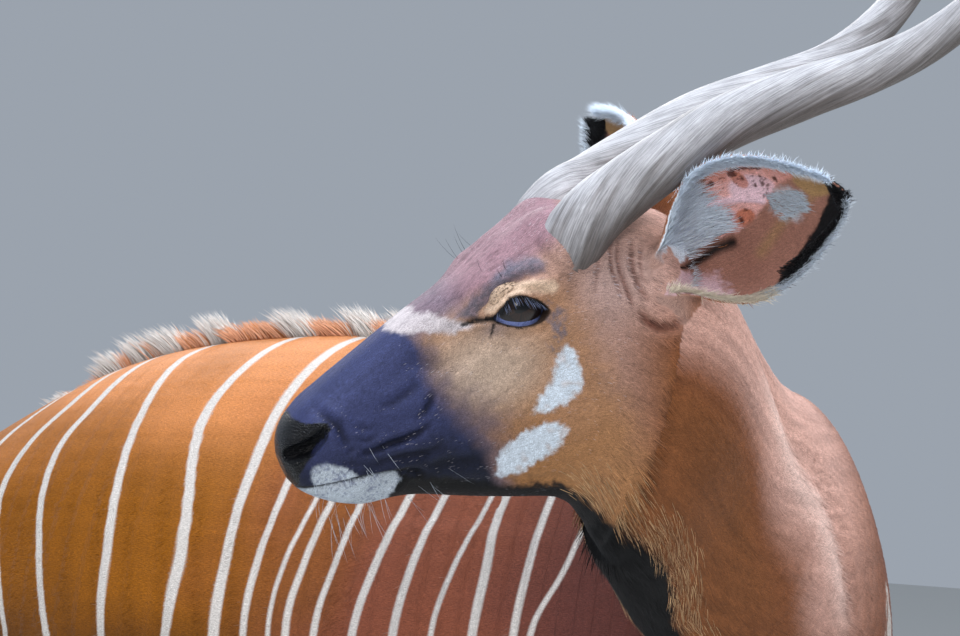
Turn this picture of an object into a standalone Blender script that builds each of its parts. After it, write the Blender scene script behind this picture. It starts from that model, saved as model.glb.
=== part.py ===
"""A life-size bongo antelope, standing, with its neck turned to its right and its head looking back.

Metres, +Z up. The trunk runs along X with the chest towards +X, and the left side of the body is +Y.
The floor is at z = 0, and the origin is under the middle of the whole animal's box.
"""

import math

import bmesh
import bpy
import numpy as np
from mathutils import Vector

# Places in the body's own frame are moved by this, so that the origin lies under the middle of the box.
BODY_SHIFT = np.array([-0.1228, 0.1865, 0.0])
GAP = 0.0003

# Trunk: for each station along X, the height of the back and of the belly, the half width,
# the share of the depth at which it is widest, and how boxy the upper and the lower half are.
TRUNK = [
    (-0.722, 0.915, 0.815, 0.040, 0.55, 2.0, 2.0),
    (-0.708, 0.965, 0.760, 0.095, 0.55, 2.0, 2.0),
    (-0.665, 1.012, 0.705, 0.145, 0.55, 2.0, 2.0),
    (-0.600, 1.048, 0.675, 0.178, 0.55, 2.0, 2.1),
    (-0.500, 1.103, 0.660, 0.208, 0.56, 2.0, 2.2),
    (-0.374, 1.166, 0.655, 0.232, 0.54, 1.9, 2.2),
    (-0.257, 1.207, 0.640, 0.250, 0.50, 1.85, 2.2),
    (-0.120, 1.228, 0.615, 0.262, 0.48, 1.85, 2.2),
    (0.043, 1.236, 0.598, 0.258, 0.48, 1.85, 2.2),
    (0.180, 1.226, 0.590, 0.240, 0.48, 1.85, 2.15),
    (0.300, 1.214, 0.592, 0.216, 0.50, 1.8, 2.1),
    (0.400, 1.205, 0.602, 0.196, 0.50, 1.8, 2.1),
    (0.490, 1.180, 0.630, 0.178, 0.50, 1.9, 2.0),
    (0.570, 1.120, 0.680, 0.150, 0.50, 2.0, 2.0),
    (0.625, 1.040, 0.745, 0.096, 0.50, 2.0, 2.0),
    (0.650, 0.960, 0.820, 0.055, 0.50, 2.0, 2.0),
]

# The head's own frame: where its origin, midway between the eyes, is, and how it is turned.
HEAD_AT = np.array([0.617, -0.477, 1.295])
HEAD_FORWARD = np.array([-0.5959, -0.7129, -0.3699])
HEAD_LEFT = np.array([0.7955, -0.5873, -0.1497])

# Head: for each station from the throat to the nose, the top and the bottom of its section as (x, z)
# in the head's frame, the half width, then the share and the boxiness as for the trunk.
HEAD = [
    ((-0.172, -0.018), (-0.006, -0.258), 0.074, 0.52, 2.0, 2.0),  # behind the ears
    ((-0.160, 0.010), (-0.003, -0.244), 0.073, 0.55, 2.1, 2.0),  # poll
    ((-0.132, 0.033), (0.000, -0.231), 0.073, 0.57, 2.2, 1.95),
    ((-0.100, 0.047), (0.002, -0.219), 0.074, 0.60, 2.3, 1.9),
    ((-0.068, 0.053), (0.005, -0.209), 0.075, 0.62, 2.4, 1.85),  # horns
    ((-0.038, 0.054), (0.009, -0.200), 0.075, 0.64, 2.4, 1.8),
    ((-0.012, 0.050), (0.018, -0.191), 0.074, 0.68, 2.4, 1.75),
    ((0.010, 0.041), (0.033, -0.184), 0.071, 0.72, 2.4, 1.7),  # eyes
    ((0.035, 0.031), (0.053, -0.176), 0.064, 0.70, 2.4, 1.7),
    ((0.060, 0.024), (0.078, -0.165), 0.056, 0.66, 2.4, 1.75),
    ((0.090, 0.016), (0.104, -0.153), 0.049, 0.62, 2.5, 1.8),
    ((0.119, 0.007), (0.129, -0.141), 0.0455, 0.58, 2.5, 1.9),
    ((0.150, -0.003), (0.154, -0.1325), 0.0445, 0.55, 2.5, 2.0),
    ((0.177, -0.012), (0.180, -0.127), 0.0440, 0.54, 2.5, 2.1),
    ((0.200, -0.021), (0.200, -0.118), 0.0410, 0.54, 2.5, 2.2),  # nostrils
    ((0.217, -0.031), (0.216, -0.106), 0.0365, 0.54, 2.4, 2.2),
    ((0.228, -0.043), (0.227, -0.094), 0.0285, 0.54, 2.2, 2.2),
    ((0.2335, -0.056), (0.233, -0.082), 0.0150, 0.54, 2.0, 2.0),  # nose pad
]

# The neck bends so sharply at the throat that the first section of the head which clears the flat cut
# there is this many stations on.
HEAD_LOFT_START = 1.1

# Neck: for each station from the chest to the throat, the nape and the throat in the body's frame,
# then the half width, the share and the boxiness.
NECK = [
    ((0.330, 0.000, 1.150), (0.450, 0.000, 0.760), 0.120, 0.50, 2.0, 2.0),
    ((0.430, 0.000, 1.197), (0.590, -0.020, 0.770), 0.140, 0.46, 1.9, 2.1),
    ((0.520, -0.012, 1.196), (0.655, -0.075, 0.815), 0.118, 0.44, 1.9, 2.1),
    ((0.596, -0.048, 1.198), (0.668, -0.160, 0.875), 0.107, 0.44, 1.9, 2.1),
    ((0.652, -0.112, 1.202), (0.655, -0.235, 0.930), 0.095, 0.46, 1.9, 2.0),
    ((0.687, -0.185, 1.222), (0.642, -0.292, 0.980), 0.084, 0.48, 1.9, 2.0),
    ((0.703, -0.245, 1.262), (0.645, -0.334, 1.018), 0.077, 0.50, 1.95, 2.0),
    ((0.718, -0.305, 1.309), (0.651, -0.372, 1.048), 0.077, 0.51, 2.0, 2.0),
]

# Legs: for each height, the middle of the leg along X, its half length, its half width, and how far
# from the middle plane it stands.
FORE_LEG = [
    (0.960, 0.430, 0.110, 0.060, 0.100),
    (0.860, 0.440, 0.135, 0.078, 0.122),
    (0.760, 0.415, 0.118, 0.076, 0.132),
    (0.690, 0.395, 0.092, 0.066, 0.136),
    (0.630, 0.388, 0.070, 0.056, 0.136),
    (0.570, 0.392, 0.056, 0.047, 0.133),
    (0.490, 0.400, 0.045, 0.039, 0.130),
    (0.425, 0.407, 0.037, 0.034, 0.128),
    (0.380, 0.412, 0.038, 0.037, 0.127),
    (0.345, 0.411, 0.034, 0.034, 0.127),
    (0.305, 0.408, 0.027, 0.026, 0.127),
    (0.225, 0.405, 0.0245, 0.0235, 0.127),
    (0.165, 0.403, 0.027, 0.026, 0.127),
    (0.130, 0.404, 0.033, 0.034, 0.127),
    (0.102, 0.414, 0.030, 0.032, 0.127),
    (0.078, 0.428, 0.031, 0.034, 0.127),
    (0.050, 0.440, 0.036, 0.039, 0.127),
]
HIND_LEG = [
    (1.000, -0.480, 0.140, 0.050, 0.090),
    (0.900, -0.500, 0.185, 0.086, 0.122),
    (0.800, -0.490, 0.182, 0.090, 0.136),
    (0.715, -0.478, 0.150, 0.084, 0.142),
    (0.640, -0.492, 0.110, 0.068, 0.143),
    (0.570, -0.522, 0.078, 0.052, 0.142),
    (0.500, -0.562, 0.056, 0.041, 0.140),
    (0.450, -0.592, 0.050, 0.036, 0.138),
    (0.415, -0.608, 0.050, 0.036, 0.138),
    (0.375, -0.607, 0.042, 0.034, 0.138),
    (0.330, -0.600, 0.033, 0.029, 0.138),
    (0.240, -0.592, 0.0275, 0.025, 0.138),
    (0.170, -0.587, 0.029, 0.028, 0.138),
    (0.132, -0.584, 0.035, 0.035, 0.138),
    (0.103, -0.573, 0.031, 0.033, 0.138),
    (0.078, -0.558, 0.031, 0.034, 0.138),
    (0.050, -0.546, 0.036, 0.039, 0.138),
]
# How far each foot is set forward of its place under the leg's root, in a relaxed stance.
STRIDE = {"fore_left": 0.035, "fore_right": -0.030, "hind_left": -0.045, "hind_right": 0.040}
LEG_SIDE = {"left": 1.0, "right": -1.0}
STRIDE_FROM = 0.74

# Where the whole body is parted into nodes.
FORE_CUT_X = 0.235
HIND_CUT_X = -0.285
FORE_LEG_CUT_Z = 0.578
HIND_LEG_CUT_Z = 0.640
KNEE_CUT_Z = {"fore": 0.335, "hind": 0.372}
FETLOCK_CUT_Z = {"fore": 0.160, "hind": 0.164}
CORONET_Z = 0.054
NECK_BASE_STATION = 2
BODY_VOXEL = 0.0125
BODY_TRIANGLES = 3500
SMOOTH_ROUNDS = 6

# Eyes, in the head's frame, for the left side.
EYE_RADIUS = 0.0225
EYE_AT = np.array([0.001, 0.0545, -0.003])
LID_THICKNESS = 0.0030
LID_SOFTNESS = 0.0025
EYE_SIDES = 16
LID_FRONT = (0.0258, -0.0026)
LID_BACK = (-0.0218, -0.0132)
LID_TOP_RISE = 0.0180
LID_BOTTOM_DROP = 0.0100

# Horns: points of the middle line in the head's frame, for the left side. The right horn is its
# mirror image, set a little lower, as in life the two are never quite alike.
HORN_LINE = [
    (-0.044, 0.044, 0.014),
    (-0.086, 0.049, 0.043),
    (-0.120, 0.051, 0.055),
    (-0.168, 0.053, 0.067),
    (-0.230, 0.054, 0.078),
    (-0.300, 0.057, 0.078),
    (-0.360, 0.069, 0.076),
    (-0.412, 0.086, 0.084),
    (-0.462, 0.100, 0.104),
    (-0.512, 0.104, 0.140),
    (-0.556, 0.096, 0.186),
    (-0.590, 0.084, 0.238),
    (-0.606, 0.080, 0.292),
]
HORN_BASE_RADIUS = 0.0295
HORN_TIP_RADIUS = 0.0035
RIGHT_HORN_DROP = 0.014
HORN_TAPER_START, HORN_TAPER_END = 1.25, 0.85
HORN_FLATNESS = 0.94
# The keel: its height, how many times it winds round, where it starts and how wide it is, in radians.
HORN_KEEL = 0.0035
HORN_TWIST = 1.1
HORN_KEEL_FROM = 0.6
HORN_KEEL_WIDTH = 0.42
# Skin that rises round the root of a horn: how thick it is, and how far along the horn it reaches,
# in rows of HORN_LINE above the horn and in metres less below it.
COLLAR_THICKNESS = 0.0040
COLLAR_REACH = 0.53
COLLAR_SHORTER_BELOW = 0.016
COLLAR_ROOT_DRAW_IN = 0.35

# Ears: root, the way the ear points and the way its cup faces, in the head's frame for that side.
# The outline is (distance along, half width), and the curl is how far the cup's edges turn in.
EAR_THICKNESS = 0.0042
EAR_OUTLINE = [
    (0.000, 0.019),
    (0.020, 0.026),
    (0.043, 0.046),
    (0.068, 0.062),
    (0.096, 0.063),
    (0.126, 0.054),
    (0.156, 0.036),
    (0.178, 0.018),
    (0.188, 0.004),
]
EAR_CURL_ROOT, EAR_CURL_MIDDLE, EAR_CURL_TIP = 2.25, 1.15, 0.55
EAR_CURL_MIDDLE_AT = 0.42
EAR_BOW = 0.014
# How far the ear's middle bends up between root and tip.
EAR_LIFT = 0.009
# How much of its thickness the ear loses at its edges, and has more at the root and less at the tip.
EAR_EDGE_LOSS, EAR_ROOT_GAIN, EAR_TIP_LOSS = 0.35, 0.25, 0.20
EARS = {
    "left": ((-0.118, 0.062, -0.028), (-0.880, 0.455, 0.168), (0.42, 0.90, 0.10)),
    "right": ((-0.118, -0.062, -0.028), (-0.286, -0.830, 0.474), (0.90, 0.10, 0.42)),
}

# A lock of hair: the places along it, and its width there as a share of its full width. The root is sunk.
LOCK_STATIONS = [(-0.16, 0.80), (0.25, 1.0), (0.62, 0.72), (0.97, 0.12)]

# Crest along the back: upright tapered locks that lean towards the tail.
CREST_FRONT_X = 0.40
CREST_BACK_X = -0.575
CREST_LOCKS = 62
CREST_LENGTH = 0.044
CREST_WIDTH = 0.024
CREST_THICKNESS = 0.008
CREST_LEAN = 0.70
CREST_ROW = 0.0035
CREST_MARGIN = 0.0125
CREST_UPRIGHT_NEAR = 0.055
CREST_SHORTEST, CREST_LONGEST = 0.78, 1.12
CREST_END_LENGTH, CREST_END_REACH = 0.50, 0.22
CREST_SWAY, CREST_SWING = 0.15, 0.22
CREST_SPLAY = 12
CREST_FACE = (1.0, 0.3, 0.5)
CREST_BEND = (-0.30, -0.10, -0.06)

# Tail
TAIL_LINE = [
    (-0.610, 0.0, 0.988),
    (-0.672, 0.0, 0.974),
    (-0.722, 0.002, 0.915),
    (-0.746, 0.006, 0.810),
    (-0.753, 0.012, 0.700),
    (-0.751, 0.017, 0.600),
    (-0.748, 0.020, 0.530),
]
TAIL_ROOT_RADIUS = 0.033
TAIL_TIP_RADIUS = 0.011
TAIL_TAPER = 1.3
TUFT_LOCKS = 13
TUFT_LENGTH = 0.150
TUFT_WIDTH = 0.027
TUFT_THICKNESS = 0.010
# Where the tuft's locks grow, in points of the tail's line counted back from its end, how they spread
# outwards and how they curve in again.
TUFT_LOWEST, TUFT_REACH = 0.12, 1.20
TUFT_SPREAD, TUFT_SPREAD_MORE = 0.17, 0.08
TUFT_SHORTEST = 0.72
TUFT_CURVE = -0.12
TUFT_OUT = 0.004
TURN_BETWEEN_LOCKS = math.pi * (3 - math.sqrt(5))

# Feet
CLAW_HEIGHT = CORONET_Z - GAP
CLAW_LENGTH = 0.096
CLAW_HALF_WIDTH = 0.0185
CLAW_SPREAD = 0.0200
CLAW_HEEL_SHARE = 0.40
CLAW_LEVELS = [0.0, 0.12, 0.55, 1.0]
SOLE_SHARE = 0.97
# The claw's toe runs back by this as it rises, its heel forward, and its sides draw in.
TOE_RUN_BACK = 0.0466
HEEL_RUN_FORWARD = 0.004
CLAW_DRAW_IN = 0.042
CLAW_INNER_SHARE = 0.80
CLAW_TOE_NARROWING = 0.30
DEWCLAW_LENGTH = 0.024
DEWCLAW_RADIUS = 0.0105
DEWCLAW_FLATNESS = 0.85
DEWCLAW_WAY = (-0.72, 0.25, -0.62)
DEWCLAW_STATIONS = [(0.0, 0.9), (0.45, 1.0), (0.8, 0.72), (1.0, 0.3)]
# Height of the dewclaws' roots, how far behind the leg's middle they grow and how far apart.
DEWCLAW_Z = 0.112
DEWCLAW_BACK = 0.022
DEWCLAW_APART = 0.017
# A fore leg lies wholly ahead of this, and a hind leg wholly behind the other.
FORE_LEG_FROM_X = 0.05
HIND_LEG_FROM_X = -0.10


def unit(v):
    """v scaled to length 1, along the last axis."""
    v = np.asarray(v, float)
    return v / np.linalg.norm(v, axis=-1, keepdims=True)


HEAD_FORWARD = unit(HEAD_FORWARD)
HEAD_LEFT = unit(HEAD_LEFT - HEAD_LEFT.dot(HEAD_FORWARD) * HEAD_FORWARD)
HEAD_UP = np.cross(HEAD_FORWARD, HEAD_LEFT)
HEAD_AXES = np.array([HEAD_FORWARD, HEAD_LEFT, HEAD_UP])


def from_head(p):
    """Points of the head's frame in the body's frame."""
    return HEAD_AT + np.asarray(p, float) @ HEAD_AXES


def to_head(p):
    """Points of the body's frame in the head's frame."""
    return (np.asarray(p, float) - HEAD_AT) @ HEAD_AXES.T


def smooth_through(values, at):
    """A smooth curve through the rows of values, read at the fractional row numbers at."""
    values = np.asarray(values, float)
    rows = len(values)
    slopes = np.gradient(values, axis=0)
    first = np.clip(np.floor(at).astype(int), 0, rows - 2)
    t = (at - first)[:, None]
    a, b = values[first], values[first + 1]
    ta, tb = slopes[first], slopes[first + 1]
    return (
        a * (2 * t**3 - 3 * t**2 + 1)
        + ta * (t**3 - 2 * t**2 + t)
        + b * (3 * t**2 - 2 * t**3)
        + tb * (t**3 - t**2)
    )


def even_rows(points, count):
    """Fractional row numbers that divide the line through points into even lengths."""
    steps = np.linalg.norm(np.diff(np.asarray(points, float), axis=0), axis=1)
    along = np.concatenate([[0], np.cumsum(steps)])
    return np.interp(np.linspace(0, along[-1], count), along, np.arange(len(along)))


def even_turn(around):
    """Evenly spread angles round a section, counted from its top."""
    return 2 * math.pi * np.arange(around) / around


def crowded_turn(around, centre, spread, crowding):
    """Angles round a section that lie closer together near centre, alike on both sides."""
    fine = np.linspace(0, math.pi, 400)
    density = 1 + crowding * np.exp(-(((fine - centre) / spread) ** 2))
    total = np.concatenate([[0], np.cumsum((density[1:] + density[:-1]) / 2)])
    half = np.interp(np.linspace(0, total[-1], around // 2 + 1), total, fine)
    return np.concatenate([half, 2 * math.pi - half[-2:0:-1]])


def section(top, bottom, left, half_width, share, upper, lower, turn):
    """A closed ring of points. upper and lower say how boxy its two halves are: 2 is an ellipse."""
    across, rise = np.sin(turn), np.cos(turn)
    power = 2 / np.where(rise >= 0, upper, lower)
    across = np.sign(across) * np.abs(across) ** power
    rise = np.sign(rise) * np.abs(rise) ** power
    height = np.where(rise >= 0, share + rise * (1 - share), share + rise * share)
    return (
        bottom
        + np.outer(height, top - bottom)
        + np.outer(across * half_width, left)
    )


def skin_rings(rings):
    """Vertices and faces of the closed body whose sections are rings, from the first end to the last."""
    rings = np.asarray(rings)
    count, around = rings.shape[:2]
    points = np.vstack([rings.reshape(-1, 3), rings[0].mean(0), rings[-1].mean(0)])
    first, last = count * around, count * around + 1
    faces = []
    for i in range(count - 1):
        for k in range(around):
            n = (k + 1) % around
            faces.append((i * around + k, i * around + n, (i + 1) * around + n, (i + 1) * around + k))
    for k in range(around):
        n = (k + 1) % around
        faces.append((first, n, k))
        faces.append((last, (count - 1) * around + k, (count - 1) * around + n))
    return points, faces


def mesh_object(name, points, faces):
    """A new object at the origin, with its faces turned outwards."""
    mesh = bpy.data.meshes.new(name)
    mesh.from_pydata([tuple(p) for p in np.asarray(points, float)], [], faces)
    shaped = bmesh.new()
    shaped.from_mesh(mesh)
    bmesh.ops.recalc_face_normals(shaped, faces=shaped.faces)
    shaped.to_mesh(mesh)
    shaped.free()
    made = bpy.data.objects.new(name, mesh)
    bpy.context.scene.collection.objects.link(made)
    return made


def trunk_rings(count, turn):
    """Sections of the trunk, rump to chest."""
    rows = smooth_through(TRUNK, np.linspace(0, len(TRUNK) - 1, count))
    return [
        section(
            np.array([x, 0, back]), np.array([x, 0, belly]), np.array([0, 1, 0]), w, share, up, low, turn
        )
        for x, back, belly, w, share, up, low in rows
    ]


def neck_and_head_rows():
    """The neck's and the head's stations as one list of numbers, chest to nose."""
    rows = [(*nape, *throat, *rest) for nape, throat, *rest in NECK]
    for top, bottom, *rest in HEAD:
        d = from_head([top[0], 0, top[1]])
        v = from_head([bottom[0], 0, bottom[1]])
        rows.append((*d, *v, *rest))
    return np.array(rows)


def neck_and_head_rings(at, turn):
    """Sections of the neck and the head at the fractional station numbers at."""
    rows = smooth_through(neck_and_head_rows(), at)
    step = 0.02
    ahead = smooth_through(neck_and_head_rows(), np.minimum(at + step, len(NECK) + len(HEAD) - 1))
    behind = smooth_through(neck_and_head_rows(), np.maximum(at - step, 0))
    forward = (ahead[:, :3] + ahead[:, 3:6] - behind[:, :3] - behind[:, 3:6]) / 2
    left = unit(np.cross(rows[:, :3] - rows[:, 3:6], forward))
    return [
        section(row[:3], row[3:6], side, *row[6:10], turn)
        for row, side in zip(rows, left)
    ]


def leg_offset(z, stride):
    """How far a leg is carried forward at height z, so that its foot is set stride forward."""
    share = np.clip((STRIDE_FROM - z) / STRIDE_FROM, 0, 1)
    return stride * share


def leg_rings(stations, stride, side, count, turn):
    """Sections of one leg, root to coronet."""
    line = [(x, 0, z) for z, x, *_ in stations]
    rows = smooth_through(stations, even_rows(line, count))
    rings = []
    for z, x, half_length, half_width, out in rows:
        x = x + leg_offset(z, stride)
        front = np.array([x + half_length, side * out, z])
        back = np.array([x - half_length, side * out, z])
        rings.append(
            section(front, back, np.array([0, side, 0]), half_width, 0.5, 2.0, 2.0, turn)
        )
    return rings


def bump(p, centre, size):
    """A soft bump, 1 at centre and near 0 beyond about size, for points p of the head's left half."""
    away = (p - np.asarray(centre)) / np.asarray(size)
    return np.exp(-(away**2).sum(-1))


# Relief of the head, in its frame for the left half: where, how far it reaches, and how high it stands.
HEAD_BUMPS = [
    ((0.014, 0.062, 0.020), (0.030, 0.022, 0.013), 0.0075),  # brow
    ((-0.028, 0.066, 0.012), (0.022, 0.020, 0.016), 0.0060),  # back of the brow
    ((0.000, 0.070, -0.034), (0.050, 0.022, 0.011), 0.0045),  # cheek bone
    ((0.088, 0.046, -0.022), (0.036, 0.020, 0.022), -0.0060),  # hollow before the eye
    ((-0.020, 0.062, -0.120), (0.045, 0.030, 0.050), 0.0070),  # chewing muscle
    ((0.066, 0.046, -0.100), (0.030, 0.022, 0.026), -0.0045),  # hollow before it
    ((-0.075, 0.068, 0.006), (0.022, 0.018, 0.020), -0.0045),  # temple
    ((0.190, 0.036, -0.046), (0.020, 0.022, 0.018), 0.0045),  # wing of the nostril
    ((0.140, 0.040, -0.090), (0.045, 0.022, 0.016), 0.0040),  # upper lip
    ((0.166, 0.030, -0.126), (0.030, 0.022, 0.010), 0.0030),  # chin
    ((-0.128, 0.058, -0.026), (0.024, 0.024, 0.030), 0.0080),  # root of the ear
    ((-0.056, 0.042, 0.050), (0.024, 0.036, 0.026), 0.0140),  # root of the horn
    ((-0.070, 0.070, 0.022), (0.022, 0.018, 0.020), 0.0050),
]
# The mouth's left half, from its corner to the front, and how far the lips part and how deep they meet.
MOUTH_LINE = [
    (0.134, 0.0430, -0.1110),
    (0.158, 0.0430, -0.1040),
    (0.181, 0.0410, -0.1000),
    (0.205, 0.0360, -0.0985),
    (0.222, 0.0250, -0.0950),
    (0.231, 0.0000, -0.0920),
]
LIP_PARTING, LIP_INNER_PARTING, LIP_DEPTH, LIP_CLEAR = 0.0025, 0.00035, 0.0090, 0.0080
# Towards its corners the mouth narrows over this many sections, down to this share.
CORNER_RINGS, CORNER_SHARE = 4, 0.25
# One nostril, from its narrow upper end to the front: middle and half height of the opening.
NOSTRIL_LINE = [
    (0.1880, 0.0455, -0.0395, 0.0020),
    (0.1970, 0.0430, -0.0485, 0.0048),
    (0.2105, 0.0365, -0.0545, 0.0070),
    (0.2235, 0.0270, -0.0560, 0.0058),
    (0.2300, 0.0190, -0.0560, 0.0025),
]
NOSTRIL_DEPTH = 2.0
NOSTRIL_FACING = (0.45, 1.0, 0.0)


def sculpt_head(points, normals):
    """The loft of the head with its bones, muscles, eye sockets, nostrils and mouth raised or sunk."""
    p, n = to_head(points), normals @ HEAD_AXES.T
    side = np.where(p[:, 1] < 0, -1.0, 1.0)
    q = p * np.stack([np.ones_like(side), side, np.ones_like(side)], 1)
    height = sum(amount * bump(q, centre, size) for centre, size, amount in HEAD_BUMPS)
    p = p + n * height[:, None]
    eye = EYE_AT * np.stack([np.ones_like(side), side, np.ones_like(side)], 1)
    away = p - eye
    far = np.linalg.norm(away, axis=1)
    short = (EYE_RADIUS + LID_THICKNESS - far) / LID_SOFTNESS
    push = np.where(away[:, 1] * side > 0, LID_SOFTNESS * np.logaddexp(0, short), 0)
    return from_head(eye + away * (1 + push / far)[:, None])


def mesh_normals(mesh):
    """The mesh's vertex normals as an array."""
    normals = np.empty(len(mesh.vertices) * 3, np.float32)
    mesh.vertices.foreach_get("normal", normals)
    return normals.reshape(-1, 3).astype(float)


def mesh_points(mesh):
    """The mesh's vertices as an array."""
    points = np.empty(len(mesh.vertices) * 3, np.float32)
    mesh.vertices.foreach_get("co", points)
    return points.reshape(-1, 3).astype(float)


def set_points(mesh, points):
    mesh.vertices.foreach_set("co", np.asarray(points, np.float32).ravel())
    mesh.update()


def material(name, colour, roughness):
    """A plain painted surface."""
    made = bpy.data.materials.new(name)
    made.use_nodes = True
    shader = made.node_tree.nodes["Principled BSDF"]
    shader.inputs["Base Color"].default_value = (*colour, 1.0)
    shader.inputs["Roughness"].default_value = roughness
    made.diffuse_color = (*colour, 1.0)
    return made


def apply_modifiers(obj):
    """Gives obj the mesh that its modifiers make."""
    graph = bpy.context.evaluated_depsgraph_get()
    made = bpy.data.meshes.new_from_object(obj.evaluated_get(graph))
    old = obj.data
    obj.modifiers.clear()
    obj.data = made
    bpy.data.meshes.remove(old)


def boolean(obj, other, operation, solver="EXACT"):
    """Joins other to obj, or cuts it away, and removes it."""
    step = obj.modifiers.new(operation.lower(), "BOOLEAN")
    step.operation = operation
    step.object = other
    step.solver = solver
    apply_modifiers(obj)
    bpy.data.objects.remove(other)


def unite(obj, pieces):
    """Fuses a list of closed mesh objects into obj in one union, then removes them."""
    group = bpy.data.collections.new("to_fuse")
    for piece in pieces:
        group.objects.link(piece)
    step = obj.modifiers.new("fuse", "BOOLEAN")
    step.operation = "UNION"
    step.operand_type = "COLLECTION"
    step.collection = group
    step.solver = "MANIFOLD"
    apply_modifiers(obj)
    for piece in pieces:
        bpy.data.objects.remove(piece)
    bpy.data.collections.remove(group)
    keep_largest(obj)


def keep_largest(obj):
    """Leaves only the closed surface with the most faces, counting faces joined along an edge as one."""
    shaped = bmesh.new()
    shaped.from_mesh(obj.data)
    left, best = set(shaped.faces), []
    while left:
        start = left.pop()
        found, to_visit = [start], [start]
        while to_visit:
            face = to_visit.pop()
            for edge in face.edges:
                for other in edge.link_faces:
                    if other in left:
                        left.remove(other)
                        found.append(other)
                        to_visit.append(other)
        if len(found) > len(best):
            best = found
    keep = set(best)
    bmesh.ops.delete(shaped, geom=[f for f in shaped.faces if f not in keep], context="FACES")
    shaped.to_mesh(obj.data)
    shaped.free()


def copy_of(obj, name):
    made = bpy.data.objects.new(name, obj.data.copy())
    bpy.context.scene.collection.objects.link(made)
    return made


def triangulate(obj):
    """Splits obj's faces into triangles, so that a swollen copy of it has the very same ones."""
    shaped = bmesh.new()
    shaped.from_mesh(obj.data)
    bmesh.ops.triangulate(shaped, faces=shaped.faces[:])
    shaped.to_mesh(obj.data)
    shaped.free()


def swollen(obj, amount):
    """A copy of obj with its surface moved outwards by amount."""
    triangulate(obj)
    made = copy_of(obj, obj.name + "_swollen")
    set_points(made.data, mesh_points(made.data) + amount * mesh_normals(made.data))
    return made


def cut_off(obj, at, direction):
    """Cuts obj with a plane half a gap short of at, drops the side that direction points to, and caps it."""
    shaped = bmesh.new()
    shaped.from_mesh(obj.data)
    direction = Vector(direction).normalized()
    bmesh.ops.bisect_plane(
        shaped,
        geom=shaped.verts[:] + shaped.edges[:] + shaped.faces[:],
        plane_co=Vector(at) - direction * (GAP / 2),
        plane_no=direction,
        clear_outer=True,
    )
    open_edges = [e for e in shaped.edges if len(e.link_faces) == 1]
    bmesh.ops.holes_fill(shaped, edges=open_edges, sides=0)
    bmesh.ops.triangulate(shaped, faces=[f for f in shaped.faces if len(f.verts) > 4])
    bmesh.ops.recalc_face_normals(shaped, faces=shaped.faces)
    shaped.to_mesh(obj.data)
    shaped.free()


def part_of(body, name, planes):
    """The part of body, as its own node, that lies behind all the given planes."""
    made = copy_of(body, name)
    for at, direction in planes:
        cut_off(made, at, direction)
    keep_largest(made)
    return made


def station_plane(station):
    """A point and the forward direction of the plane of one station of the neck and head."""
    rows = neck_and_head_rows()
    row = rows[station]
    forward = rows[station + 1, :6] - rows[station - 1, :6]
    forward = forward[:3] + forward[3:]
    rise = row[:3] - row[3:6]
    left = np.cross(rise, forward)
    return (row[:3] + row[3:6]) / 2, unit(np.cross(left, rise))


def whole_body():
    """Trunk, neck and legs grown together into one closed skin."""
    lofts = [
        trunk_rings(60, even_turn(40)),
        neck_and_head_rings(np.linspace(0, len(NECK) + 4, 50), even_turn(40)),
    ]
    for name, stride in STRIDE.items():
        end, side = name.split("_")
        stations = FORE_LEG if end == "fore" else HIND_LEG
        lofts.append(leg_rings(stations, stride, LEG_SIDE[side], 60, even_turn(24)))
    body = closed_pieces("body", lofts)
    grow = body.modifiers.new("grow_together", "REMESH")
    grow.mode = "VOXEL"
    grow.voxel_size = BODY_VOXEL
    apply_modifiers(body)
    soften = body.modifiers.new("soften", "SMOOTH")
    soften.factor = 0.5
    soften.iterations = SMOOTH_ROUNDS
    apply_modifiers(body)
    body.data.calc_loop_triangles()
    thin = body.modifiers.new("fewer_faces", "DECIMATE")
    thin.ratio = BODY_TRIANGLES / len(body.data.loop_triangles)
    apply_modifiers(body)
    return body


def closed_pieces(name, lofts):
    """One object that holds several closed lofts, each facing outwards."""
    shaped = bmesh.new()
    for rings in lofts:
        p, f = skin_rings(rings)
        piece = mesh_object("loft", p, f)
        shaped.from_mesh(piece.data)
        bpy.data.objects.remove(piece)
    mesh = bpy.data.meshes.new(name)
    shaped.to_mesh(mesh)
    shaped.free()
    made = bpy.data.objects.new(name, mesh)
    bpy.context.scene.collection.objects.link(made)
    return made


def make_head():
    """The head, from behind the ears to the nose, with its sockets and lids."""
    cut = len(NECK)
    last = len(NECK) + len(HEAD) - 1
    eyes = len(NECK) + 7
    spread = np.concatenate(
        [
            [cut],
            np.linspace(cut + HEAD_LOFT_START, eyes - 2.4, 8)[:-1],
            np.linspace(eyes - 2.4, eyes + 1.6, 14)[:-1],
            np.linspace(eyes + 1.6, last, 17),
        ]
    )
    turn = crowded_turn(33, math.radians(86), math.radians(36), 1.3)
    points, faces = skin_rings(neck_and_head_rings(spread, turn))
    head = mesh_object("head", points, faces)
    points = sculpt_head(mesh_points(head.data), mesh_normals(head.data))
    at, forward = station_plane(cut)
    flat_end = [*range(len(turn)), len(points) - 2]
    points[flat_end] += np.outer(GAP / 2 - (points[flat_end] - at) @ forward, forward)
    set_points(head.data, points)
    unite(head, [horn_collar(side) for side in LEG_SIDE.values()])
    for side in LEG_SIDE.values():
        boolean(head, eye_ball("socket", side, EYE_RADIUS + GAP), "DIFFERENCE")
        boolean(head, lid_opening(side), "DIFFERENCE")
        boolean(head, nostril_cut(side), "DIFFERENCE")
    boolean(head, mouth_cut(), "DIFFERENCE")
    keep_largest(head)
    return head


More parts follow.
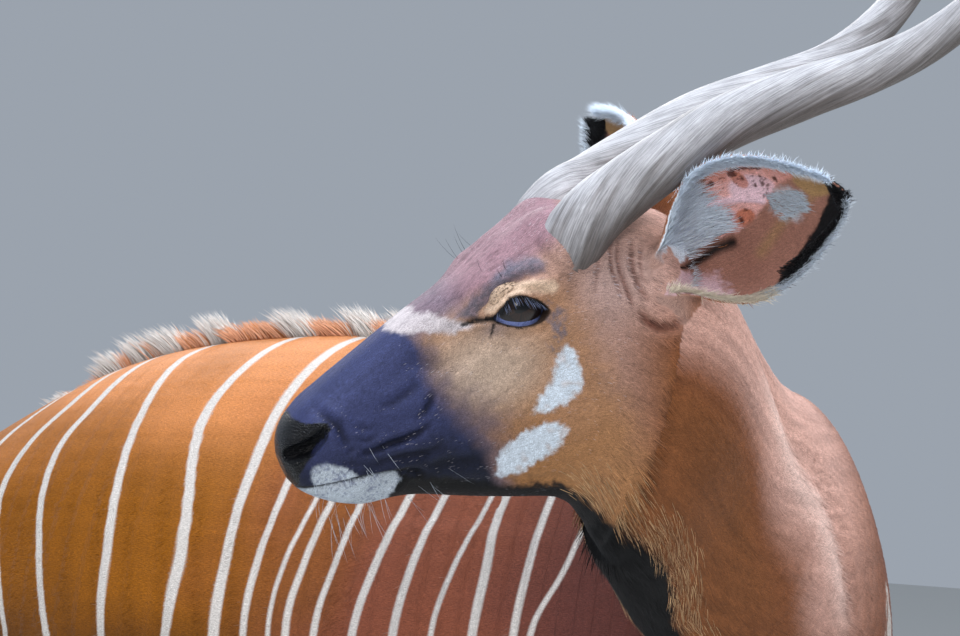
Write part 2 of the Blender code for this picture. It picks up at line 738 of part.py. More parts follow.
def eye_ball(name, side, radius):
    """A sphere for one eye or its socket, with its facets the same way round on both."""
    shaped = bmesh.new()
    bmesh.ops.create_uvsphere(shaped, u_segments=EYE_SIDES, v_segments=10, radius=radius)
    mesh = bpy.data.meshes.new(name)
    shaped.to_mesh(mesh)
    shaped.free()
    set_points(mesh, from_head(mesh_points(mesh) + EYE_AT * [1, side, 1]))
    made = bpy.data.objects.new(name, mesh)
    bpy.context.scene.collection.objects.link(made)
    return made


def lid_outline(count):
    """The almond outline between the lids, as (x, z) in the head's frame."""
    front, back = np.array(LID_FRONT), np.array(LID_BACK)
    t = np.linspace(0, 1, count)[:, None]
    straight = back + (front - back) * t
    arch = np.sin(math.pi * t)
    up = straight + arch * [0, LID_TOP_RISE]
    down = straight - arch * [0, LID_BOTTOM_DROP]
    return np.vstack([up, down[-2:0:-1]])


def lid_opening(side):
    """A cutter through the lids, the shape of the open eye."""
    outline = lid_outline(9)
    rings = [
        from_head(np.stack([outline[:, 0], np.full(len(outline), side * y), outline[:, 1]], 1))
        for y in (EYE_AT[1] + 0.002, EYE_AT[1] + 0.045)
    ]
    points, faces = skin_rings(rings)
    return mesh_object("lid_opening", points, faces)


def mouth_cut():
    """A cutter that parts the lips, from one corner of the mouth round the front to the other."""
    left = np.array(MOUTH_LINE)
    line = np.vstack([left, left[-2::-1] * [1, -1, 1]])
    middle = smooth_through(line, np.linspace(0, len(line) - 1, 19))
    ahead = unit(np.gradient(middle, axis=0))
    out = unit(np.stack([-ahead[:, 1], ahead[:, 0], np.zeros(len(ahead))], 1))
    up = np.array([0, 0, 1.0])
    rings = []
    for i, (m, o) in enumerate(zip(middle, out)):
        from_corner = min(i, len(middle) - 1 - i)
        open_here = min(1.0, CORNER_SHARE + from_corner / CORNER_RINGS)
        outer, inner = LIP_PARTING * open_here, LIP_INNER_PARTING
        deep = LIP_DEPTH * open_here
        front, back = m + o * LIP_CLEAR, m - o * deep
        corners = [front + up * outer, front - up * outer, back - up * inner, back + up * inner]
        rings.append(from_head(corners))
    points, faces = skin_rings(rings)
    return mesh_object("mouth_cut", points, faces)


def nostril_cut(side):
    """A cutter for one comma-shaped nostril."""
    rows = smooth_through(NOSTRIL_LINE, np.linspace(0, len(NOSTRIL_LINE) - 1, 9))
    middle = rows[:, :3] * [1, side, 1]
    ahead = unit(np.gradient(middle, axis=0))
    out = unit(np.array(NOSTRIL_FACING) * [1, side, 1])
    turn = even_turn(10)
    rings = []
    for m, a, r in zip(middle, ahead, rows[:, 3]):
        deep = unit(out - np.dot(out, a) * a)
        up = np.cross(a, deep)
        wide = np.outer(np.cos(turn) * r, up)
        rings.append(from_head(m + wide + np.outer(np.sin(turn) * r * NOSTRIL_DEPTH, deep)))
    points, faces = skin_rings(rings)
    return mesh_object("nostril_cut", points, faces)


def horn_rings(side, at, around):
    """Sections of one horn at the fractional rows at of its line, with a keel that winds once round it."""
    line = horn_line(side)
    middle = smooth_through(line, at)
    share = at / (len(line) - 1)
    forward = unit(np.gradient(middle, axis=0))
    up = unit(np.cross(forward, np.cross([0, 0, 1], forward)))
    across = np.cross(up, forward)
    taper = (1 - share**HORN_TAPER_START) ** HORN_TAPER_END
    radius = HORN_TIP_RADIUS + (HORN_BASE_RADIUS - HORN_TIP_RADIUS) * taper
    turn = even_turn(around)
    rings = []
    for i in range(len(at)):
        keel_at = side * HORN_TWIST * 2 * math.pi * share[i] + HORN_KEEL_FROM
        off_keel = np.angle(np.exp(1j * (turn - keel_at))) / HORN_KEEL_WIDTH
        keel = HORN_KEEL * (radius[i] / HORN_BASE_RADIUS) * np.exp(-(off_keel**2))
        reach = radius[i] + keel
        rings.append(
            middle[i]
            + np.outer(reach * np.cos(turn), up[i])
            + np.outer(reach * HORN_FLATNESS * np.sin(turn), across[i])
        )
    return np.array(rings), middle, forward


def horn_line(side):
    """The middle line of one horn, in the head's frame."""
    line = np.array(HORN_LINE) * [1, side, 1]
    if side < 0:
        line[:, 2] -= RIGHT_HORN_DROP * np.sin(np.linspace(0, math.pi, len(line)))
    return line


def horn_collar(side):
    """The skin round the root of one horn, which reaches further along it above than below."""
    at = np.linspace(0, COLLAR_REACH, 4)
    rings, middle, forward = horn_rings(side, at, 12)
    below = 0.5 - 0.5 * np.cos(even_turn(12))
    grown = []
    for ring, centre, ahead, share in zip(rings, middle, forward, at / COLLAR_REACH):
        out = (ring - centre) * (1 - COLLAR_ROOT_DRAW_IN * (1 - share) ** 3)
        out = out + unit(out) * (GAP + COLLAR_THICKNESS * (1 - share**2))
        grown.append(from_head(centre + out - np.outer(below * share * COLLAR_SHORTER_BELOW, ahead)))
    return mesh_object("horn_collar", *skin_rings(grown))


def ear_faces(side, along, across):
    """Points of the ear's inner and outer face, each along by across."""
    root, point, facing = (np.array(v, float) for v in EARS[side])
    point = unit(point)
    facing = unit(facing - facing.dot(point) * point)
    wide = np.cross(point, facing)
    outline = smooth_through(EAR_OUTLINE, even_rows(EAR_OUTLINE, along))
    reach, half = outline[:, :1], outline[:, 1:]
    share = reach / reach[-1]
    curl = np.interp(
        share, [0, EAR_CURL_MIDDLE_AT, 1], [EAR_CURL_ROOT, EAR_CURL_MIDDLE, EAR_CURL_TIP]
    )
    radius = half / np.sin(np.minimum(curl, math.pi / 2))
    angle = curl * np.linspace(-1, 1, across)
    out = radius * np.sin(angle)
    deep = radius * (np.cos(curl) - np.cos(angle)) - EAR_BOW * np.sin(math.pi * share)
    out = out + EAR_LIFT * np.sin(math.pi * share) * np.sign(wide[2])
    middle = root + reach[..., None] * point + out[..., None] * wide + deep[..., None] * facing
    normal = unit(np.cross(np.gradient(middle, axis=0), np.gradient(middle, axis=1)))
    edge = np.linspace(-1, 1, across)[None, :]
    along_it = 1 + EAR_ROOT_GAIN - (EAR_ROOT_GAIN + EAR_TIP_LOSS) * share
    half_thick = EAR_THICKNESS / 2 * (1 - EAR_EDGE_LOSS * np.abs(edge) ** 3) * along_it
    half_thick = half_thick[..., None]
    return from_head(middle + normal * half_thick), from_head(middle - normal * half_thick)


def make_ear(side, neighbours):
    """One ear: a curved leaf of even thickness, rolled at the root, that meets its neighbours."""
    along, across = 11, 11
    inner, outer = ear_faces(side, along, across)
    points = np.vstack([inner.reshape(-1, 3), outer.reshape(-1, 3)])
    second = along * across
    faces = []
    for i in range(along - 1):
        for k in range(across - 1):
            a, b = i * across + k, i * across + k + 1
            c, d = b + across, a + across
            faces += [(a, b, c), (a, c, d)]
            faces += [(second + a, second + c, second + b), (second + a, second + d, second + c)]
    rim = [k for k in range(across)]
    rim += [i * across + across - 1 for i in range(1, along)]
    rim += [(along - 1) * across + k for k in range(across - 2, -1, -1)]
    rim += [i * across for i in range(along - 2, 0, -1)]
    for a, b in zip(rim, rim[1:] + rim[:1]):
        faces += [(a, second + a, second + b), (a, second + b, b)]
    ear = mesh_object("ear_" + side, points, faces)
    for neighbour in neighbours:
        boolean(ear, swollen(neighbour, GAP), "DIFFERENCE")
    keep_largest(ear)
    return ear


def lock(root, way, flat, length, width, thickness, bend):
    """A flat tapered lock of hair: sunk at its root, bent towards bend, pointed at its tip."""
    way, bend = unit(way), np.asarray(bend, float)
    flat = unit(np.asarray(flat, float) - np.dot(flat, way) * way)
    thin = np.cross(way, flat)
    rings = []
    for t, wide in LOCK_STATIONS:
        middle = root + way * length * t + bend * length * max(t, 0) ** 2
        a = flat * width / 2 * wide
        b = thin * thickness / 2 * wide
        rings.append(np.array([middle + a, middle + b, middle - a, middle - b]))
    points, faces = skin_rings(rings)
    return mesh_object("lock", points, faces)


def back_height(x):
    """Height of the back at x, on the middle plane."""
    xs = np.linspace(0, len(TRUNK) - 1, 400)
    rows = smooth_through(TRUNK, xs)
    return float(np.interp(x, rows[:, 0], rows[:, 1]))


def surface_below(obj, x, y):
    """The point of obj's surface straight below a point high above (x, y)."""
    hit, at, _, _ = obj.ray_cast(Vector((x, y, 3.0)), Vector((0, 0, -1)))
    return np.array(at) if hit else np.array([x, y, back_height(x)])


def crest_locks(node, low_x, high_x, draw):
    """The crest's locks that grow from one node of the back, in two rows set close side by side."""
    made = []
    for i, x in enumerate(np.linspace(CREST_BACK_X, CREST_FRONT_X, CREST_LOCKS)):
        sway, swing = draw.uniform(-1, 1, 2)
        near_end = min(x - CREST_BACK_X, CREST_FRONT_X - x)
        length = CREST_LENGTH * draw.uniform(CREST_SHORTEST, CREST_LONGEST)
        length *= min(1.0, CREST_END_LENGTH + near_end / CREST_END_REACH)
        if not low_x + CREST_MARGIN < x < high_x - CREST_MARGIN:
            continue
        row = CREST_ROW if i % 2 else -CREST_ROW
        root = surface_below(node, x, row)
        lean = CREST_LEAN * min(1.0, (x - low_x) / CREST_UPRIGHT_NEAR) + CREST_SWAY * sway
        way = (-lean, CREST_SWING * swing + CREST_SPLAY * row, 1.0)
        face = np.array(CREST_FACE) * [1, swing, 1]
        bend = np.array(CREST_BEND) * [1, swing, 1]
        made.append(lock(root, way, face, length, CREST_WIDTH, CREST_THICKNESS, bend))
    return made


def make_tail(rump, draw):
    """The tail, hanging close behind the rump, with its tuft of long locks."""
    line = np.array(TAIL_LINE)
    at = even_rows(line, 13)
    middle = smooth_through(line, at)
    share = at / (len(line) - 1)
    radius = TAIL_TIP_RADIUS + (TAIL_ROOT_RADIUS - TAIL_TIP_RADIUS) * (1 - share) ** TAIL_TAPER
    down = unit(np.gradient(middle, axis=0))
    side = np.array([0.0, 1.0, 0.0])
    rings = [
        section(m + r * np.cross(d, side), m - r * np.cross(d, side), side, r, 0.5, 2, 2, even_turn(10))
        for m, r, d in zip(middle, radius, down)
    ]
    points, faces = skin_rings(rings)
    tail = mesh_object("tail", points, faces)
    locks = []
    for i in range(TUFT_LOCKS):
        turn = TURN_BETWEEN_LOCKS * i
        from_end = TUFT_LOWEST + TUFT_REACH * i / TUFT_LOCKS
        root = smooth_through(line, np.array([len(line) - 1 - from_end]))[0]
        out = np.array([math.cos(turn), math.sin(turn), 0.0])
        way = np.array([0, 0, -1.0]) + out * (TUFT_SPREAD + TUFT_SPREAD_MORE * draw.uniform())
        length = TUFT_LENGTH * draw.uniform(TUFT_SHORTEST, 1.0)
        flat = np.cross(out, [0, 0, 1.0])
        locks.append(
            lock(root + out * TUFT_OUT, way, flat, length, TUFT_WIDTH, TUFT_THICKNESS, TUFT_CURVE * out)
        )
    unite(tail, locks)
    boolean(tail, swollen(rump, GAP), "DIFFERENCE")
    keep_largest(tail)
    return tail


def make_claw(name, x, y, side):
    """One claw of a hoof: flat below, sloping to the toe, nearly straight on its inner side."""
    turn = even_turn(14)
    along, wide = np.cos(turn), np.sin(turn)
    reach = CLAW_HALF_WIDTH * (1 - CLAW_TOE_NARROWING * np.clip(along, 0, 1) ** 2)
    reach = reach * np.where(wide * side < 0, CLAW_INNER_SHARE, 1.0)
    rings = []
    for share in CLAW_LEVELS:
        heel = x - CLAW_LENGTH * CLAW_HEEL_SHARE + HEEL_RUN_FORWARD * share
        toe = x + CLAW_LENGTH * (1 - CLAW_HEEL_SHARE) - TOE_RUN_BACK * share
        rounding = SOLE_SHARE if share == 0 else 1.0
        px = (toe + heel) / 2 + (toe - heel) / 2 * along * rounding
        py = y + wide * reach * (1 - CLAW_DRAW_IN * share)
        rings.append(np.stack([px, py, np.full(len(turn), CLAW_HEIGHT * share)], 1))
    points, faces = skin_rings(rings)
    return mesh_object(name, points, faces)


def make_dewclaw(name, x, y, z, side):
    """A small blunt horn behind the fetlock."""
    way = unit(np.array(DEWCLAW_WAY) * [1, side, 1])
    across = unit(np.cross(way, [0, 1, 0]))
    other = np.cross(way, across)
    turn = even_turn(8)
    rings = []
    for t, share in DEWCLAW_STATIONS:
        middle = np.array([x, y, z]) + way * DEWCLAW_LENGTH * t
        radius = DEWCLAW_RADIUS * share
        rings.append(
            middle
            + np.outer(np.cos(turn) * radius, across)
            + np.outer(np.sin(turn) * radius * DEWCLAW_FLATNESS, other)
        )
    points, faces = skin_rings(rings)
    return mesh_object(name, points, faces)


def make_leg_nodes(body, end, side_name, stride):
    """One leg, parted at the knee and the fetlock, with its claws and dewclaws."""
    side = LEG_SIDE[side_name]
    name = end + "_" + side_name
    top = FORE_LEG_CUT_Z if end == "fore" else HIND_LEG_CUT_Z
    knee, fetlock = KNEE_CUT_Z[end], FETLOCK_CUT_Z[end]
    stations = FORE_LEG if end == "fore" else HIND_LEG
    from_x = FORE_LEG_FROM_X if end == "fore" else HIND_LEG_FROM_X
    away = (1, 0, 0) if end == "hind" else (-1, 0, 0)
    own = [((from_x, 0, 0), away), ((0, 0, 0), (0, -side, 0))]
    parts = {
        "upper_leg_": own + [((0, 0, top), (0, 0, 1)), ((0, 0, knee), (0, 0, -1))],
        "cannon_": own + [((0, 0, knee), (0, 0, 1)), ((0, 0, fetlock), (0, 0, -1))],
        "pastern_": own + [((0, 0, fetlock), (0, 0, 1)), ((0, 0, CORONET_Z), (0, 0, -1))],
    }
    nodes = [part_of(body, part + name, planes) for part, planes in parts.items()]
    foot_x = stations[-1][1] + leg_offset(CORONET_Z, stride)
    foot_y = side * stations[-1][4]
    for which, across in (("outer", side), ("inner", -side)):
        nodes.append(
            make_claw("claw_" + which + "_" + name, foot_x, foot_y + across * CLAW_SPREAD, across)
        )
        dewclaw_x = stations[-4][1] + leg_offset(DEWCLAW_Z, stride) - DEWCLAW_BACK
        dewclaw_y = foot_y + across * DEWCLAW_APART
        dewclaw = make_dewclaw(
            "dewclaw_" + which + "_" + name, dewclaw_x, dewclaw_y, DEWCLAW_Z, across
        )
        boolean(dewclaw, swollen(nodes[2], GAP), "DIFFERENCE")
        keep_largest(dewclaw)
        nodes.append(dewclaw)
    return nodes


def shade_smooth(obj):
    obj.data.shade_smooth()
    obj.data.set_sharp_from_angle(angle=math.radians(40))


def main():
    for old in list(bpy.data.objects):
        bpy.data.objects.remove(old)
    draw = np.random.default_rng(7)

    coat = material("chestnut_coat", (0.42, 0.16, 0.055), 0.75)
    dark_coat = material("black_coat", (0.035, 0.028, 0.03), 0.7)
    face_coat = material("face_coat", (0.30, 0.16, 0.09), 0.7)
    horn_grey = material("grey_horn", (0.36, 0.31, 0.27), 0.45)
    hoof_dark = material("dark_hoof", (0.06, 0.05, 0.045), 0.4)
    eye_brown = material("brown_eye", (0.02, 0.012, 0.008), 0.08)

    body = whole_body()
    neck_at, neck_way = station_plane(NECK_BASE_STATION)
    throat_at, throat_way = station_plane(len(NECK))
    above_fore = ((0, 0, FORE_LEG_CUT_Z), (0, 0, -1))
    above_hind = ((0, 0, HIND_LEG_CUT_Z), (0, 0, -1))
    neck = part_of(body, "neck", [(neck_at, -neck_way), (throat_at, throat_way)])
    fore = part_of(
        body, "forequarters", [(neck_at, neck_way), ((FORE_CUT_X, 0, 0), (-1, 0, 0)), above_fore]
    )
    barrel = part_of(
        body,
        "barrel",
        [((FORE_CUT_X, 0, 0), (1, 0, 0)), ((HIND_CUT_X, 0, 0), (-1, 0, 0))],
    )
    hind = part_of(body, "hindquarters", [((HIND_CUT_X, 0, 0), (1, 0, 0)), above_hind])

    nodes = {}
    for name, stride in STRIDE.items():
        end, side = name.split("_")
        for node in make_leg_nodes(body, end, side, stride):
            nodes[node.name] = (node, hoof_dark if "claw" in node.name else dark_coat)
    bpy.data.objects.remove(body)

    tail = make_tail(hind, draw)
    for node, low, high in (
        (hind, CREST_BACK_X - 0.05, HIND_CUT_X),
        (barrel, HIND_CUT_X, FORE_CUT_X),
        (fore, FORE_CUT_X, CREST_FRONT_X + 0.05),
    ):
        unite(node, crest_locks(node, low, high, draw))

    head = make_head()
    for side_name, side in LEG_SIDE.items():
        rings, _, _ = horn_rings(side, even_rows(horn_line(side), 22), 10)
        horn = mesh_object("horn_" + side_name, *skin_rings([from_head(ring) for ring in rings]))
        boolean(horn, swollen(head, GAP), "DIFFERENCE")
        keep_largest(horn)
        nodes[horn.name] = (horn, horn_grey)
        ear = make_ear(side_name, (head, neck, horn))
        nodes[ear.name] = (ear, coat)
        eye = eye_ball("eye_" + side_name, side, EYE_RADIUS)
        nodes[eye.name] = (eye, eye_brown)
    for node in (neck, fore, barrel, hind, tail):
        nodes[node.name] = (node, coat)
    nodes[head.name] = (head, face_coat)

    for node, finish in nodes.values():
        node.data.materials.clear()
        node.data.materials.append(finish)
        set_points(node.data, mesh_points(node.data) + BODY_SHIFT)
        shade_smooth(node)


main()
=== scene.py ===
"""The looks of a life-size bongo antelope that stands and looks back over its right side.

Metres, +Z up, in the frame of the solids. The trunk runs along X with the chest towards +X, and the
animal's left side is +Y. Shapes are made in the body's own frame and moved by BODY_SHIFT at the end.
"""

import math

import bmesh
import bpy
import numpy as np
from mathutils import Matrix, Vector
from mathutils.bvhtree import BVHTree
from mathutils.kdtree import KDTree


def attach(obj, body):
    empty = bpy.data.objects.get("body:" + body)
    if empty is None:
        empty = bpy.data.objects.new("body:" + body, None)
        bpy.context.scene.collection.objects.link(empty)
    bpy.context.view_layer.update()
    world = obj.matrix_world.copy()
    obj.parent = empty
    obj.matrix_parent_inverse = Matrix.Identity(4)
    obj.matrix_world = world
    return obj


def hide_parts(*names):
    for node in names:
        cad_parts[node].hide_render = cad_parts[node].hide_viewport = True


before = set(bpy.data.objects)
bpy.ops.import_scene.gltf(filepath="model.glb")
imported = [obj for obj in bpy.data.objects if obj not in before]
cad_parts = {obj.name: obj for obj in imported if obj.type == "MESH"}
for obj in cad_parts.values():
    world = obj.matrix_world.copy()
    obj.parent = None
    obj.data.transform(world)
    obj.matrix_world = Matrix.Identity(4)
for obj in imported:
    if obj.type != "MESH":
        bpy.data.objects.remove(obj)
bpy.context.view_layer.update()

BODY_SHIFT = np.array([-0.1228, 0.1865, 0.0])

# Trunk: for each station along X, the height of the back and of the belly, the half width,
# the share of the depth at which it is widest, and how boxy the upper and the lower half are.
TRUNK = [
    (-0.722, 0.915, 0.815, 0.040, 0.55, 2.0, 2.0),
    (-0.708, 0.965, 0.760, 0.095, 0.55, 2.0, 2.0),
    (-0.665, 1.012, 0.705, 0.145, 0.55, 2.0, 2.0),
    (-0.600, 1.048, 0.675, 0.178, 0.55, 2.0, 2.1),
    (-0.500, 1.103, 0.660, 0.208, 0.56, 2.0, 2.2),
    (-0.374, 1.166, 0.655, 0.232, 0.54, 1.9, 2.2),
    (-0.257, 1.207, 0.640, 0.250, 0.50, 1.85, 2.2),
    (-0.120, 1.228, 0.615, 0.262, 0.48, 1.85, 2.2),
    (0.043, 1.236, 0.598, 0.258, 0.48, 1.85, 2.2),
    (0.180, 1.226, 0.590, 0.240, 0.48, 1.85, 2.15),
    (0.300, 1.214, 0.592, 0.216, 0.50, 1.8, 2.1),
    (0.400, 1.205, 0.602, 0.196, 0.50, 1.8, 2.1),
    (0.490, 1.180, 0.630, 0.178, 0.50, 1.9, 2.0),
    (0.570, 1.120, 0.680, 0.150, 0.50, 2.0, 2.0),
    (0.625, 1.040, 0.745, 0.096, 0.50, 2.0, 2.0),
    (0.650, 0.960, 0.820, 0.055, 0.50, 2.0, 2.0),
]

# The head's own frame: where its origin, midway between the eyes, is, and how it is turned.
HEAD_AT = np.array([0.617, -0.477, 1.295])
HEAD_FORWARD = np.array([-0.5959, -0.7129, -0.3699])
HEAD_LEFT = np.array([0.7955, -0.5873, -0.1497])

# Head: for each station from the throat to the nose, the top and the bottom of its section as (x, z)
# in the head's frame, the half width, then the share and the boxiness as for the trunk.
HEAD = [
    ((-0.172, -0.018), (-0.006, -0.258), 0.074, 0.52, 2.0, 2.0),  # behind the ears
    ((-0.160, 0.010), (-0.003, -0.244), 0.073, 0.55, 2.1, 2.0),  # poll
    ((-0.132, 0.033), (0.000, -0.231), 0.073, 0.57, 2.2, 1.95),
    ((-0.100, 0.047), (0.002, -0.219), 0.074, 0.60, 2.3, 1.9),
    ((-0.068, 0.053), (0.005, -0.209), 0.075, 0.62, 2.4, 1.85),  # horns
    ((-0.038, 0.054), (0.009, -0.200), 0.075, 0.64, 2.4, 1.8),
    ((-0.012, 0.050), (0.018, -0.191), 0.074, 0.68, 2.4, 1.75),
    ((0.010, 0.041), (0.033, -0.184), 0.071, 0.72, 2.4, 1.7),  # eyes
    ((0.035, 0.031), (0.053, -0.176), 0.064, 0.70, 2.4, 1.7),
    ((0.060, 0.024), (0.078, -0.165), 0.056, 0.66, 2.4, 1.75),
    ((0.090, 0.016), (0.104, -0.153), 0.049, 0.62, 2.5, 1.8),
    ((0.119, 0.007), (0.129, -0.141), 0.0455, 0.58, 2.5, 1.9),
    ((0.150, -0.003), (0.154, -0.1325), 0.0445, 0.55, 2.5, 2.0),
    ((0.177, -0.012), (0.180, -0.127), 0.0440, 0.54, 2.5, 2.1),
    ((0.200, -0.021), (0.200, -0.118), 0.0410, 0.54, 2.5, 2.2),  # nostrils
    ((0.217, -0.031), (0.216, -0.106), 0.0365, 0.54, 2.4, 2.2),
    ((0.228, -0.043), (0.227, -0.094), 0.0285, 0.54, 2.2, 2.2),
    ((0.2335, -0.056), (0.233, -0.082), 0.0150, 0.54, 2.0, 2.0),  # nose pad
]

# Neck: for each station from the chest to the throat, the nape and the throat in the body's frame,
# then the half width, the share and the boxiness.
NECK = [
    ((0.330, 0.000, 1.150), (0.450, 0.000, 0.760), 0.120, 0.50, 2.0, 2.0),
    ((0.430, 0.000, 1.197), (0.590, -0.020, 0.770), 0.140, 0.46, 1.9, 2.1),
    ((0.520, -0.012, 1.196), (0.655, -0.075, 0.815), 0.118, 0.44, 1.9, 2.1),
    ((0.596, -0.048, 1.198), (0.668, -0.160, 0.875), 0.107, 0.44, 1.9, 2.1),
    ((0.652, -0.112, 1.202), (0.655, -0.235, 0.930), 0.095, 0.46, 1.9, 2.0),
    ((0.687, -0.185, 1.222), (0.642, -0.292, 0.980), 0.084, 0.48, 1.9, 2.0),
    ((0.703, -0.245, 1.262), (0.645, -0.334, 1.018), 0.077, 0.50, 1.95, 2.0),
    ((0.718, -0.305, 1.309), (0.651, -0.372, 1.048), 0.077, 0.51, 2.0, 2.0),
]
THROAT_STATION = len(NECK)
NOSE_STATION = len(NECK) + len(HEAD) - 1

# Legs: for each height, the middle of the leg along X, its half length, its half width, and how far
# from the middle plane it stands.
FORE_LEG = [
    (0.960, 0.430, 0.110, 0.060, 0.100),
    (0.860, 0.440, 0.135, 0.078, 0.122),
    (0.760, 0.415, 0.118, 0.076, 0.132),
    (0.690, 0.395, 0.092, 0.066, 0.136),
    (0.630, 0.388, 0.070, 0.056, 0.136),
    (0.570, 0.392, 0.056, 0.047, 0.133),
    (0.490, 0.400, 0.045, 0.039, 0.130),
    (0.425, 0.407, 0.037, 0.034, 0.128),
    (0.380, 0.412, 0.038, 0.037, 0.127),
    (0.345, 0.411, 0.034, 0.034, 0.127),
    (0.305, 0.408, 0.027, 0.026, 0.127),
    (0.225, 0.405, 0.0245, 0.0235, 0.127),
    (0.165, 0.403, 0.027, 0.026, 0.127),
    (0.130, 0.404, 0.033, 0.034, 0.127),
    (0.102, 0.414, 0.030, 0.032, 0.127),
    (0.078, 0.428, 0.031, 0.034, 0.127),
    (0.050, 0.440, 0.036, 0.039, 0.127),
]
HIND_LEG = [
    (1.000, -0.480, 0.140, 0.050, 0.090),
    (0.900, -0.500, 0.185, 0.086, 0.122),
    (0.800, -0.490, 0.182, 0.090, 0.136),
    (0.715, -0.478, 0.150, 0.084, 0.142),
    (0.640, -0.492, 0.110, 0.068, 0.143),
    (0.570, -0.522, 0.078, 0.052, 0.142),
    (0.500, -0.562, 0.056, 0.041, 0.140),
    (0.450, -0.592, 0.050, 0.036, 0.138),
    (0.415, -0.608, 0.050, 0.036, 0.138),
    (0.375, -0.607, 0.042, 0.034, 0.138),
    (0.330, -0.600, 0.033, 0.029, 0.138),
    (0.240, -0.592, 0.0275, 0.025, 0.138),
    (0.170, -0.587, 0.029, 0.028, 0.138),
    (0.132, -0.584, 0.035, 0.035, 0.138),
    (0.103, -0.573, 0.031, 0.033, 0.138),
    (0.078, -0.558, 0.031, 0.034, 0.138),
    (0.050, -0.546, 0.036, 0.039, 0.138),
]
LEG_LINES = {"fore": FORE_LEG, "hind": HIND_LEG}
# How far each foot is set forward of its place under the leg's root.
STRIDE = {"fore_left": 0.035, "fore_right": -0.030, "hind_left": -0.045, "hind_right": 0.040}
SIDES = {"left": 1.0, "right": -1.0}
STRIDE_FROM = 0.74

TAIL_LINE = [
    (-0.610, 0.0, 0.988), (-0.672, 0.0, 0.974), (-0.722, 0.002, 0.915), (-0.746, 0.006, 0.810),
    (-0.753, 0.012, 0.700), (-0.751, 0.017, 0.600), (-0.748, 0.020, 0.530),
]
TAIL_ROOT_RADIUS, TAIL_TIP_RADIUS, TAIL_TAPER = 0.031, 0.009, 1.3

# Eyes, in the head's frame, for the left side, and the almond between the lids as (x, z).
EYE_RADIUS = 0.0225
EYE_AT = np.array([0.001, 0.0545, -0.003])
LID_UPPER = [
    (-0.0218, -0.0134), (-0.0196, -0.0078), (-0.0150, -0.0012), (-0.0069, 0.0066), (0.0005, 0.0102),
    (0.0070, 0.0104), (0.0115, 0.0080), (0.0155, 0.0046), (0.0206, 0.0012), (0.0262, -0.0025),
]
LID_LOWER = [
    (0.0262, -0.0025), (0.0229, -0.0055), (0.0195, -0.0078), (0.0156, -0.0104), (0.0113, -0.0129),
    (0.0066, -0.0152), (0.0000, -0.0172), (-0.0074, -0.0183), (-0.0156, -0.0174), (-0.0218, -0.0134),
]
LID_THICKNESS, LID_SOFTNESS = 0.0030, 0.0025

# Horns: points of the middle line in the head's frame, for the left side.
HORN_LINE = [
    (-0.044, 0.044, 0.014), (-0.086, 0.049, 0.043), (-0.120, 0.051, 0.055), (-0.168, 0.053, 0.067),
    (-0.230, 0.054, 0.078), (-0.300, 0.057, 0.078), (-0.360, 0.069, 0.076), (-0.412, 0.086, 0.084),
    (-0.462, 0.100, 0.104), (-0.512, 0.104, 0.140), (-0.556, 0.096, 0.186), (-0.590, 0.084, 0.238),
    (-0.606, 0.080, 0.292),
]
HORN_BASE_RADIUS, HORN_TIP_RADIUS = 0.0295, 0.0035
HORN_TAPER_START, HORN_TAPER_END = 1.25, 0.85
HORN_FLATNESS = 0.94
HORN_LENGTH, COLLAR_LENGTH = 0.730, 0.027
RIGHT_HORN_DROP = 0.014
HORN_KEEL, HORN_TWIST, HORN_KEEL_FROM, HORN_KEEL_WIDTH = 0.0035, 1.1, 0.6, 0.42
HORN_GRAIN, HORN_RINGS, HORN_SEEN_FROM = 0.00007, 0.00010, 0.18
# The skin round each horn's root: thickness, how far it reaches, and by how much it is shorter below.
COLLAR_THICKNESS, COLLAR_REACH, COLLAR_SHORTER_BELOW, COLLAR_ROOT_DRAW_IN = 0.0034, 0.53, 0.016, 0.35
COLLAR_CLEAR = 0.0003

# Ears: root, the way the ear points and the way its cup faces, in the head's frame for that side.
EAR_THICKNESS = 0.0042
EAR_OUTLINE = [
    (0.000, 0.019), (0.020, 0.026), (0.043, 0.046), (0.068, 0.062), (0.096, 0.063), (0.126, 0.054),
    (0.156, 0.036), (0.178, 0.018), (0.188, 0.004),
]
EAR_CURLS, EAR_CURLS_AT, EAR_BOW = (2.25, 1.15, 0.55), (0, 0.42, 1), 0.014
# How far the ear's middle bends up between root and tip.
EAR_LIFT = 0.009
# What the share along an ear and the edge across it are in metres.
EAR_METRES = np.array([0.188, 0.065])
EARS = {
    "left": ((-0.118, 0.062, -0.028), (-0.880, 0.455, 0.168), (0.42, 0.90, 0.10)),
    "right": ((-0.118, -0.062, -0.028), (-0.286, -0.830, 0.474), (0.90, 0.10, 0.42)),
}


def unit(v):
    """v scaled to length 1, along the last axis."""
    v = np.asarray(v, float)
    return v / np.maximum(np.linalg.norm(v, axis=-1, keepdims=True), 1e-12)


HEAD_FORWARD = unit(HEAD_FORWARD)
HEAD_LEFT = unit(HEAD_LEFT - HEAD_LEFT.dot(HEAD_FORWARD) * HEAD_FORWARD)
HEAD_AXES = np.array([HEAD_FORWARD, HEAD_LEFT, np.cross(HEAD_FORWARD, HEAD_LEFT)])


def from_head(p):
    """Points of the head's frame in the body's frame."""
    return HEAD_AT + np.asarray(p, float) @ HEAD_AXES


def to_head(p):
    """Points of the body's frame in the head's frame."""
    return (np.asarray(p, float) - HEAD_AT) @ HEAD_AXES.T


def smoothstep(low, high, x):
    """0 at low, 1 at high and smooth between them, with low above high for a fall."""
    t = np.clip((x - low) / (high - low), 0, 1)
    return t * t * (3 - 2 * t)


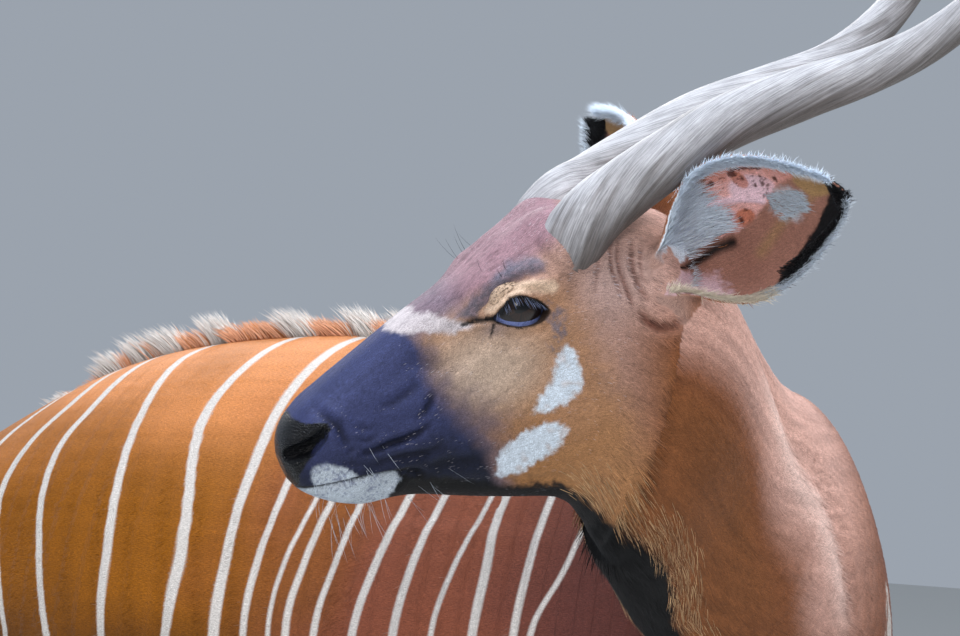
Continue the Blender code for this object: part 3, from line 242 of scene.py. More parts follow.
def smooth_through(values, at):
    """A smooth curve through the rows of values, read at the fractional row numbers at."""
    values = np.asarray(values, float)
    slopes = np.gradient(values, axis=0)
    first = np.clip(np.floor(at).astype(int), 0, len(values) - 2)
    t = (at - first)[:, None]
    a, b = values[first], values[first + 1]
    ta, tb = slopes[first], slopes[first + 1]
    return (
        a * (2 * t**3 - 3 * t**2 + 1)
        + ta * (t**3 - 2 * t**2 + t)
        + b * (3 * t**2 - 2 * t**3)
        + tb * (t**3 - t**2)
    )


def even_rows(points, count):
    """Fractional row numbers that divide the line through points into even lengths."""
    steps = np.linalg.norm(np.diff(np.asarray(points, float), axis=0), axis=1)
    along = np.concatenate([[0], np.cumsum(steps)])
    return np.interp(np.linspace(0, along[-1], count), along, np.arange(len(along)))


def even_turn(around):
    """Evenly spread angles round a section, counted from its top."""
    return 2 * math.pi * np.arange(around) / around


def section(top, bottom, left, half_width, share, upper, lower, turn):
    """A closed ring of points. upper and lower say how boxy its two halves are: 2 is an ellipse."""
    across, rise = np.sin(turn), np.cos(turn)
    power = 2 / np.where(rise >= 0, upper, lower)
    across = np.sign(across) * np.abs(across) ** power
    rise = np.sign(rise) * np.abs(rise) ** power
    height = np.where(rise >= 0, share + rise * (1 - share), share + rise * share)
    return bottom + np.outer(height, top - bottom) + np.outer(across * half_width, left)


def trunk_rings(count, turn):
    """Sections of the trunk, rump to chest."""
    rows = smooth_through(TRUNK, np.linspace(0, len(TRUNK) - 1, count))
    left = np.array([0.0, 1.0, 0.0])
    return [
        section(np.array([x, 0, back]), np.array([x, 0, belly]), left, *rest, turn)
        for x, back, belly, *rest in rows
    ]


def neck_and_head_rows():
    """The neck's and the head's stations as one list of numbers, chest to nose."""
    rows = [(*nape, *throat, *rest) for nape, throat, *rest in NECK]
    for top, bottom, *rest in HEAD:
        rows.append((*from_head([top[0], 0, top[1]]), *from_head([bottom[0], 0, bottom[1]]), *rest))
    return np.array(rows)


def neck_and_head_rings(at, turn):
    """Sections of the neck and the head at the fractional station numbers at."""
    stations = neck_and_head_rows()
    rows = smooth_through(stations, at)
    step = 0.02
    ahead = smooth_through(stations, np.minimum(at + step, NOSE_STATION))
    behind = smooth_through(stations, np.maximum(at - step, 0))
    forward = (ahead[:, :3] + ahead[:, 3:6] - behind[:, :3] - behind[:, 3:6]) / 2
    left = unit(np.cross(rows[:, :3] - rows[:, 3:6], forward))
    return [section(row[:3], row[3:6], side, *row[6:10], turn) for row, side in zip(rows, left)]


def leg_offset(z, stride):
    """How far forward of its place under the root a leg with this stride is at the height z."""
    return stride * max(0.0, min(1.0, (STRIDE_FROM - z) / STRIDE_FROM))


def leg_rings(end, side, stride, count, turn):
    """Sections of one leg, root to coronet."""
    stations = LEG_LINES[end]
    rows = smooth_through(stations, even_rows([(x, 0, z) for z, x, *_ in stations], count))
    rings = []
    for z, x, half_length, half_width, out in rows:
        x = x + leg_offset(z, stride)
        front = np.array([x + half_length, side * out, z])
        back = np.array([x - half_length, side * out, z])
        rings.append(section(front, back, np.array([0, side, 0]), half_width, 0.5, 2.0, 2.0, turn))
    return rings


def tail_rings(count, turn):
    """Sections of the tail, root to tip."""
    at = even_rows(TAIL_LINE, count)
    middle = smooth_through(TAIL_LINE, at)
    share = at / (len(TAIL_LINE) - 1)
    radius = TAIL_TIP_RADIUS + (TAIL_ROOT_RADIUS - TAIL_TIP_RADIUS) * (1 - share) ** TAIL_TAPER
    side = np.array([0.0, 1.0, 0.0])
    rings = []
    for m, r, d in zip(middle, radius, unit(np.gradient(middle, axis=0))):
        up = r * np.cross(d, side)
        rings.append(section(m + up, m - up, side, r, 0.5, 2, 2, turn))
    return rings


def ear_faces(side, along, across):
    """Points of the ear's inner and outer face, each along by across, in the head's frame."""
    root, point, facing = (np.array(v, float) for v in EARS[side])
    point = unit(point)
    facing = unit(facing - facing.dot(point) * point)
    wide = np.cross(point, facing)
    outline = smooth_through(EAR_OUTLINE, even_rows(EAR_OUTLINE, along))
    reach, half = outline[:, :1], outline[:, 1:]
    share = reach / reach[-1]
    curl = np.interp(share, EAR_CURLS_AT, EAR_CURLS)
    radius = half / np.sin(np.minimum(curl, math.pi / 2))
    angle = curl * np.linspace(-1, 1, across)
    out = radius * np.sin(angle)
    deep = radius * (np.cos(curl) - np.cos(angle)) - EAR_BOW * np.sin(math.pi * share)
    out = out + EAR_LIFT * np.sin(math.pi * share) * np.sign(wide[2])
    middle = root + reach[..., None] * point + out[..., None] * wide + deep[..., None] * facing
    normal = unit(np.cross(np.gradient(middle, axis=0), np.gradient(middle, axis=1)))
    return middle + normal * EAR_THICKNESS / 2, middle - normal * EAR_THICKNESS / 2


def tube_faces(count, around):
    """The faces of a tube with open ends, from count rings of points."""
    faces = []
    for i in range(count - 1):
        for k in range(around):
            n = (k + 1) % around
            faces.append((i * around + k, i * around + n, (i + 1) * around + n, (i + 1) * around + k))
    return faces


def skin_rings(rings):
    """Vertices and faces of the closed body whose sections are rings, from the first end to the last."""
    rings = np.asarray(rings)
    count, around = rings.shape[:2]
    points = np.vstack([rings.reshape(-1, 3), rings[0].mean(0), rings[-1].mean(0)])
    first, last = count * around, count * around + 1
    faces = tube_faces(count, around)
    for k in range(around):
        n = (k + 1) % around
        faces.append((first, n, k))
        faces.append((last, (count - 1) * around + k, (count - 1) * around + n))
    return points, faces


def shell(inner, outer):
    """Vertices and faces of the closed leaf between two grids of points."""
    along, across = inner.shape[:2]
    points = np.vstack([inner.reshape(-1, 3), outer.reshape(-1, 3)])
    second = along * across
    faces = []
    for i in range(along - 1):
        for k in range(across - 1):
            a = i * across + k
            b, c, d = a + 1, a + across + 1, a + across
            faces += [(a, b, c, d), (second + a, second + d, second + c, second + b)]
    rim = list(range(across)) + [i * across + across - 1 for i in range(1, along)]
    rim += [(along - 1) * across + k for k in range(across - 2, -1, -1)]
    rim += [i * across for i in range(along - 2, 0, -1)]
    faces += [(a, second + a, second + b, b) for a, b in zip(rim, rim[1:] + rim[:1])]
    return points, faces


def linked(name, data):
    """A new object in the scene that holds data."""
    made = bpy.data.objects.new(name, data)
    bpy.context.scene.collection.objects.link(made)
    return made


def new_mesh(name, points, faces):
    """A new object whose mesh has exactly these points, in the body's own frame."""
    mesh = bpy.data.meshes.new(name)
    mesh.from_pydata(np.asarray(points, float).tolist(), [], faces)
    return linked(name, mesh)


def turned_out(obj):
    """obj with its faces turned outwards."""
    shaped = bmesh.new()
    shaped.from_mesh(obj.data)
    bmesh.ops.recalc_face_normals(shaped, faces=shaped.faces)
    shaped.to_mesh(obj.data)
    shaped.free()
    return obj


def loft(name, rings):
    """A new closed body whose sections are rings."""
    return turned_out(new_mesh(name, *skin_rings(rings)))


def mesh_points(mesh):
    """The places of the points of mesh, one row each."""
    points = np.empty(len(mesh.vertices) * 3, np.float32)
    mesh.vertices.foreach_get("co", points)
    return points.reshape(-1, 3).astype(float)


def mesh_normals(mesh):
    """The normals at the points of mesh, one row each."""
    normals = np.empty(len(mesh.vertices) * 3, np.float32)
    mesh.vertices.foreach_get("normal", normals)
    return normals.reshape(-1, 3).astype(float)


def set_points(mesh, points):
    """Moves the points of mesh to these places."""
    mesh.vertices.foreach_set("co", np.asarray(points, np.float32).ravel())
    mesh.update()


def apply_modifiers(obj):
    """Gives obj the mesh that its modifiers make."""
    graph = bpy.context.evaluated_depsgraph_get()
    made = bpy.data.meshes.new_from_object(obj.evaluated_get(graph))
    old = obj.data
    obj.modifiers.clear()
    obj.data = made
    bpy.data.meshes.remove(old)


def cut_away(obj, cutter):
    """Cuts cutter out of obj and removes it."""
    step = obj.modifiers.new("cut", "BOOLEAN")
    step.operation = "DIFFERENCE"
    step.object = cutter
    apply_modifiers(obj)
    bpy.data.objects.remove(cutter)


def joined(name, pieces):
    """One object that holds the meshes of all pieces, which are removed."""
    shaped = bmesh.new()
    for piece in pieces:
        shaped.from_mesh(piece.data)
        bpy.data.objects.remove(piece)
    made = new_mesh(name, np.zeros((0, 3)), [])
    shaped.to_mesh(made.data)
    shaped.free()
    return made


def noise(p, cell, seed=0):
    """Smooth random values from -1 to 1 at the points p, which change over about cell."""
    table = np.random.default_rng(seed).uniform(-1, 1, 4096)
    q = np.asarray(p, float) / cell
    low = np.floor(q).astype(np.int64)
    f = q - low
    f = f * f * (3 - 2 * f)
    total = 0
    for corner in range(8):
        step = np.array([corner & 1, corner >> 1 & 1, corner >> 2 & 1])
        at = low + step
        key = (at[:, 0] * 73856093 ^ at[:, 1] * 19349663 ^ at[:, 2] * 83492791) & 4095
        weight = np.prod(np.where(step == 1, f, 1 - f), axis=1)
        total = total + table[key] * weight
    return total


def line_distance(p, line):
    """For points p, the distance to the open line and the share of it at which the nearest point lies."""
    line = np.asarray(line, float)
    best = np.full(len(p), 1e9)
    where = np.zeros(len(p))
    steps = np.linalg.norm(np.diff(line, axis=0), axis=1)
    starts = np.concatenate([[0], np.cumsum(steps)])
    for a, b, start, step in zip(line[:-1], line[1:], starts, steps):
        t = np.clip((p - a) @ (b - a) / step**2, 0, 1)
        far = np.linalg.norm(p - a - t[:, None] * (b - a), axis=1)
        where = np.where(far < best, (start + t * step) / starts[-1], where)
        best = np.minimum(best, far)
    return best, where


# Relief of the head, in its frame for the left half: where, how far it reaches, and how high it stands.
HEAD_BUMPS = [
    ((0.012, 0.061, 0.0245), (0.030, 0.022, 0.012), 0.0075),  # brow
    ((-0.028, 0.066, 0.012), (0.022, 0.020, 0.016), 0.0060),  # back of the brow
    ((0.000, 0.070, -0.034), (0.050, 0.022, 0.011), 0.0045),  # cheek bone
    ((0.088, 0.046, -0.022), (0.036, 0.020, 0.022), -0.0060),  # hollow before the eye
    ((-0.020, 0.062, -0.120), (0.045, 0.030, 0.050), 0.0070),  # chewing muscle
    ((0.066, 0.046, -0.100), (0.030, 0.022, 0.026), -0.0045),  # hollow before it
    ((-0.075, 0.068, 0.006), (0.022, 0.018, 0.020), -0.0045),  # temple
    ((0.190, 0.036, -0.046), (0.020, 0.022, 0.018), 0.0045),  # wing of the nostril
    ((0.140, 0.040, -0.090), (0.045, 0.022, 0.016), 0.0040),  # upper lip
    ((0.166, 0.030, -0.126), (0.030, 0.022, 0.010), 0.0030),  # chin
    ((-0.128, 0.058, -0.026), (0.024, 0.024, 0.030), 0.0080),  # root of the ear
    ((-0.056, 0.042, 0.050), (0.024, 0.036, 0.026), 0.0140),  # root of the horn
    ((-0.070, 0.070, 0.022), (0.022, 0.018, 0.020), 0.0050),
]
MOUTH_LINE = [
    (0.134, 0.0430, -0.1060), (0.158, 0.0430, -0.0990), (0.181, 0.0410, -0.0950),
    (0.205, 0.0360, -0.0930), (0.222, 0.0250, -0.0895), (0.231, 0.0000, -0.0865),
]
LIP_PARTING, LIP_DEPTH, LIP_CLEAR = 0.0022, 0.0080, 0.0080
# One nostril, from its narrow upper end to the front: middle and half height of the opening.
NOSTRIL_LINE = [
    (0.1880, 0.0455, -0.0395, 0.0020), (0.1970, 0.0430, -0.0485, 0.0048),
    (0.2105, 0.0365, -0.0545, 0.0070), (0.2235, 0.0270, -0.0560, 0.0058),
    (0.2300, 0.0190, -0.0560, 0.0025),
]
NOSTRIL_DEPTH, NOSTRIL_FACING = 2.0, (0.45, 1.0, 0.0)

# Lines of the face, as (x, z) in the head's frame: the line, its half width and its depth.
# A negative depth raises a ridge.
FACE_LINES = [
    ([(0.168, -0.075), (0.157, -0.0762), (0.142, -0.0762), (0.129, -0.0772), (0.115, -0.0768),
      (0.104, -0.0726)], 0.0030, 0.0042),
    ([(0.112, -0.064), (0.105, -0.0613), (0.0987, -0.0557), (0.0925, -0.0480)], 0.0032, 0.0030),
    ([(0.160, -0.0871), (0.147, -0.0893), (0.129, -0.0933), (0.112, -0.0981), (0.098, -0.0964)],
     0.0036, 0.0026),
    ([(0.1397, -0.0428), (0.1261, -0.0436), (0.1112, -0.0401), (0.100, -0.036)], 0.0042, 0.0018),
    ([(0.219, -0.091), (0.194, -0.0945), (0.177, -0.096), (0.155, -0.101), (0.136, -0.106)],
     0.0020, 0.0026),
    ([(0.136, -0.106), (0.128, -0.111), (0.121, -0.118)], 0.0030, 0.0026),
    ([(0.1336, -0.1096), (0.1417, -0.1141), (0.1474, -0.1200)], 0.0026, 0.0022),
    ([(0.118, -0.110), (0.090, -0.117), (0.060, -0.124)], 0.0050, 0.0018),
    ([(0.110, -0.134), (0.080, -0.145), (0.040, -0.158), (0.010, -0.168)], 0.0050, 0.0016),
    ([(0.046, 0.0004), (0.0387, 0.0030), (0.0173, 0.0150), (-0.0012, 0.0212), (-0.0186, 0.0225),
      (-0.034, 0.0185)], 0.0036, 0.0040),
    ([(0.0200, 0.0060), (0.0098, 0.0142), (-0.0040, 0.0158), (-0.0190, 0.0090), (-0.0300, -0.0020)],
     0.0022, 0.0018),
    ([(0.032, -0.012), (0.012, -0.0230), (-0.010, -0.0262), (-0.028, -0.020)], 0.0028, 0.0017),
    ([(0.037, -0.021), (0.012, -0.0325), (-0.014, -0.0365)], 0.0034, 0.0011),
    ([(0.052, -0.0005), (0.040, 0.0004), (0.0275, -0.0020)], 0.0024, 0.0030),
    ([(0.042, 0.0200), (0.0174, 0.0320), (-0.0137, 0.0440), (-0.0335, 0.0540)], 0.0060, -0.0016),
    ([(0.190, -0.028), (0.179, -0.044), (0.176, -0.064)], 0.0042, 0.0030),
    ([(0.172, -0.060), (0.160, -0.066), (0.150, -0.066)], 0.0026, 0.0014),
    ([(0.182, -0.070), (0.170, -0.068), (0.163, -0.074)], 0.0024, 0.0014),
    ([(0.184, -0.078), (0.172, -0.082), (0.164, -0.086)], 0.0024, 0.0014),
    ([(0.170, -0.050), (0.158, -0.054), (0.150, -0.060)], 0.0030, 0.0012),
    ([(0.100, -0.020), (0.070, -0.030), (0.050, -0.026)], 0.0060, 0.0014),
    ([(-0.0837, 0.0183), (-0.0775, 0.0051), (-0.0688, -0.0075), (-0.0662, -0.0183)], 0.0026, 0.0012),
    ([(-0.0963, 0.0170), (-0.0907, 0.0063), (-0.0878, -0.004), (-0.0880, -0.0158), (-0.0871, -0.0273)],
     0.0022, 0.0034),
    ([(-0.1020, 0.0150), (-0.0958, 0.0041), (-0.0933, -0.0064), (-0.0931, -0.0180), (-0.0927, -0.0297),
      (-0.0928, -0.0389)], 0.0022, 0.0036),
    ([(-0.1141, 0.0090), (-0.1079, -0.0012), (-0.1048, -0.0114), (-0.1039, -0.0250), (-0.1073, -0.0383)],
     0.0026, 0.0030),
    ([(-0.1200, 0.0050), (-0.1130, -0.0057), (-0.1095, -0.0179), (-0.1108, -0.0303)], 0.0022, 0.0024),
    ([(-0.0967, -0.0452), (-0.1003, -0.0560), (-0.1085, -0.0652), (-0.1221, -0.0695), (-0.1334, -0.0672)],
     0.0040, 0.0040),
    ([(-0.0640, 0.0300), (-0.0560, 0.0110), (-0.0520, -0.0060), (-0.0560, -0.0230)], 0.0070, 0.0014),
]
# Relief of the trunk and legs, in the body's frame for the left half.
BODY_BUMPS = [
    ((-0.300, 0.215, 0.960), (0.070, 0.080, 0.110), -0.0110),  # hollow of the flank
    ((-0.440, 0.150, 1.125), (0.050, 0.050, 0.035), 0.0040),  # hip bone
    ((-0.520, 0.170, 0.960), (0.030, 0.080, 0.120), -0.0050),
    ((0.170, 0.220, 0.960), (0.030, 0.080, 0.140), -0.0060),  # behind the shoulder
    ((0.280, 0.200, 1.080), (0.090, 0.060, 0.022), -0.0030),
    ((0.330, 0.190, 0.860), (0.050, 0.060, 0.060), 0.0035),  # point of the shoulder
    ((0.230, 0.180, 0.720), (0.035, 0.050, 0.050), -0.0070),  # before the elbow
    ((-0.200, 0.160, 0.655), (0.090, 0.080, 0.030), -0.0060),  # fold of the groin
    ((-0.600, 0.120, 0.560), (0.020, 0.040, 0.090), -0.0060),  # beside the hamstring
    ((-0.550, 0.150, 0.470), (0.020, 0.030, 0.040), -0.0030),
    ((0.400, 0.140, 0.372), (0.016, 0.040, 0.022), 0.0020),  # knee
]
RIBS_FROM, RIBS_TO, RIB_SPACING, RIB_HEIGHT = -0.22, 0.16, 0.047, 0.0011
# Regions of the skin, and how far inside the solids it lies in each.
ON_TRUNK, ON_NECK, ON_HEAD, ON_LEG, ON_EAR, ON_TAIL = range(6)
COAT_DEPTH = np.array([0.0035, 0.0025, 0.0010, 0.0018, 0.0004, 0.0020])

# The skin is grown from small cubes. Space is first stretched along each axis where the head is, so that
# the cubes are finer there: for each axis, where the stretch starts and where it is full.
SKIN_CELL = 0.0074
FINE_TIMES = 3.5
FINE_RANGES = ((0.37, 0.45), (-0.16, -0.23), (1.02, 1.09))
AXIS_PLACES = np.linspace(-1.2, 2.0, 3201)


def stretch_table(start, full):
    """How far each of AXIS_PLACES is carried by the stretch that grows from start to full."""
    rate = 1 + (FINE_TIMES - 1) * smoothstep(0, 1, (AXIS_PLACES - start) / (full - start))
    carried = np.concatenate([[0], np.cumsum((rate[1:] + rate[:-1]) / 2)]) * np.diff(AXIS_PLACES)[0]
    return carried - np.interp(start, AXIS_PLACES, carried) + start


STRETCHES = [stretch_table(*ends) for ends in FINE_RANGES]


def stretched(p, back=False):
    """Points p carried apart round the head, so that it is FINE_TIMES as large, or back again."""
    moved = []
    for axis, table in enumerate(STRETCHES):
        known, wanted = (table, AXIS_PLACES) if back else (AXIS_PLACES, table)
        moved.append(np.interp(p[:, axis], known, wanted))
    return np.stack(moved, 1)


def left_half(p, middle=0.0):
    """Points p with those of the right half mirrored onto the left."""
    return np.stack([p[:, 0], np.abs(p[:, 1] - middle), p[:, 2]], 1)


def bumps(p, table):
    """The summed height at points p of the soft bumps in table."""
    total = np.zeros(len(p))
    for centre, size, amount in table:
        away = (p - np.asarray(centre)) / np.asarray(size)
        total += amount * np.exp(-(away**2).sum(-1))
    return total


def grooves(h):
    """The height of the lines of the face at the points h of the head's frame."""
    flat = np.stack([h[:, 0], h[:, 2]], 1)
    side = smoothstep(0.008, 0.022, np.abs(h[:, 1]))
    total = np.zeros(len(h))
    for line, width, depth in FACE_LINES:
        near = np.all(np.abs(flat - np.mean(line, 0)) < 0.12, axis=1)
        far, share = line_distance(flat[near], line)
        fade = np.sin(math.pi * np.clip(share * 0.96 + 0.02, 0, 1)) ** 0.5
        dip = np.exp(-((far / width) ** 2)) - 0.40 * np.exp(-(((far - 2.1 * width) / width) ** 2))
        total[near] -= depth * fade * dip
    return total * side


def head_loft():
    """The head, from the throat to the nose, with its relief, eye openings, nostrils and parted lips."""
    turn = even_turn(96)
    ahead = np.linspace(THROAT_STATION + 1.1, NOSE_STATION, 100)
    head = loft("head_loft", neck_and_head_rings(np.concatenate([[THROAT_STATION], ahead]), turn))
    h = to_head(mesh_points(head.data))
    side = np.where(h[:, 1] < 0, -1.0, 1.0)
    h += (mesh_normals(head.data) @ HEAD_AXES.T) * bumps(left_half(h), HEAD_BUMPS)[:, None]
    eye = EYE_AT * np.stack([np.ones_like(side), side, np.ones_like(side)], 1)
    away = h - eye
    far = np.linalg.norm(away, axis=1)
    short = (EYE_RADIUS + LID_THICKNESS - far) / LID_SOFTNESS
    push = np.where(away[:, 1] * side > 0, LID_SOFTNESS * np.logaddexp(0, short), 0)
    set_points(head.data, from_head(eye + away * (1 + push / far)[:, None]))
    for side in SIDES.values():
        cut_away(head, ball("socket", side, EYE_RADIUS + 0.0004))
        cut_away(head, lid_opening(side))
        cut_away(head, nostril_cut(side))
    cut_away(head, mouth_cut())
    return head


def horn_frame(side, at):
    """One horn's middle line at the row numbers at: points, ways ahead, up and across, shares, radii."""
    line = np.array(HORN_LINE) * [1, side, 1]
    if side < 0:
        line[:, 2] -= RIGHT_HORN_DROP * np.sin(np.linspace(0, math.pi, len(line)))
    middle = smooth_through(line, at)
    share = at / (len(line) - 1)
    forward = unit(np.gradient(middle, axis=0))
    up = unit(np.cross(forward, np.cross([0, 0, 1], forward)))
    taper = (1 - share**HORN_TAPER_START) ** HORN_TAPER_END
    radius = HORN_TIP_RADIUS + (HORN_BASE_RADIUS - HORN_TIP_RADIUS) * taper
    return middle, forward, up, np.cross(up, forward), share, radius


def horn_collar(side):
    """The skin that grows up round the root of one horn, shorter below."""
    turn = even_turn(40)
    at = np.linspace(0, COLLAR_REACH, 12)
    below = 0.5 - 0.5 * np.cos(turn)
    rings = []
    for m, f, u, a, share, radius in zip(*horn_frame(side, at)):
        along = share * (len(HORN_LINE) - 1) / COLLAR_REACH
        out = np.outer(np.cos(turn), u) + np.outer(np.sin(turn) * HORN_FLATNESS, a)
        drawn_in = 1 - COLLAR_ROOT_DRAW_IN * (1 - along) ** 3
        reach = radius * drawn_in + COLLAR_CLEAR + COLLAR_THICKNESS * (1 - along**2)
        rings.append(from_head(m + out * reach - np.outer(below * along * COLLAR_SHORTER_BELOW, f)))
    return loft("horn_collar", rings)


def ball(name, side, radius):
    """A sphere round the middle of one eye."""
    shaped = bmesh.new()
    bmesh.ops.create_uvsphere(shaped, u_segments=48, v_segments=24, radius=radius)
    made = new_mesh(name, np.zeros((0, 3)), [])
    shaped.to_mesh(made.data)
    shaped.free()
    set_points(made.data, from_head(mesh_points(made.data) + EYE_AT * [1, side, 1]))
    return made


def lid_outline(count):
    """The almond between the lids, from its back corner over the top and round, as (x, z)."""
    up = smooth_through(LID_UPPER, even_rows(LID_UPPER, count))
    down = smooth_through(LID_LOWER, even_rows(LID_LOWER, count))
    return np.vstack([up, down[1:-1]])


def eye_gap(x, z):
    """How far (x, z) lies within the almond, above its lower edge and below its upper one."""
    above = z - np.interp(x, *zip(*LID_LOWER[::-1]))
    return np.minimum(above, np.interp(x, *zip(*LID_UPPER)) - z)


def lid_opening(side):
    """A cutter through the lids, the shape of the open eye."""
    outline = lid_outline(19)
    rings = [
        from_head(np.stack([outline[:, 0], np.full(len(outline), side * y), outline[:, 1]], 1))
        for y in (EYE_AT[1] + 0.002, EYE_AT[1] + 0.045)
    ]
    return loft("lid_opening", rings)


def nostril_cut(side):
    """A cutter for one comma-shaped nostril."""
    rows = smooth_through(NOSTRIL_LINE, np.linspace(0, len(NOSTRIL_LINE) - 1, 15))
    middle = rows[:, :3] * [1, side, 1]
    ahead = unit(np.gradient(middle, axis=0))
    out = unit(np.array(NOSTRIL_FACING) * [1, side, 1])
    turn = even_turn(16)
    rings = []
    for m, a, r in zip(middle, ahead, rows[:, 3]):
        deep = unit(out - np.dot(out, a) * a)
        wide = np.outer(np.cos(turn) * r, np.cross(a, deep))
        rings.append(from_head(m + wide + np.outer(np.sin(turn) * r * NOSTRIL_DEPTH, deep)))
    return loft("nostril_cut", rings)


def mouth_cut():
    """A cutter that parts the lips, from one corner of the mouth round the front to the other."""
    left = np.array(MOUTH_LINE)
    line = np.vstack([left, left[-2::-1] * [1, -1, 1]])
    middle = smooth_through(line, np.linspace(0, len(line) - 1, 41))
    ahead = unit(np.gradient(middle, axis=0))
    out = unit(np.stack([-ahead[:, 1], ahead[:, 0], np.zeros(len(ahead))], 1))
    up = np.array([0, 0, 1.0])
    rings = []
    for i, (m, o) in enumerate(zip(middle, out)):
        open_here = min(1.0, 0.25 + min(i, len(middle) - 1 - i) / 8)
        outer, inner = LIP_PARTING * open_here, LIP_PARTING / 6
        front, back = m + o * LIP_CLEAR, m - o * LIP_DEPTH * open_here
        corners = [front + up * outer, front - up * outer, back - up * inner, back + up * inner]
        rings.append(from_head(corners))
    return loft("mouth_cut", rings)


def grow_skin():
    """The whole animal's flesh grown together into one closed skin."""
    round_body = even_turn(64)
    pieces = [
        loft("trunk", trunk_rings(90, round_body)),
        loft("neck", neck_and_head_rings(np.linspace(0, THROAT_STATION + 4, 70), round_body)),
        loft("tail", tail_rings(40, even_turn(20))),
        head_loft(),
    ]
    for name, stride in STRIDE.items():
        end, side = name.split("_")
        pieces.append(loft("leg", leg_rings(end, SIDES[side], stride, 80, even_turn(32))))
    for side in SIDES:
        inner, outer = ear_faces(side, 60, 60)
        pieces.append(turned_out(new_mesh("ear", *shell(from_head(inner), from_head(outer)))))
        pieces.append(horn_collar(SIDES[side]))
    skin = joined("skin", pieces)
    set_points(skin.data, stretched(mesh_points(skin.data)))
    grow = skin.modifiers.new("grow", "REMESH")
    grow.mode = "VOXEL"
    grow.voxel_size = SKIN_CELL
    apply_modifiers(skin)
    set_points(skin.data, stretched(mesh_points(skin.data), back=True))
    return skin


def edge_ends(mesh):
    """The numbers of the points at both ends of each edge."""
    ends = np.empty(len(mesh.edges) * 2, np.int64)
    mesh.edges.foreach_get("vertices", ends)
    return ends.reshape(-1, 2).T


def smoothed(mesh, points, rounds, weight):
    """Points of mesh, each drawn towards the middle of its neighbours by weight, several times."""
    a, b = edge_ends(mesh)
    size = len(points)
    count = np.bincount(np.concatenate([a, b]), minlength=size)[:, None]
    for _ in range(rounds):
        sums = [np.bincount(a, column[b], size) + np.bincount(b, column[a], size) for column in points.T]
        points = points + (np.stack(sums, 1) / count - points) * weight
    return points


# The columns of skin_places().
AT, ALONG_WAY, AROUND_WAY, HAIR = slice(0, 3), slice(6, 9), slice(9, 12), slice(12, 15)
REGION, ALONG, AROUND, NUMBER, SHARE, NUMBER_RATE, SHARE_RATE = 3, 4, 5, 15, 16, 17, 18
EAR_GRID = 40


def grid_rows(shape, *columns):
    """One row for each point of a grid of this shape, from values that may be the same along or across."""
    wide = [np.broadcast_to(c, (*shape, c.shape[-1])) for c in columns]
    return np.concatenate(wide, 2).reshape(shape[0] * shape[1], -1)


def skin_places():
    """Points all over the lofts, one row each with the columns named above.

    Along and around are places on the loft in metres, and the two ways are theirs. Number and share say
    where on the loft the point is, and their rates how much they change for each metre.
    """
    turn = even_turn(48)
    stations = np.linspace(0, NOSE_STATION, 150)
    stations = stations[(stations <= THROAT_STATION) | (stations >= THROAT_STATION + 1.1)]
    lofts = [
        (ON_TRUNK, trunk_rings(70, turn), -1, 1.0),
        (ON_TAIL, tail_rings(30, even_turn(12)), 1, 1.0),
        (ON_NECK, neck_and_head_rings(stations, turn), -1, stations),
    ]
    for name, stride in STRIDE.items():
        end, side = name.split("_")
        lofts.append((ON_LEG, leg_rings(end, SIDES[side], stride, 70, even_turn(24)), 1, 1.0))
    rows = []
    for order, (region, rings, lie, numbers) in enumerate(lofts):
        rings = np.array(rings)
        count, around = rings.shape[:2]
        along = np.concatenate([[0], np.cumsum(np.linalg.norm(np.diff(rings.mean(1), axis=0), axis=1))])
        steps = np.linalg.norm(np.diff(rings, axis=1, append=rings[:, :1]), axis=2)
        arc = np.concatenate([np.zeros((count, 1)), np.cumsum(steps, 1)[:, :-1]], 1)
        along_way = unit(np.gradient(rings, axis=0))
        around_way = unit(np.roll(rings, -1, 1) - np.roll(rings, 1, 1))
        numbers = np.broadcast_to(np.asarray(numbers, float), (count,))
        number_rate = np.gradient(numbers) / np.gradient(along)
        regions = np.where((region == ON_NECK) & (numbers >= THROAT_STATION), ON_HEAD, region)
        down, over_grid = (slice(None), None, None), (None, slice(None), None)
        rows.append(
            grid_rows(
                (count, around), rings, regions[down], along[down] + 10 * order, arc[..., None], along_way,
                around_way, lie * along_way, numbers[down], (np.arange(around) / around)[over_grid],
                number_rate[down], (1 / steps.sum(1))[down],
            )
        )
    last = EAR_GRID - 1
    for order, side in enumerate(SIDES):
        sense = -1 if side == "left" else 1
        share = np.linspace(0, 1, EAR_GRID)[:, None, None]
        edge = (np.linspace(-1, 1, EAR_GRID) * sense)[None, :, None]
        for face, sign in zip(ear_faces(side, EAR_GRID, EAR_GRID), (1, -1)):
            grid = from_head(face)
            ahead, across = np.gradient(grid, axis=0), np.gradient(grid, axis=1)
            rows.append(
                grid_rows(
                    (EAR_GRID, EAR_GRID), grid, np.full((1, 1, 1), ON_EAR), share * 0.19 + 100 + 2 * order,
                    edge * 0.06 + sign, unit(ahead), unit(across), unit(ahead), share * sign, edge,
                    sign / last / np.linalg.norm(ahead, axis=2, keepdims=True),
                    sense * 2 / last / np.linalg.norm(across, axis=2, keepdims=True),
                )
            )
    return np.concatenate(rows)


PLACES = skin_places()
PLACE_TREE = KDTree(len(PLACES))
for i, row in enumerate(PLACES):
    PLACE_TREE.insert(row[:3], i)
PLACE_TREE.balance()


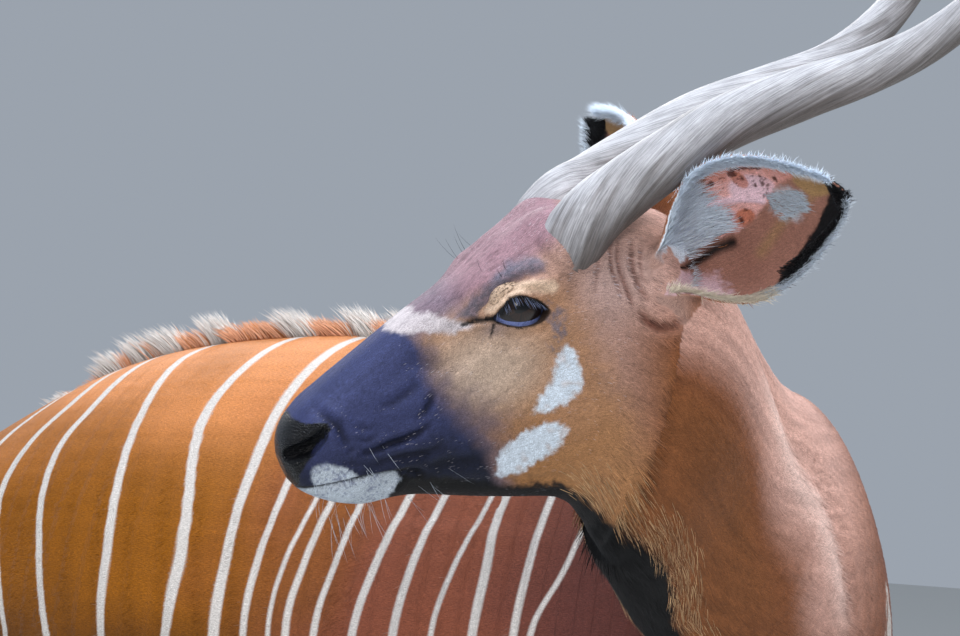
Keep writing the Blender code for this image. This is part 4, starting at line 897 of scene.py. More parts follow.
class Spots:
    """Points of the skin with all that is known of each: where it lies and how its hair does."""

    def __init__(self, p, normal):
        self.p, self.normal = p, unit(normal)
        nearest = PLACES[[PLACE_TREE.find(q)[1] for q in p]]
        off = p - nearest[:, AT]
        ahead, across = ((off * nearest[:, way]).sum(1) for way in (ALONG_WAY, AROUND_WAY))
        self.region = nearest[:, REGION].astype(int)
        self.along, self.around = nearest[:, ALONG] + ahead, nearest[:, AROUND] + across
        self.hair = nearest[:, HAIR]
        number = nearest[:, NUMBER] + ahead * nearest[:, NUMBER_RATE]
        share = nearest[:, SHARE] + across * nearest[:, SHARE_RATE]
        ear = self.on(ON_EAR)
        low = np.where(nearest[:, NUMBER] < 0, -1.0, 0.001)
        self.number = np.where(ear, np.clip(number, low, low + 0.999), number)
        self.share = np.where(ear, np.clip(share, -1, 1), share % 1)
        self.h = to_head(p)
        self.q = left_half(self.h)

    def on(self, region):
        """True for the spots of this region."""
        return self.region == region


def paint(red, green, blue):
    """A colour given as on a screen, from 0 to 255, as the light it reflects."""
    c = np.array([red, green, blue]) / 255
    return np.where(c <= 0.04045, c / 12.92, ((c + 0.055) / 1.055) ** 2.4)


CHESTNUT = paint(128, 74, 6)
# Painted shade for the lower flank.
CHESTNUT_PAINTED_SHADE = paint(96, 54, 8)
# The back's lighter chestnut, with painted light from the sky over it.
BACK_CHESTNUT_PAINTED_LIGHT = paint(186, 118, 68)
SHOULDER_BROWN = paint(122, 66, 46)
# Painted shade on the shoulder where the head and neck shadow it.
SHOULDER_PAINTED_SHADE = paint(80, 42, 38)
BELLY_BROWN = paint(62, 36, 26)
NECK_BROWN = paint(124, 74, 46)
# Painted light and shade of the neck: pale for its upper side as if lit by the sky, darker for its side
# turned down, and a highlight for its ridge.
NECK_PAINTED_SKY_LIGHT = paint(214, 172, 160)
NECK_PAINTED_SHADE = paint(112, 68, 34)
RIDGE_PAINTED_HIGHLIGHT = paint(222, 190, 180)
JAW_ORANGE = paint(124, 80, 44)
CHEEK_BROWN = paint(162, 128, 116)
# CHEEK_TAN, FOREHEAD_RED, BROW_GREY and MUZZLE_BLUE carry a cool lilac-blue tint of painted sky sheen over
# their own colours.
CHEEK_TAN = paint(184, 160, 142)
TEMPLE_TAN = paint(162, 136, 130)
FOREHEAD_RED = paint(140, 108, 116)
BROW_GREY = paint(84, 84, 98)
MUZZLE_BLUE = paint(50, 55, 90)
MUZZLE_DARK = paint(17, 21, 38)
MUZZLE_EDGE = paint(92, 80, 90)
NOSE_BLACK = paint(6, 6, 9)
HAIR_BLACK = paint(9, 8, 10)
STRIPE_WHITE = paint(190, 182, 176)
SPOT_WHITE = paint(194, 203, 214)
CHEVRON_WHITE = paint(176, 166, 168)
EAR_PINK = paint(214, 160, 154)
EAR_LILAC = paint(216, 182, 192)
EAR_BROWN = paint(146, 102, 88)
EAR_BACK = paint(150, 92, 56)
LEG_BROWN = paint(126, 68, 40)
MOUTH_BLACK = paint(12, 10, 11)
EAR_STAIN = paint(176, 96, 62)
EAR_SPECK = paint(66, 28, 20)
# Painted reflection of the sky on the wet rim of the lower lid.
EYE_RIM_PAINTED_SKY = paint(100, 110, 156)
EAR_GOLD = paint(176, 140, 92)
FRINGE_TAN = paint(204, 168, 126)
HORN_GREY = paint(166, 164, 168)
# Used for the horn's own brown blotches and darker root, and as painted shade on its underside.
HORN_BROWN_AND_SHADE = paint(78, 68, 64)
HORN_TIP = paint(210, 196, 172)
# Painted shade for the folds of the temple.
FOLD_PAINTED_SHADE = paint(104, 58, 46)
CHEEK_OCHRE = paint(150, 106, 66)
FOREHEAD_DARK = paint(84, 56, 64)
LID_PALE = paint(206, 178, 154)
CREST_TAN = paint(204, 146, 112)
# Stripes, rump to shoulder: X at each of the heights, and the width. They end near STRIPE_END_Z.
STRIPE_HEIGHTS = (0.92, 0.97, 1.02, 1.07, 1.12, 1.16, 1.21)
STRIPES = [
    ((-0.590, -0.598, -0.604, -0.604, -0.590, -0.580, -0.575), 0.0085),
    ((-0.515, -0.525, -0.533, -0.535, -0.520, -0.505, -0.500), 0.0100),
    ((-0.430, -0.444, -0.456, -0.462, -0.445, -0.425, -0.410), 0.0110),
    ((-0.345, -0.362, -0.378, -0.388, -0.372, -0.345, -0.330), 0.0115),
    ((-0.262, -0.283, -0.302, -0.316, -0.307, -0.285, -0.285), 0.0120),
    ((-0.183, -0.201, -0.220, -0.239, -0.246, -0.235, -0.240), 0.0130),
    ((-0.098, -0.104, -0.108, -0.119, -0.133, -0.146, -0.168), 0.0140),
    ((-0.011, -0.006, -0.004, -0.014, -0.034, -0.048, -0.047), 0.0150),
    ((0.055, 0.055, 0.056, 0.055, 0.054, 0.048, 0.046), 0.0150),
    ((0.092, 0.092, 0.096, 0.103, 0.107, 0.110, 0.112), 0.0100),
    ((0.121, 0.121, 0.129, 0.142, 0.150, 0.155, 0.158), 0.0065),
    ((0.141, 0.141, 0.150, 0.160, 0.170, 0.175, 0.180), 0.0095),
    ((0.170, 0.173, 0.185, 0.195, 0.204, 0.210, 0.215), 0.0100),
    ((0.215, 0.221, 0.233, 0.245, 0.254, 0.258, 0.262), 0.0110),
    ((0.262, 0.265, 0.273, 0.283, 0.292, 0.297, 0.300), 0.0100),
    ((0.304, 0.307, 0.319, 0.334, 0.342, 0.345, 0.346), 0.0065),
    ((0.348, 0.351, 0.354, 0.352, 0.358, 0.365, 0.370), 0.0105),
    ((0.393, 0.395, 0.399, 0.402, 0.406, 0.410, 0.412), 0.0090),
    ((0.410, 0.415, 0.438, 0.450, 0.455, 0.458, 0.460), 0.0070),
]
STRIPE_END_Z, STRIPE_PITCH, STRIPE_LEFT_SHIFT, STRIPES_APART = 0.74, 0.022, 0.003, 0.013
# The way from the chest up the root of the neck.
NECK_WAY = np.array([0.80, -0.50, 0.33])
# How strongly strands of hair show in each region.
HAIR_CONTRAST = np.array([0.05, 0.16, 0.08, 0.08, 0.05, 0.08])

# Markings of the face, as (x, z) in the head's frame: closed outlines, and lines with their half widths
# at the start, the middle and the end.
WHITE_SHAPES = [
    [(-0.0259, -0.0442), (-0.0307, -0.0547), (-0.0316, -0.0743), (-0.0248, -0.0870), (-0.0089, -0.0944),
     (0.0069, -0.0973), (0.0177, -0.0952), (0.0129, -0.0841), (0.0010, -0.0738), (-0.0116, -0.0594)],
    [(0.0649, -0.1438), (0.0600, -0.1294), (0.0485, -0.1181), (0.0333, -0.1106), (0.0167, -0.1078),
     (0.0033, -0.1097), (-0.0011, -0.1195), (0.0069, -0.1310), (0.0203, -0.1409), (0.0389, -0.1467),
     (0.0553, -0.1489)],
]
CHEVRON = [
    (0.1120, 0.0130), (0.0907, 0.0215), (0.0693, 0.0150), (0.0533, 0.0047), (0.0389, -0.0050),
    (0.0577, -0.0049), (0.0799, 0.0015), (0.0984, 0.0062),
]
BROW = [
    (0.0521, 0.0063), (0.0369, 0.0149), (0.0151, 0.0277), (-0.0052, 0.0364), (-0.0227, 0.0351),
    (-0.0354, 0.0275), (-0.0315, 0.0201), (-0.0186, 0.0237), (-0.0012, 0.0223), (0.0173, 0.0161),
    (0.0387, 0.0026),
]
LIP_WHITE = [
    (0.2149, -0.0801), (0.2140, -0.0744), (0.2068, -0.0712), (0.1934, -0.0763), (0.1800, -0.0870),
    (0.1770, -0.0980), (0.2140, -0.0980),
]
CHIN_WHITE = [
    (0.2275, -0.0840), (0.1500, -0.0960), (0.1435, -0.1080), (0.1425, -0.1160), (0.1549, -0.1259),
    (0.1620, -0.1360), (0.2000, -0.1320), (0.2260, -0.1100),
]
LID_TAN = (
    [(0.0260, 0.0050), (0.0080, 0.0150), (-0.0100, 0.0155), (-0.0300, 0.0060)],
    (0.0030, 0.0050, 0.0060),
)
EYE_CORNER_LINE = ([(0.050, -0.0005), (0.040, 0.0004), (0.0250, -0.0024)], (0.0012, 0.0026, 0.0026))
TEAR_LINE = ([(0.0262, -0.0070), (0.0300, -0.0130), (0.0335, -0.0173)], (0.0012, 0.0010, 0.0006))
EYE_BACK_BAND = (
    [(-0.0230, -0.0060), (-0.0268, -0.0185), (-0.0263, -0.0327), (-0.0155, -0.0440)],
    (0.0030, 0.0062, 0.0030),
)
# The rear edge of the dark muzzle: height, x, and how softly it ends there.
MUZZLE_EDGE_LINE = [
    (-0.150, 0.064, 0.006), (-0.132, 0.064, 0.007), (-0.114, 0.062, 0.012), (-0.090, 0.070, 0.016),
    (-0.067, 0.080, 0.015), (-0.046, 0.088, 0.012), (-0.030, 0.090, 0.009), (-0.012, 0.088, 0.006),
    (0.010, 0.094, 0.004),
]
# The lower edge of the jaw's sides, below which it is black: x and height.
JAW_BLACK_LINE = [
    (-0.0400, -0.3000), (-0.0069, -0.2268), (0.0005, -0.1994), (0.0033, -0.1842), (0.0133, -0.1724),
    (0.0292, -0.1666), (0.0707, -0.1518), (0.1097, -0.1241), (0.1430, -0.1080),
]
CHIN_BACK_X, MOUTH_CORNER_X = 0.146, 0.133
# The mouth's line: x and height.
MOUTH_HEIGHTS = (
    [0.110, 0.136, 0.158, 0.194, 0.219, 0.240],
    [-0.108, -0.1050, -0.0988, -0.0930, -0.0900, -0.0855],
)
# The rear edge of the nose's bare wet skin: height and x.
PAD_EDGE = [
    (-0.1050, 0.2345), (-0.0900, 0.2300), (-0.0859, 0.2272), (-0.0755, 0.2235), (-0.0662, 0.2156),
    (-0.0610, 0.2085), (-0.0516, 0.1935), (-0.0430, 0.1850), (-0.0374, 0.1880), (-0.0345, 0.2000),
    (-0.0304, 0.2088), (-0.0200, 0.2150), (0.0000, 0.2220),
]
# The inside of the ear, as (share along, edge): outlines of the pink skin and of the black margin, lines,
# and specks with their sizes.
PINK = [
    (0.345, 0.55), (0.42, 0.76), (0.50, 0.86), (0.64, 0.90), (0.74, 0.78), (0.76, 0.58), (0.70, 0.42),
    (0.63, 0.30), (0.575, 0.12), (0.49, 0.00), (0.385, -0.07), (0.285, -0.03), (0.295, 0.21), (0.32, 0.41),
]
BLACK_MARGIN = [
    (0.40, -1.20), (0.42, -0.96), (0.52, -0.80), (0.64, -0.66), (0.76, -0.50), (0.85, -0.20), (0.89, 0.20),
    (0.93, 0.70), (1.05, 0.90), (1.05, -1.20),
]
EAR_RIDGE_LINE = [(0.315, 0.36), (0.40, 0.31), (0.49, 0.24), (0.555, 0.15)]
EAR_GOLD_LINE = [(0.45, -0.40), (0.62, -0.16), (0.78, 0.02), (0.86, 0.30)]
EAR_SLIT = [(0.05, -0.20), (0.14, -0.16), (0.24, -0.13), (0.34, -0.15)]
EAR_SPECKS = [
    ((0.335, 0.15), (0.020, 0.07)), ((0.54, 0.70), (0.05, 0.035)), ((0.60, 0.68), (0.04, 0.03)),
    ((0.50, 0.62), (0.02, 0.05)), ((0.40, 0.60), (0.015, 0.04)), ((0.52, 0.50), (0.012, 0.05)),
    ((0.60, 0.50), (0.010, 0.04)), ((0.42, 0.02), (0.010, 0.05)), ((0.46, 0.10), (0.012, 0.05)),
    ((0.39, 0.10), (0.008, 0.03)), ((0.56, 0.38), (0.010, 0.03)), ((0.66, 0.46), (0.010, 0.05)),
]


def over(base, *layers):
    """Colours base with the layers over them, each a colour and the share that it covers."""
    for colour, share in zip(layers[::2], layers[1::2]):
        base = base + (np.asarray(colour) - base) * np.clip(share, 0, 1)[..., None]
    return base


def on_line(flat, marking, soft, jitter=0.0):
    """1 on a marking of the face and 0 off it, over an edge of the width soft."""
    line, widths = marking
    far, share = line_distance(flat, line)
    half = np.interp(share, [0, 0.5, 1], widths) + jitter
    return 1 - smoothstep(-soft / 2, soft / 2, far - half)


def in_shape(flat, outline, soft, jitter=0.0):
    """1 inside a closed outline and 0 outside, over an edge of the width soft."""
    line = np.array([*outline, outline[0]])
    far, _ = line_distance(flat, line)
    inside = np.zeros(len(flat), bool)
    for (ax, az), (bx, bz) in zip(line[:-1], line[1:]):
        crosses = (az > flat[:, 1]) != (bz > flat[:, 1])
        inside ^= crosses & (flat[:, 0] < ax + (bx - ax) * (flat[:, 1] - az) / (bz - az + 1e-12))
    return smoothstep(-soft / 2, soft / 2, np.where(inside, far, -far) + jitter)


def stripe_lines(s, coarse):
    """X of each stripe's middle at each spot's height, and its half width there, below 0 past its end."""
    y, z = s.p[:, 1], s.p[:, 2]
    row = np.interp(z, STRIPE_HEIGHTS, np.arange(len(STRIPE_HEIGHTS)))
    below = np.clip(STRIPE_HEIGHTS[0] - z, 0, 1)
    left_side = np.where(y > 0, smoothstep(1.20, 1.08, z), 0.0)
    middles, halves = [], []
    for i, (places, width) in enumerate(STRIPES):
        at = smooth_through(np.array(places)[:, None], row)[:, 0]
        slope = (places[1] - places[0]) / (STRIPE_HEIGHTS[1] - STRIPE_HEIGHTS[0])
        shift = STRIPE_LEFT_SHIFT if i % 2 else -STRIPE_LEFT_SHIFT
        middles.append(at - 0.3 * slope * below + left_side * shift)
        end = STRIPE_END_Z + 0.04 * math.sin(5.0 * i)
        seen = smoothstep(end - 0.03, end + 0.03, z)
        narrowed = 0.55 + 0.45 * smoothstep(end - 0.03, end + 0.12, z)
        halves.append(0.42 * width * (1 + 0.14 * coarse) * narrowed * seen - 0.004 * (1 - seen))
    apart = STRIPES_APART * np.arange(len(STRIPES))[:, None]
    return np.maximum.accumulate(np.array(middles) - apart) + apart, np.array(halves)


def stripe_place(s, coarse):
    """Where each spot lies among the stripes, and the half width of its nearest one.

    The place grows by STRIPE_PITCH from one stripe's middle to the next, and metre for metre close to each.
    """
    middles, halves = stripe_lines(s, coarse)
    gaps = np.diff(middles, axis=0)
    end_gap = np.full_like(gaps[:1], 0.2)
    off = s.p[:, 0] - middles
    gap = np.where(off > 0, np.concatenate([gaps, end_gap]), np.concatenate([end_gap, gaps]))
    straight = np.minimum(0.45 * gap, 0.45 * STRIPE_PITCH)
    rest = (STRIPE_PITCH / 2 - straight) / (gap / 2 - straight)
    far = np.abs(off)
    carried = np.minimum(far, straight) + np.clip(far - straight, 0, gap / 2 - straight) * rest
    nearest, spot = far.argmin(0), np.arange(len(s.p))
    sign = np.sign(off[nearest, spot])
    return nearest * STRIPE_PITCH + sign * carried[nearest, spot], halves[nearest, spot]


def striped_parts(s):
    """The spots where stripes may run."""
    return s.on(ON_TRUNK) | (s.on(ON_LEG) & (s.p[:, 2] > 0.70)) | (s.on(ON_NECK) & (s.number < 2.0))


def stripe_share(s, jitter, coarse):
    """1 on the white stripes of the flanks and 0 between them."""
    place, half = stripe_place(s, coarse)
    off = np.abs((place / STRIPE_PITCH + 0.5) % 1 - 0.5) * STRIPE_PITCH
    return 1 - smoothstep(-0.0019, 0.0019, off + jitter - half)


# The ridge on the neck's flank: how far round it lies at each station; and the half width of the black
# of the throat, as shares of the turn.
NECK_RIDGE = ([3.4, 3.84, 4.4, 5.3, 6.05, 7.1], [0.314, 0.258, 0.206, 0.174, 0.136, 0.130])
THROAT_HALF = (
    [2.6, 4.5, 5.0, 5.4, 5.8, 6.2, 6.7, 7.8, 8.8, 11.0, 12.5, 14.0],
    [0.080, 0.066, 0.064, 0.069, 0.087, 0.102, 0.109, 0.107, 0.101, 0.086, 0.076, 0.055],
)


def neck_ridge(s):
    """How far each spot lies round the neck, and where the ridge with its painted highlight is at its
    station.
    """
    turned = np.minimum(s.share, 1 - s.share)
    return turned, np.interp(s.number, *NECK_RIDGE)


def coat_colour(s, with_stripes=True):
    """The colour of skin and coat at the spots s."""
    p, q = s.p, s.q
    coarse, fine, grain = noise(p, 0.09, 1), noise(p, 0.007, 2), noise(p, 0.0022, 3)
    x, _, z = p.T
    neck, head, ear = s.on(ON_NECK), s.on(ON_HEAD), s.on(ON_EAR)
    both = neck | head
    station = np.where(both, s.number, 0)
    turned, ridge_at = neck_ridge(s)
    past_ridge = turned - ridge_at
    rough_ridge = past_ridge + 0.02 * coarse
    ridge = np.exp(-((past_ridge / 0.020) ** 2)) * smoothstep(3.2, 3.8, station)
    colour = over(
        CHESTNUT,
        # Painted shade darkens the low flank, and painted sky light makes the back paler.
        CHESTNUT_PAINTED_SHADE, smoothstep(1.02, 0.86, z + 0.06 * coarse),
        BACK_CHESTNUT_PAINTED_LIGHT, smoothstep(1.05, 1.23, z + 0.04 * coarse),
        SHOULDER_BROWN, smoothstep(0.02, 0.22, x + 0.08 * coarse) * smoothstep(1.26, 1.14, z),
        # Painted shade on the shoulder towards the neck.
        SHOULDER_PAINTED_SHADE, 0.9 * (smoothstep(0.34, 0.50, x + 0.05 * coarse) * smoothstep(0.60, 0.76, z)),
        BELLY_BROWN, smoothstep(0.74, 0.62, z + 0.03 * coarse),
        NECK_BROWN, smoothstep(0.82, 0.96, p @ NECK_WAY + 0.02 * coarse),
        # Painted light on the neck's upper side, painted shade below its ridge, and a painted highlight
        # along the ridge.
        NECK_PAINTED_SKY_LIGHT, 0.75 * smoothstep(0.10, 0.02, rough_ridge) * smoothstep(2.6, 4.2, station) * both,
        NECK_PAINTED_SHADE, 0.60 * smoothstep(0.07, 0.13, rough_ridge) * smoothstep(3.6, 5.0, station) * both,
        RIDGE_PAINTED_HIGHLIGHT, 0.8 * ridge * smoothstep(6.6, 5.6, station) * neck,
    )
    colour = leg_colour(s, colour, coarse)
    if with_stripes:
        jitter = 0.0010 * fine + 0.0008 * grain
        colour = over(colour, STRIPE_WHITE, stripe_share(s, jitter, coarse) * striped_parts(s))
    from_throat = np.abs(s.share - 0.5)
    width = 0.22 * np.sqrt(np.clip(1 - (from_throat / 0.25) ** 2, 0, 1))
    crescent = smoothstep(0.05, -0.05, np.abs(station - 2.15 - 7 * from_throat**2) - width + 0.06 * fine)
    colour = over(
        colour,
        STRIPE_WHITE, crescent * (from_throat < 0.25) * neck,
        HAIR_BLACK, s.on(ON_TAIL) * smoothstep(0.72, 0.62, z),
    )
    colour[ear] = CHEEK_BROWN
    on = head | ear
    colour[on] = head_colour(q[on], colour[on], fine[on], grain[on], coarse[on])
    half = np.interp(station, *THROAT_HALF)
    ragged = from_throat + 0.010 * fine + 0.010 * coarse
    band = smoothstep(half + 0.010, half - 0.012, ragged) * smoothstep(2.6, 3.4, station)
    colour = over(colour, HAIR_BLACK, band * smoothstep(15.0, 13.0, station) * both)
    at_root = smoothstep(0.22, 0.04, s.number[ear]) * (s.number[ear] >= 0)
    on_ear = ear_colour(s.number[ear], s.share[ear], fine[ear], grain[ear])
    colour[ear] = over(on_ear, colour[ear], at_root)
    strands = noise(np.column_stack([0.09 * s.along, s.around, 0 * x]), 0.0032, 5)
    clumps = noise(np.column_stack([0.14 * s.along, s.around, 0 * x]), 0.009, 6)
    hairy = HAIR_CONTRAST[s.region] * (strands + 0.7 * clumps)
    shade = 1 + 0.07 * coarse + 0.04 * fine + (0.04 + 0.08 * head) * grain + hairy
    return np.clip(colour * shade[:, None], 0.0015, 0.95)


def leg_colour(s, colour, coarse):
    """Dark fronts, white patches and pale bands, from the species."""
    z, leg = s.p[:, 2], s.on(ON_LEG)
    front = np.cos(2 * math.pi * s.share)
    dark = smoothstep(-0.25, 0.45, front + 0.3 * coarse) * smoothstep(0.72, 0.50, z)
    patch = np.exp(-((((z - 0.56) / 0.075) ** 2 + (np.abs(s.share - 0.75) / 0.13) ** 2) ** 2))
    low = np.exp(-((((z - 0.105) / 0.018) ** 2 + ((1 - np.abs(front)) / 0.35) ** 2) ** 2))
    return over(
        colour,
        LEG_BROWN, leg * smoothstep(0.68, 0.52, z),
        HAIR_BLACK, leg * dark,
        HAIR_BLACK, leg * smoothstep(0.20, 0.12, z + 0.02 * coarse),
        STRIPE_WHITE, leg * (patch > 0.5 + 0.1 * coarse) * (s.share > 0.5),
        STRIPE_WHITE, leg * smoothstep(0.4, 0.6, low) * (front > 0),
    )


def before_neck(q):
    """How far points q of the head's frame lie in front of the plane where the head grows from the neck."""
    return 0.851 * q[:, 0] + 0.526 * q[:, 2] + 0.131


def cheek_colour(q, below, fine, coarse):
    """Jaw, cheek, temple and crown at points q of the head's frame, over the colours below."""
    x, z = q[:, 0], q[:, 2]
    wide = 0.006 * coarse + 0.003 * fine
    ahead = before_neck(q)
    past_root = smoothstep(-0.01, 0.05, ahead)
    above_jaw = z - np.interp(x, *zip(*JAW_BLACK_LINE)) + wide
    streaks = smoothstep(0.0, 0.6, noise(q * [0.14, 1, 1], 0.0034, 71) + 0.4 * fine)
    crown = over(FOREHEAD_RED, FOREHEAD_DARK, 0.50 * streaks * smoothstep(-0.06, 0.02, x))
    top = smoothstep(0.006, 0.026, z + 0.30 * (x - 0.03) + wide)
    dusk = smoothstep(0.022, 0.060, x) * smoothstep(-0.002, 0.014, z + 0.28 * (x - 0.06))
    low = smoothstep(-0.05, -0.10, z + 0.2 * (x - 0.05) + wide) * smoothstep(-0.01, 0.03, x)
    temple = np.exp(-(((x + 0.085) / 0.035) ** 2 + ((z + 0.010) / 0.035) ** 2))
    tan = np.exp(-((((x - 0.046) / 0.052) ** 2 + ((z + 0.045) / 0.040) ** 2) ** 1.5))
    return over(
        below,
        CHEEK_BROWN, smoothstep(-0.020, 0.060, ahead + 0.014 * coarse),
        JAW_ORANGE, 0.75 * (smoothstep(-0.09, -0.15, z + wide) * smoothstep(0.09, 0.01, x) * past_root),
        # Darker towards the jaw's lower edge: the jaw's own orange with painted shade below.
        JAW_ORANGE * 0.45, 0.8 * (smoothstep(0.022, 0.004, above_jaw) * past_root),
        JAW_ORANGE, 0.7 * low,
        CHEEK_OCHRE, 0.75 * (smoothstep(-0.075, -0.030, x + 1.5 * wide) * smoothstep(0.03, -0.01, z)),
        TEMPLE_TAN, 0.8 * temple,
        CHEEK_TAN, tan,
        crown, top * smoothstep(-0.16, -0.10, x),
        BROW_GREY, 0.55 * dusk * smoothstep(0.115, 0.09, x),
    )


def head_colour(q, below, fine, grain, coarse):
    """The colour of the head at points q of its frame, mirrored onto the left."""
    flat = q[:, [0, 2]]
    x, z = flat.T
    side = smoothstep(0.010, 0.020, q[:, 1])
    jitter = 0.0012 * fine + 0.0010 * grain
    wide = 0.006 * coarse + 0.003 * fine
    heights, edges, softness = zip(*MUZZLE_EDGE_LINE)
    edge = (x - np.interp(z, heights, edges) + 1.6 * jitter) / np.interp(z, heights, softness)
    blue = over(MUZZLE_BLUE, MUZZLE_DARK, smoothstep(-0.035, -0.100, z + 0.25 * (0.20 - x) + 2 * wide))
    brow = over(BROW_GREY, MUZZLE_EDGE * 1.5, 0.7 * smoothstep(-0.1, 0.4, grain))
    behind_eye = on_line(flat, EYE_BACK_BAND, 0.012, 4 * jitter) * smoothstep(-0.5, 0.5, grain + 0.5 * fine)
    colour = over(
        cheek_colour(q, below, fine, coarse),
        LID_PALE, 0.85 * on_line(flat, LID_TAN, 0.006, jitter) * side,
        MUZZLE_EDGE, smoothstep(-3.2, 0.4, edge + 0.5 * fine) * 0.9,
        blue, smoothstep(-0.6, 1.2, edge),
        CHEVRON_WHITE, in_shape(flat, CHEVRON, 0.005, 1.5 * jitter),
        brow, 0.85 * in_shape(flat, BROW, 0.006, 1.5 * jitter) * side,
        BROW_GREY, 0.75 * behind_eye * side,
        BROW_GREY, 0.5 * np.exp(-(((x - 0.027) / 0.012) ** 2 + ((z + 0.011) / 0.007) ** 2)) * side,
    )
    thinned = 1 - 0.35 * smoothstep(0.25, 0.7, fine)
    for shape in WHITE_SHAPES:
        colour = over(colour, SPOT_WHITE, in_shape(flat, shape, 0.0060, 2.2 * jitter) * side * thinned)
    almond = lid_outline(24)
    rim, _ = line_distance(flat, np.vstack([almond, almond[:1]]))
    black = smoothstep(0.005, -0.005, z - np.interp(x, *zip(*JAW_BLACK_LINE)) + 2 * jitter)
    deep = np.clip(-grooves(q) / 0.003, 0, 1)
    colour = over(
        colour,
        HAIR_BLACK, on_line(flat, EYE_CORNER_LINE, 0.003, 0.4 * jitter) * side,
        HAIR_BLACK, 0.9 * on_line(flat, TEAR_LINE, 0.001) * side,
        HAIR_BLACK, 0.85 * smoothstep(0.0022, 0.0008, rim + 0.3 * jitter) * side,
        HAIR_BLACK, black * (x < CHIN_BACK_X + 0.01),
        # Painted shade in the grooves of the face: reddish-brown in the temple folds.
        FOLD_PAINTED_SHADE, 0.75 * deep * smoothstep(-0.055, -0.075, x) * smoothstep(-0.08, -0.06, z),
    )
    # Painted shade darkens the wrinkles of the muzzle.
    colour = colour * (1 - 0.70 * deep * smoothstep(0.06, 0.09, x))[:, None]
    above_mouth = z - np.interp(x, *MOUTH_HEIGHTS)
    speckled = over(SPOT_WHITE * 0.70, MUZZLE_BLUE, smoothstep(0.20, 0.60, grain + 0.4 * fine) * 0.6)
    chin = in_shape(flat, CHIN_WHITE, 0.003, 1.5 * jitter) * smoothstep(0.001, -0.001, above_mouth)
    lip = in_shape(flat, LIP_WHITE, 0.003, 1.5 * jitter) * smoothstep(-0.001, 0.001, above_mouth)
    return over(
        colour,
        speckled, chin,
        speckled, lip * side,
        MOUTH_BLACK, smoothstep(0.0020, 0.0008, np.abs(above_mouth)) * (x > MOUTH_CORNER_X),
        NOSE_BLACK, nose_pad(q, jitter),
    )


def nose_pad(q, jitter=0.0):
    """1 on the bare wet skin of the nose and round the nostrils, and 0 off it."""
    return smoothstep(-0.0014, 0.0014, q[:, 0] - np.interp(q[:, 2], *zip(*PAD_EDGE)) + jitter)


def ear_colour(number, edge, fine, grain):
    """The colour of the ears: number is the share along, negative inside, and edge runs from -1 to 1."""
    share = np.abs(number)
    back = over(
        EAR_BACK,
        HAIR_BLACK, smoothstep(0.72, 0.92, share + 0.05 * fine),
        HAIR_BLACK, smoothstep(-0.70, -0.90, edge) * smoothstep(0.35, 0.6, share),
    )
    return np.where((number < 0)[:, None], inner_ear(share, edge, fine, grain), back)


def ear_away(share, edge, at, size):
    """How far a place of the ear's inside is from the middle of an oval: 1 is on its edge."""
    return ((share - at[0]) / size[0]) ** 2 + ((edge - at[1]) / size[1]) ** 2


def ear_line(share, edge, line, half, soft):
    """1 on a line over the inside of the ear and 0 off it."""
    far, _ = line_distance(np.stack([share, edge], 1) * EAR_METRES, np.array(line) * EAR_METRES)
    return smoothstep(half + soft, half - soft, far)


def ear_oval(share, edge, at, size):
    """1 inside an oval of the ear's inside, and 0 outside."""
    return smoothstep(1.25, 0.75, ear_away(share, edge, at, size))


def ear_cloud(share, edge, at, size, fine, grain):
    """A soft mottled patch of the ear's inside."""
    return smoothstep(1.30, 0.20, ear_away(share, edge, at, size) + 0.45 * fine + 0.35 * grain)


def ear_relief(share, edge):
    """The height of the ridges and hollows inside the ear."""
    height = 0.0022 * ear_line(share, edge, EAR_RIDGE_LINE, 0.0022, 0.0030)
    height -= 0.0016 * ear_oval(share, edge, (0.385, 0.06), (0.09, 0.15))
    height -= 0.0028 * ear_line(share, edge, EAR_SLIT, 0.0020, 0.0042)
    height += 0.0014 * ear_line(share, edge, [(0.30, -0.40), (0.45, -0.34), (0.60, -0.12)], 0.0030, 0.0050)
    return height - 0.0010 * ear_oval(share, edge, (0.55, 0.55), (0.14, 0.25))


def pink_skin(share, edge, fine, grain):
    """The bare skin inside the ear, with its stains and dark specks."""
    stain = smoothstep(0.50, 0.75, edge + 0.12 * fine + 0.25 * np.abs(share - 0.55))
    stain = np.maximum(stain, smoothstep(0.60, 0.70, share + 0.05 * fine) * 0.8)
    skin = over(
        EAR_PINK,
        EAR_LILAC, ear_oval(share, edge, (0.54, 0.36), (0.10, 0.20)),
        EAR_LILAC, ear_line(share, edge, EAR_RIDGE_LINE, 0.0030, 0.0016),
        EAR_LILAC, 0.7 * ear_oval(share, edge, (0.36, 0.08), (0.06, 0.10)),
        EAR_STAIN, 0.55 * stain,
        EAR_STAIN, 0.8 * ear_oval(share, edge, (0.44, 0.03), (0.05, 0.10)),
        EAR_STAIN, 0.7 * ear_oval(share, edge, (0.51, 0.50), (0.03, 0.14)),
    )
    for at, size in EAR_SPECKS:
        away = ear_away(share, edge, at, size)
        skin = over(skin, EAR_SPECK, 0.9 * smoothstep(1.3, 0.7, away + 0.9 * fine + 0.7 * grain))
    return over(skin, EAR_SPECK, 0.8 * smoothstep(0.55, 0.75, 0.5 * fine + 0.7 * grain + 0.15 * stain))


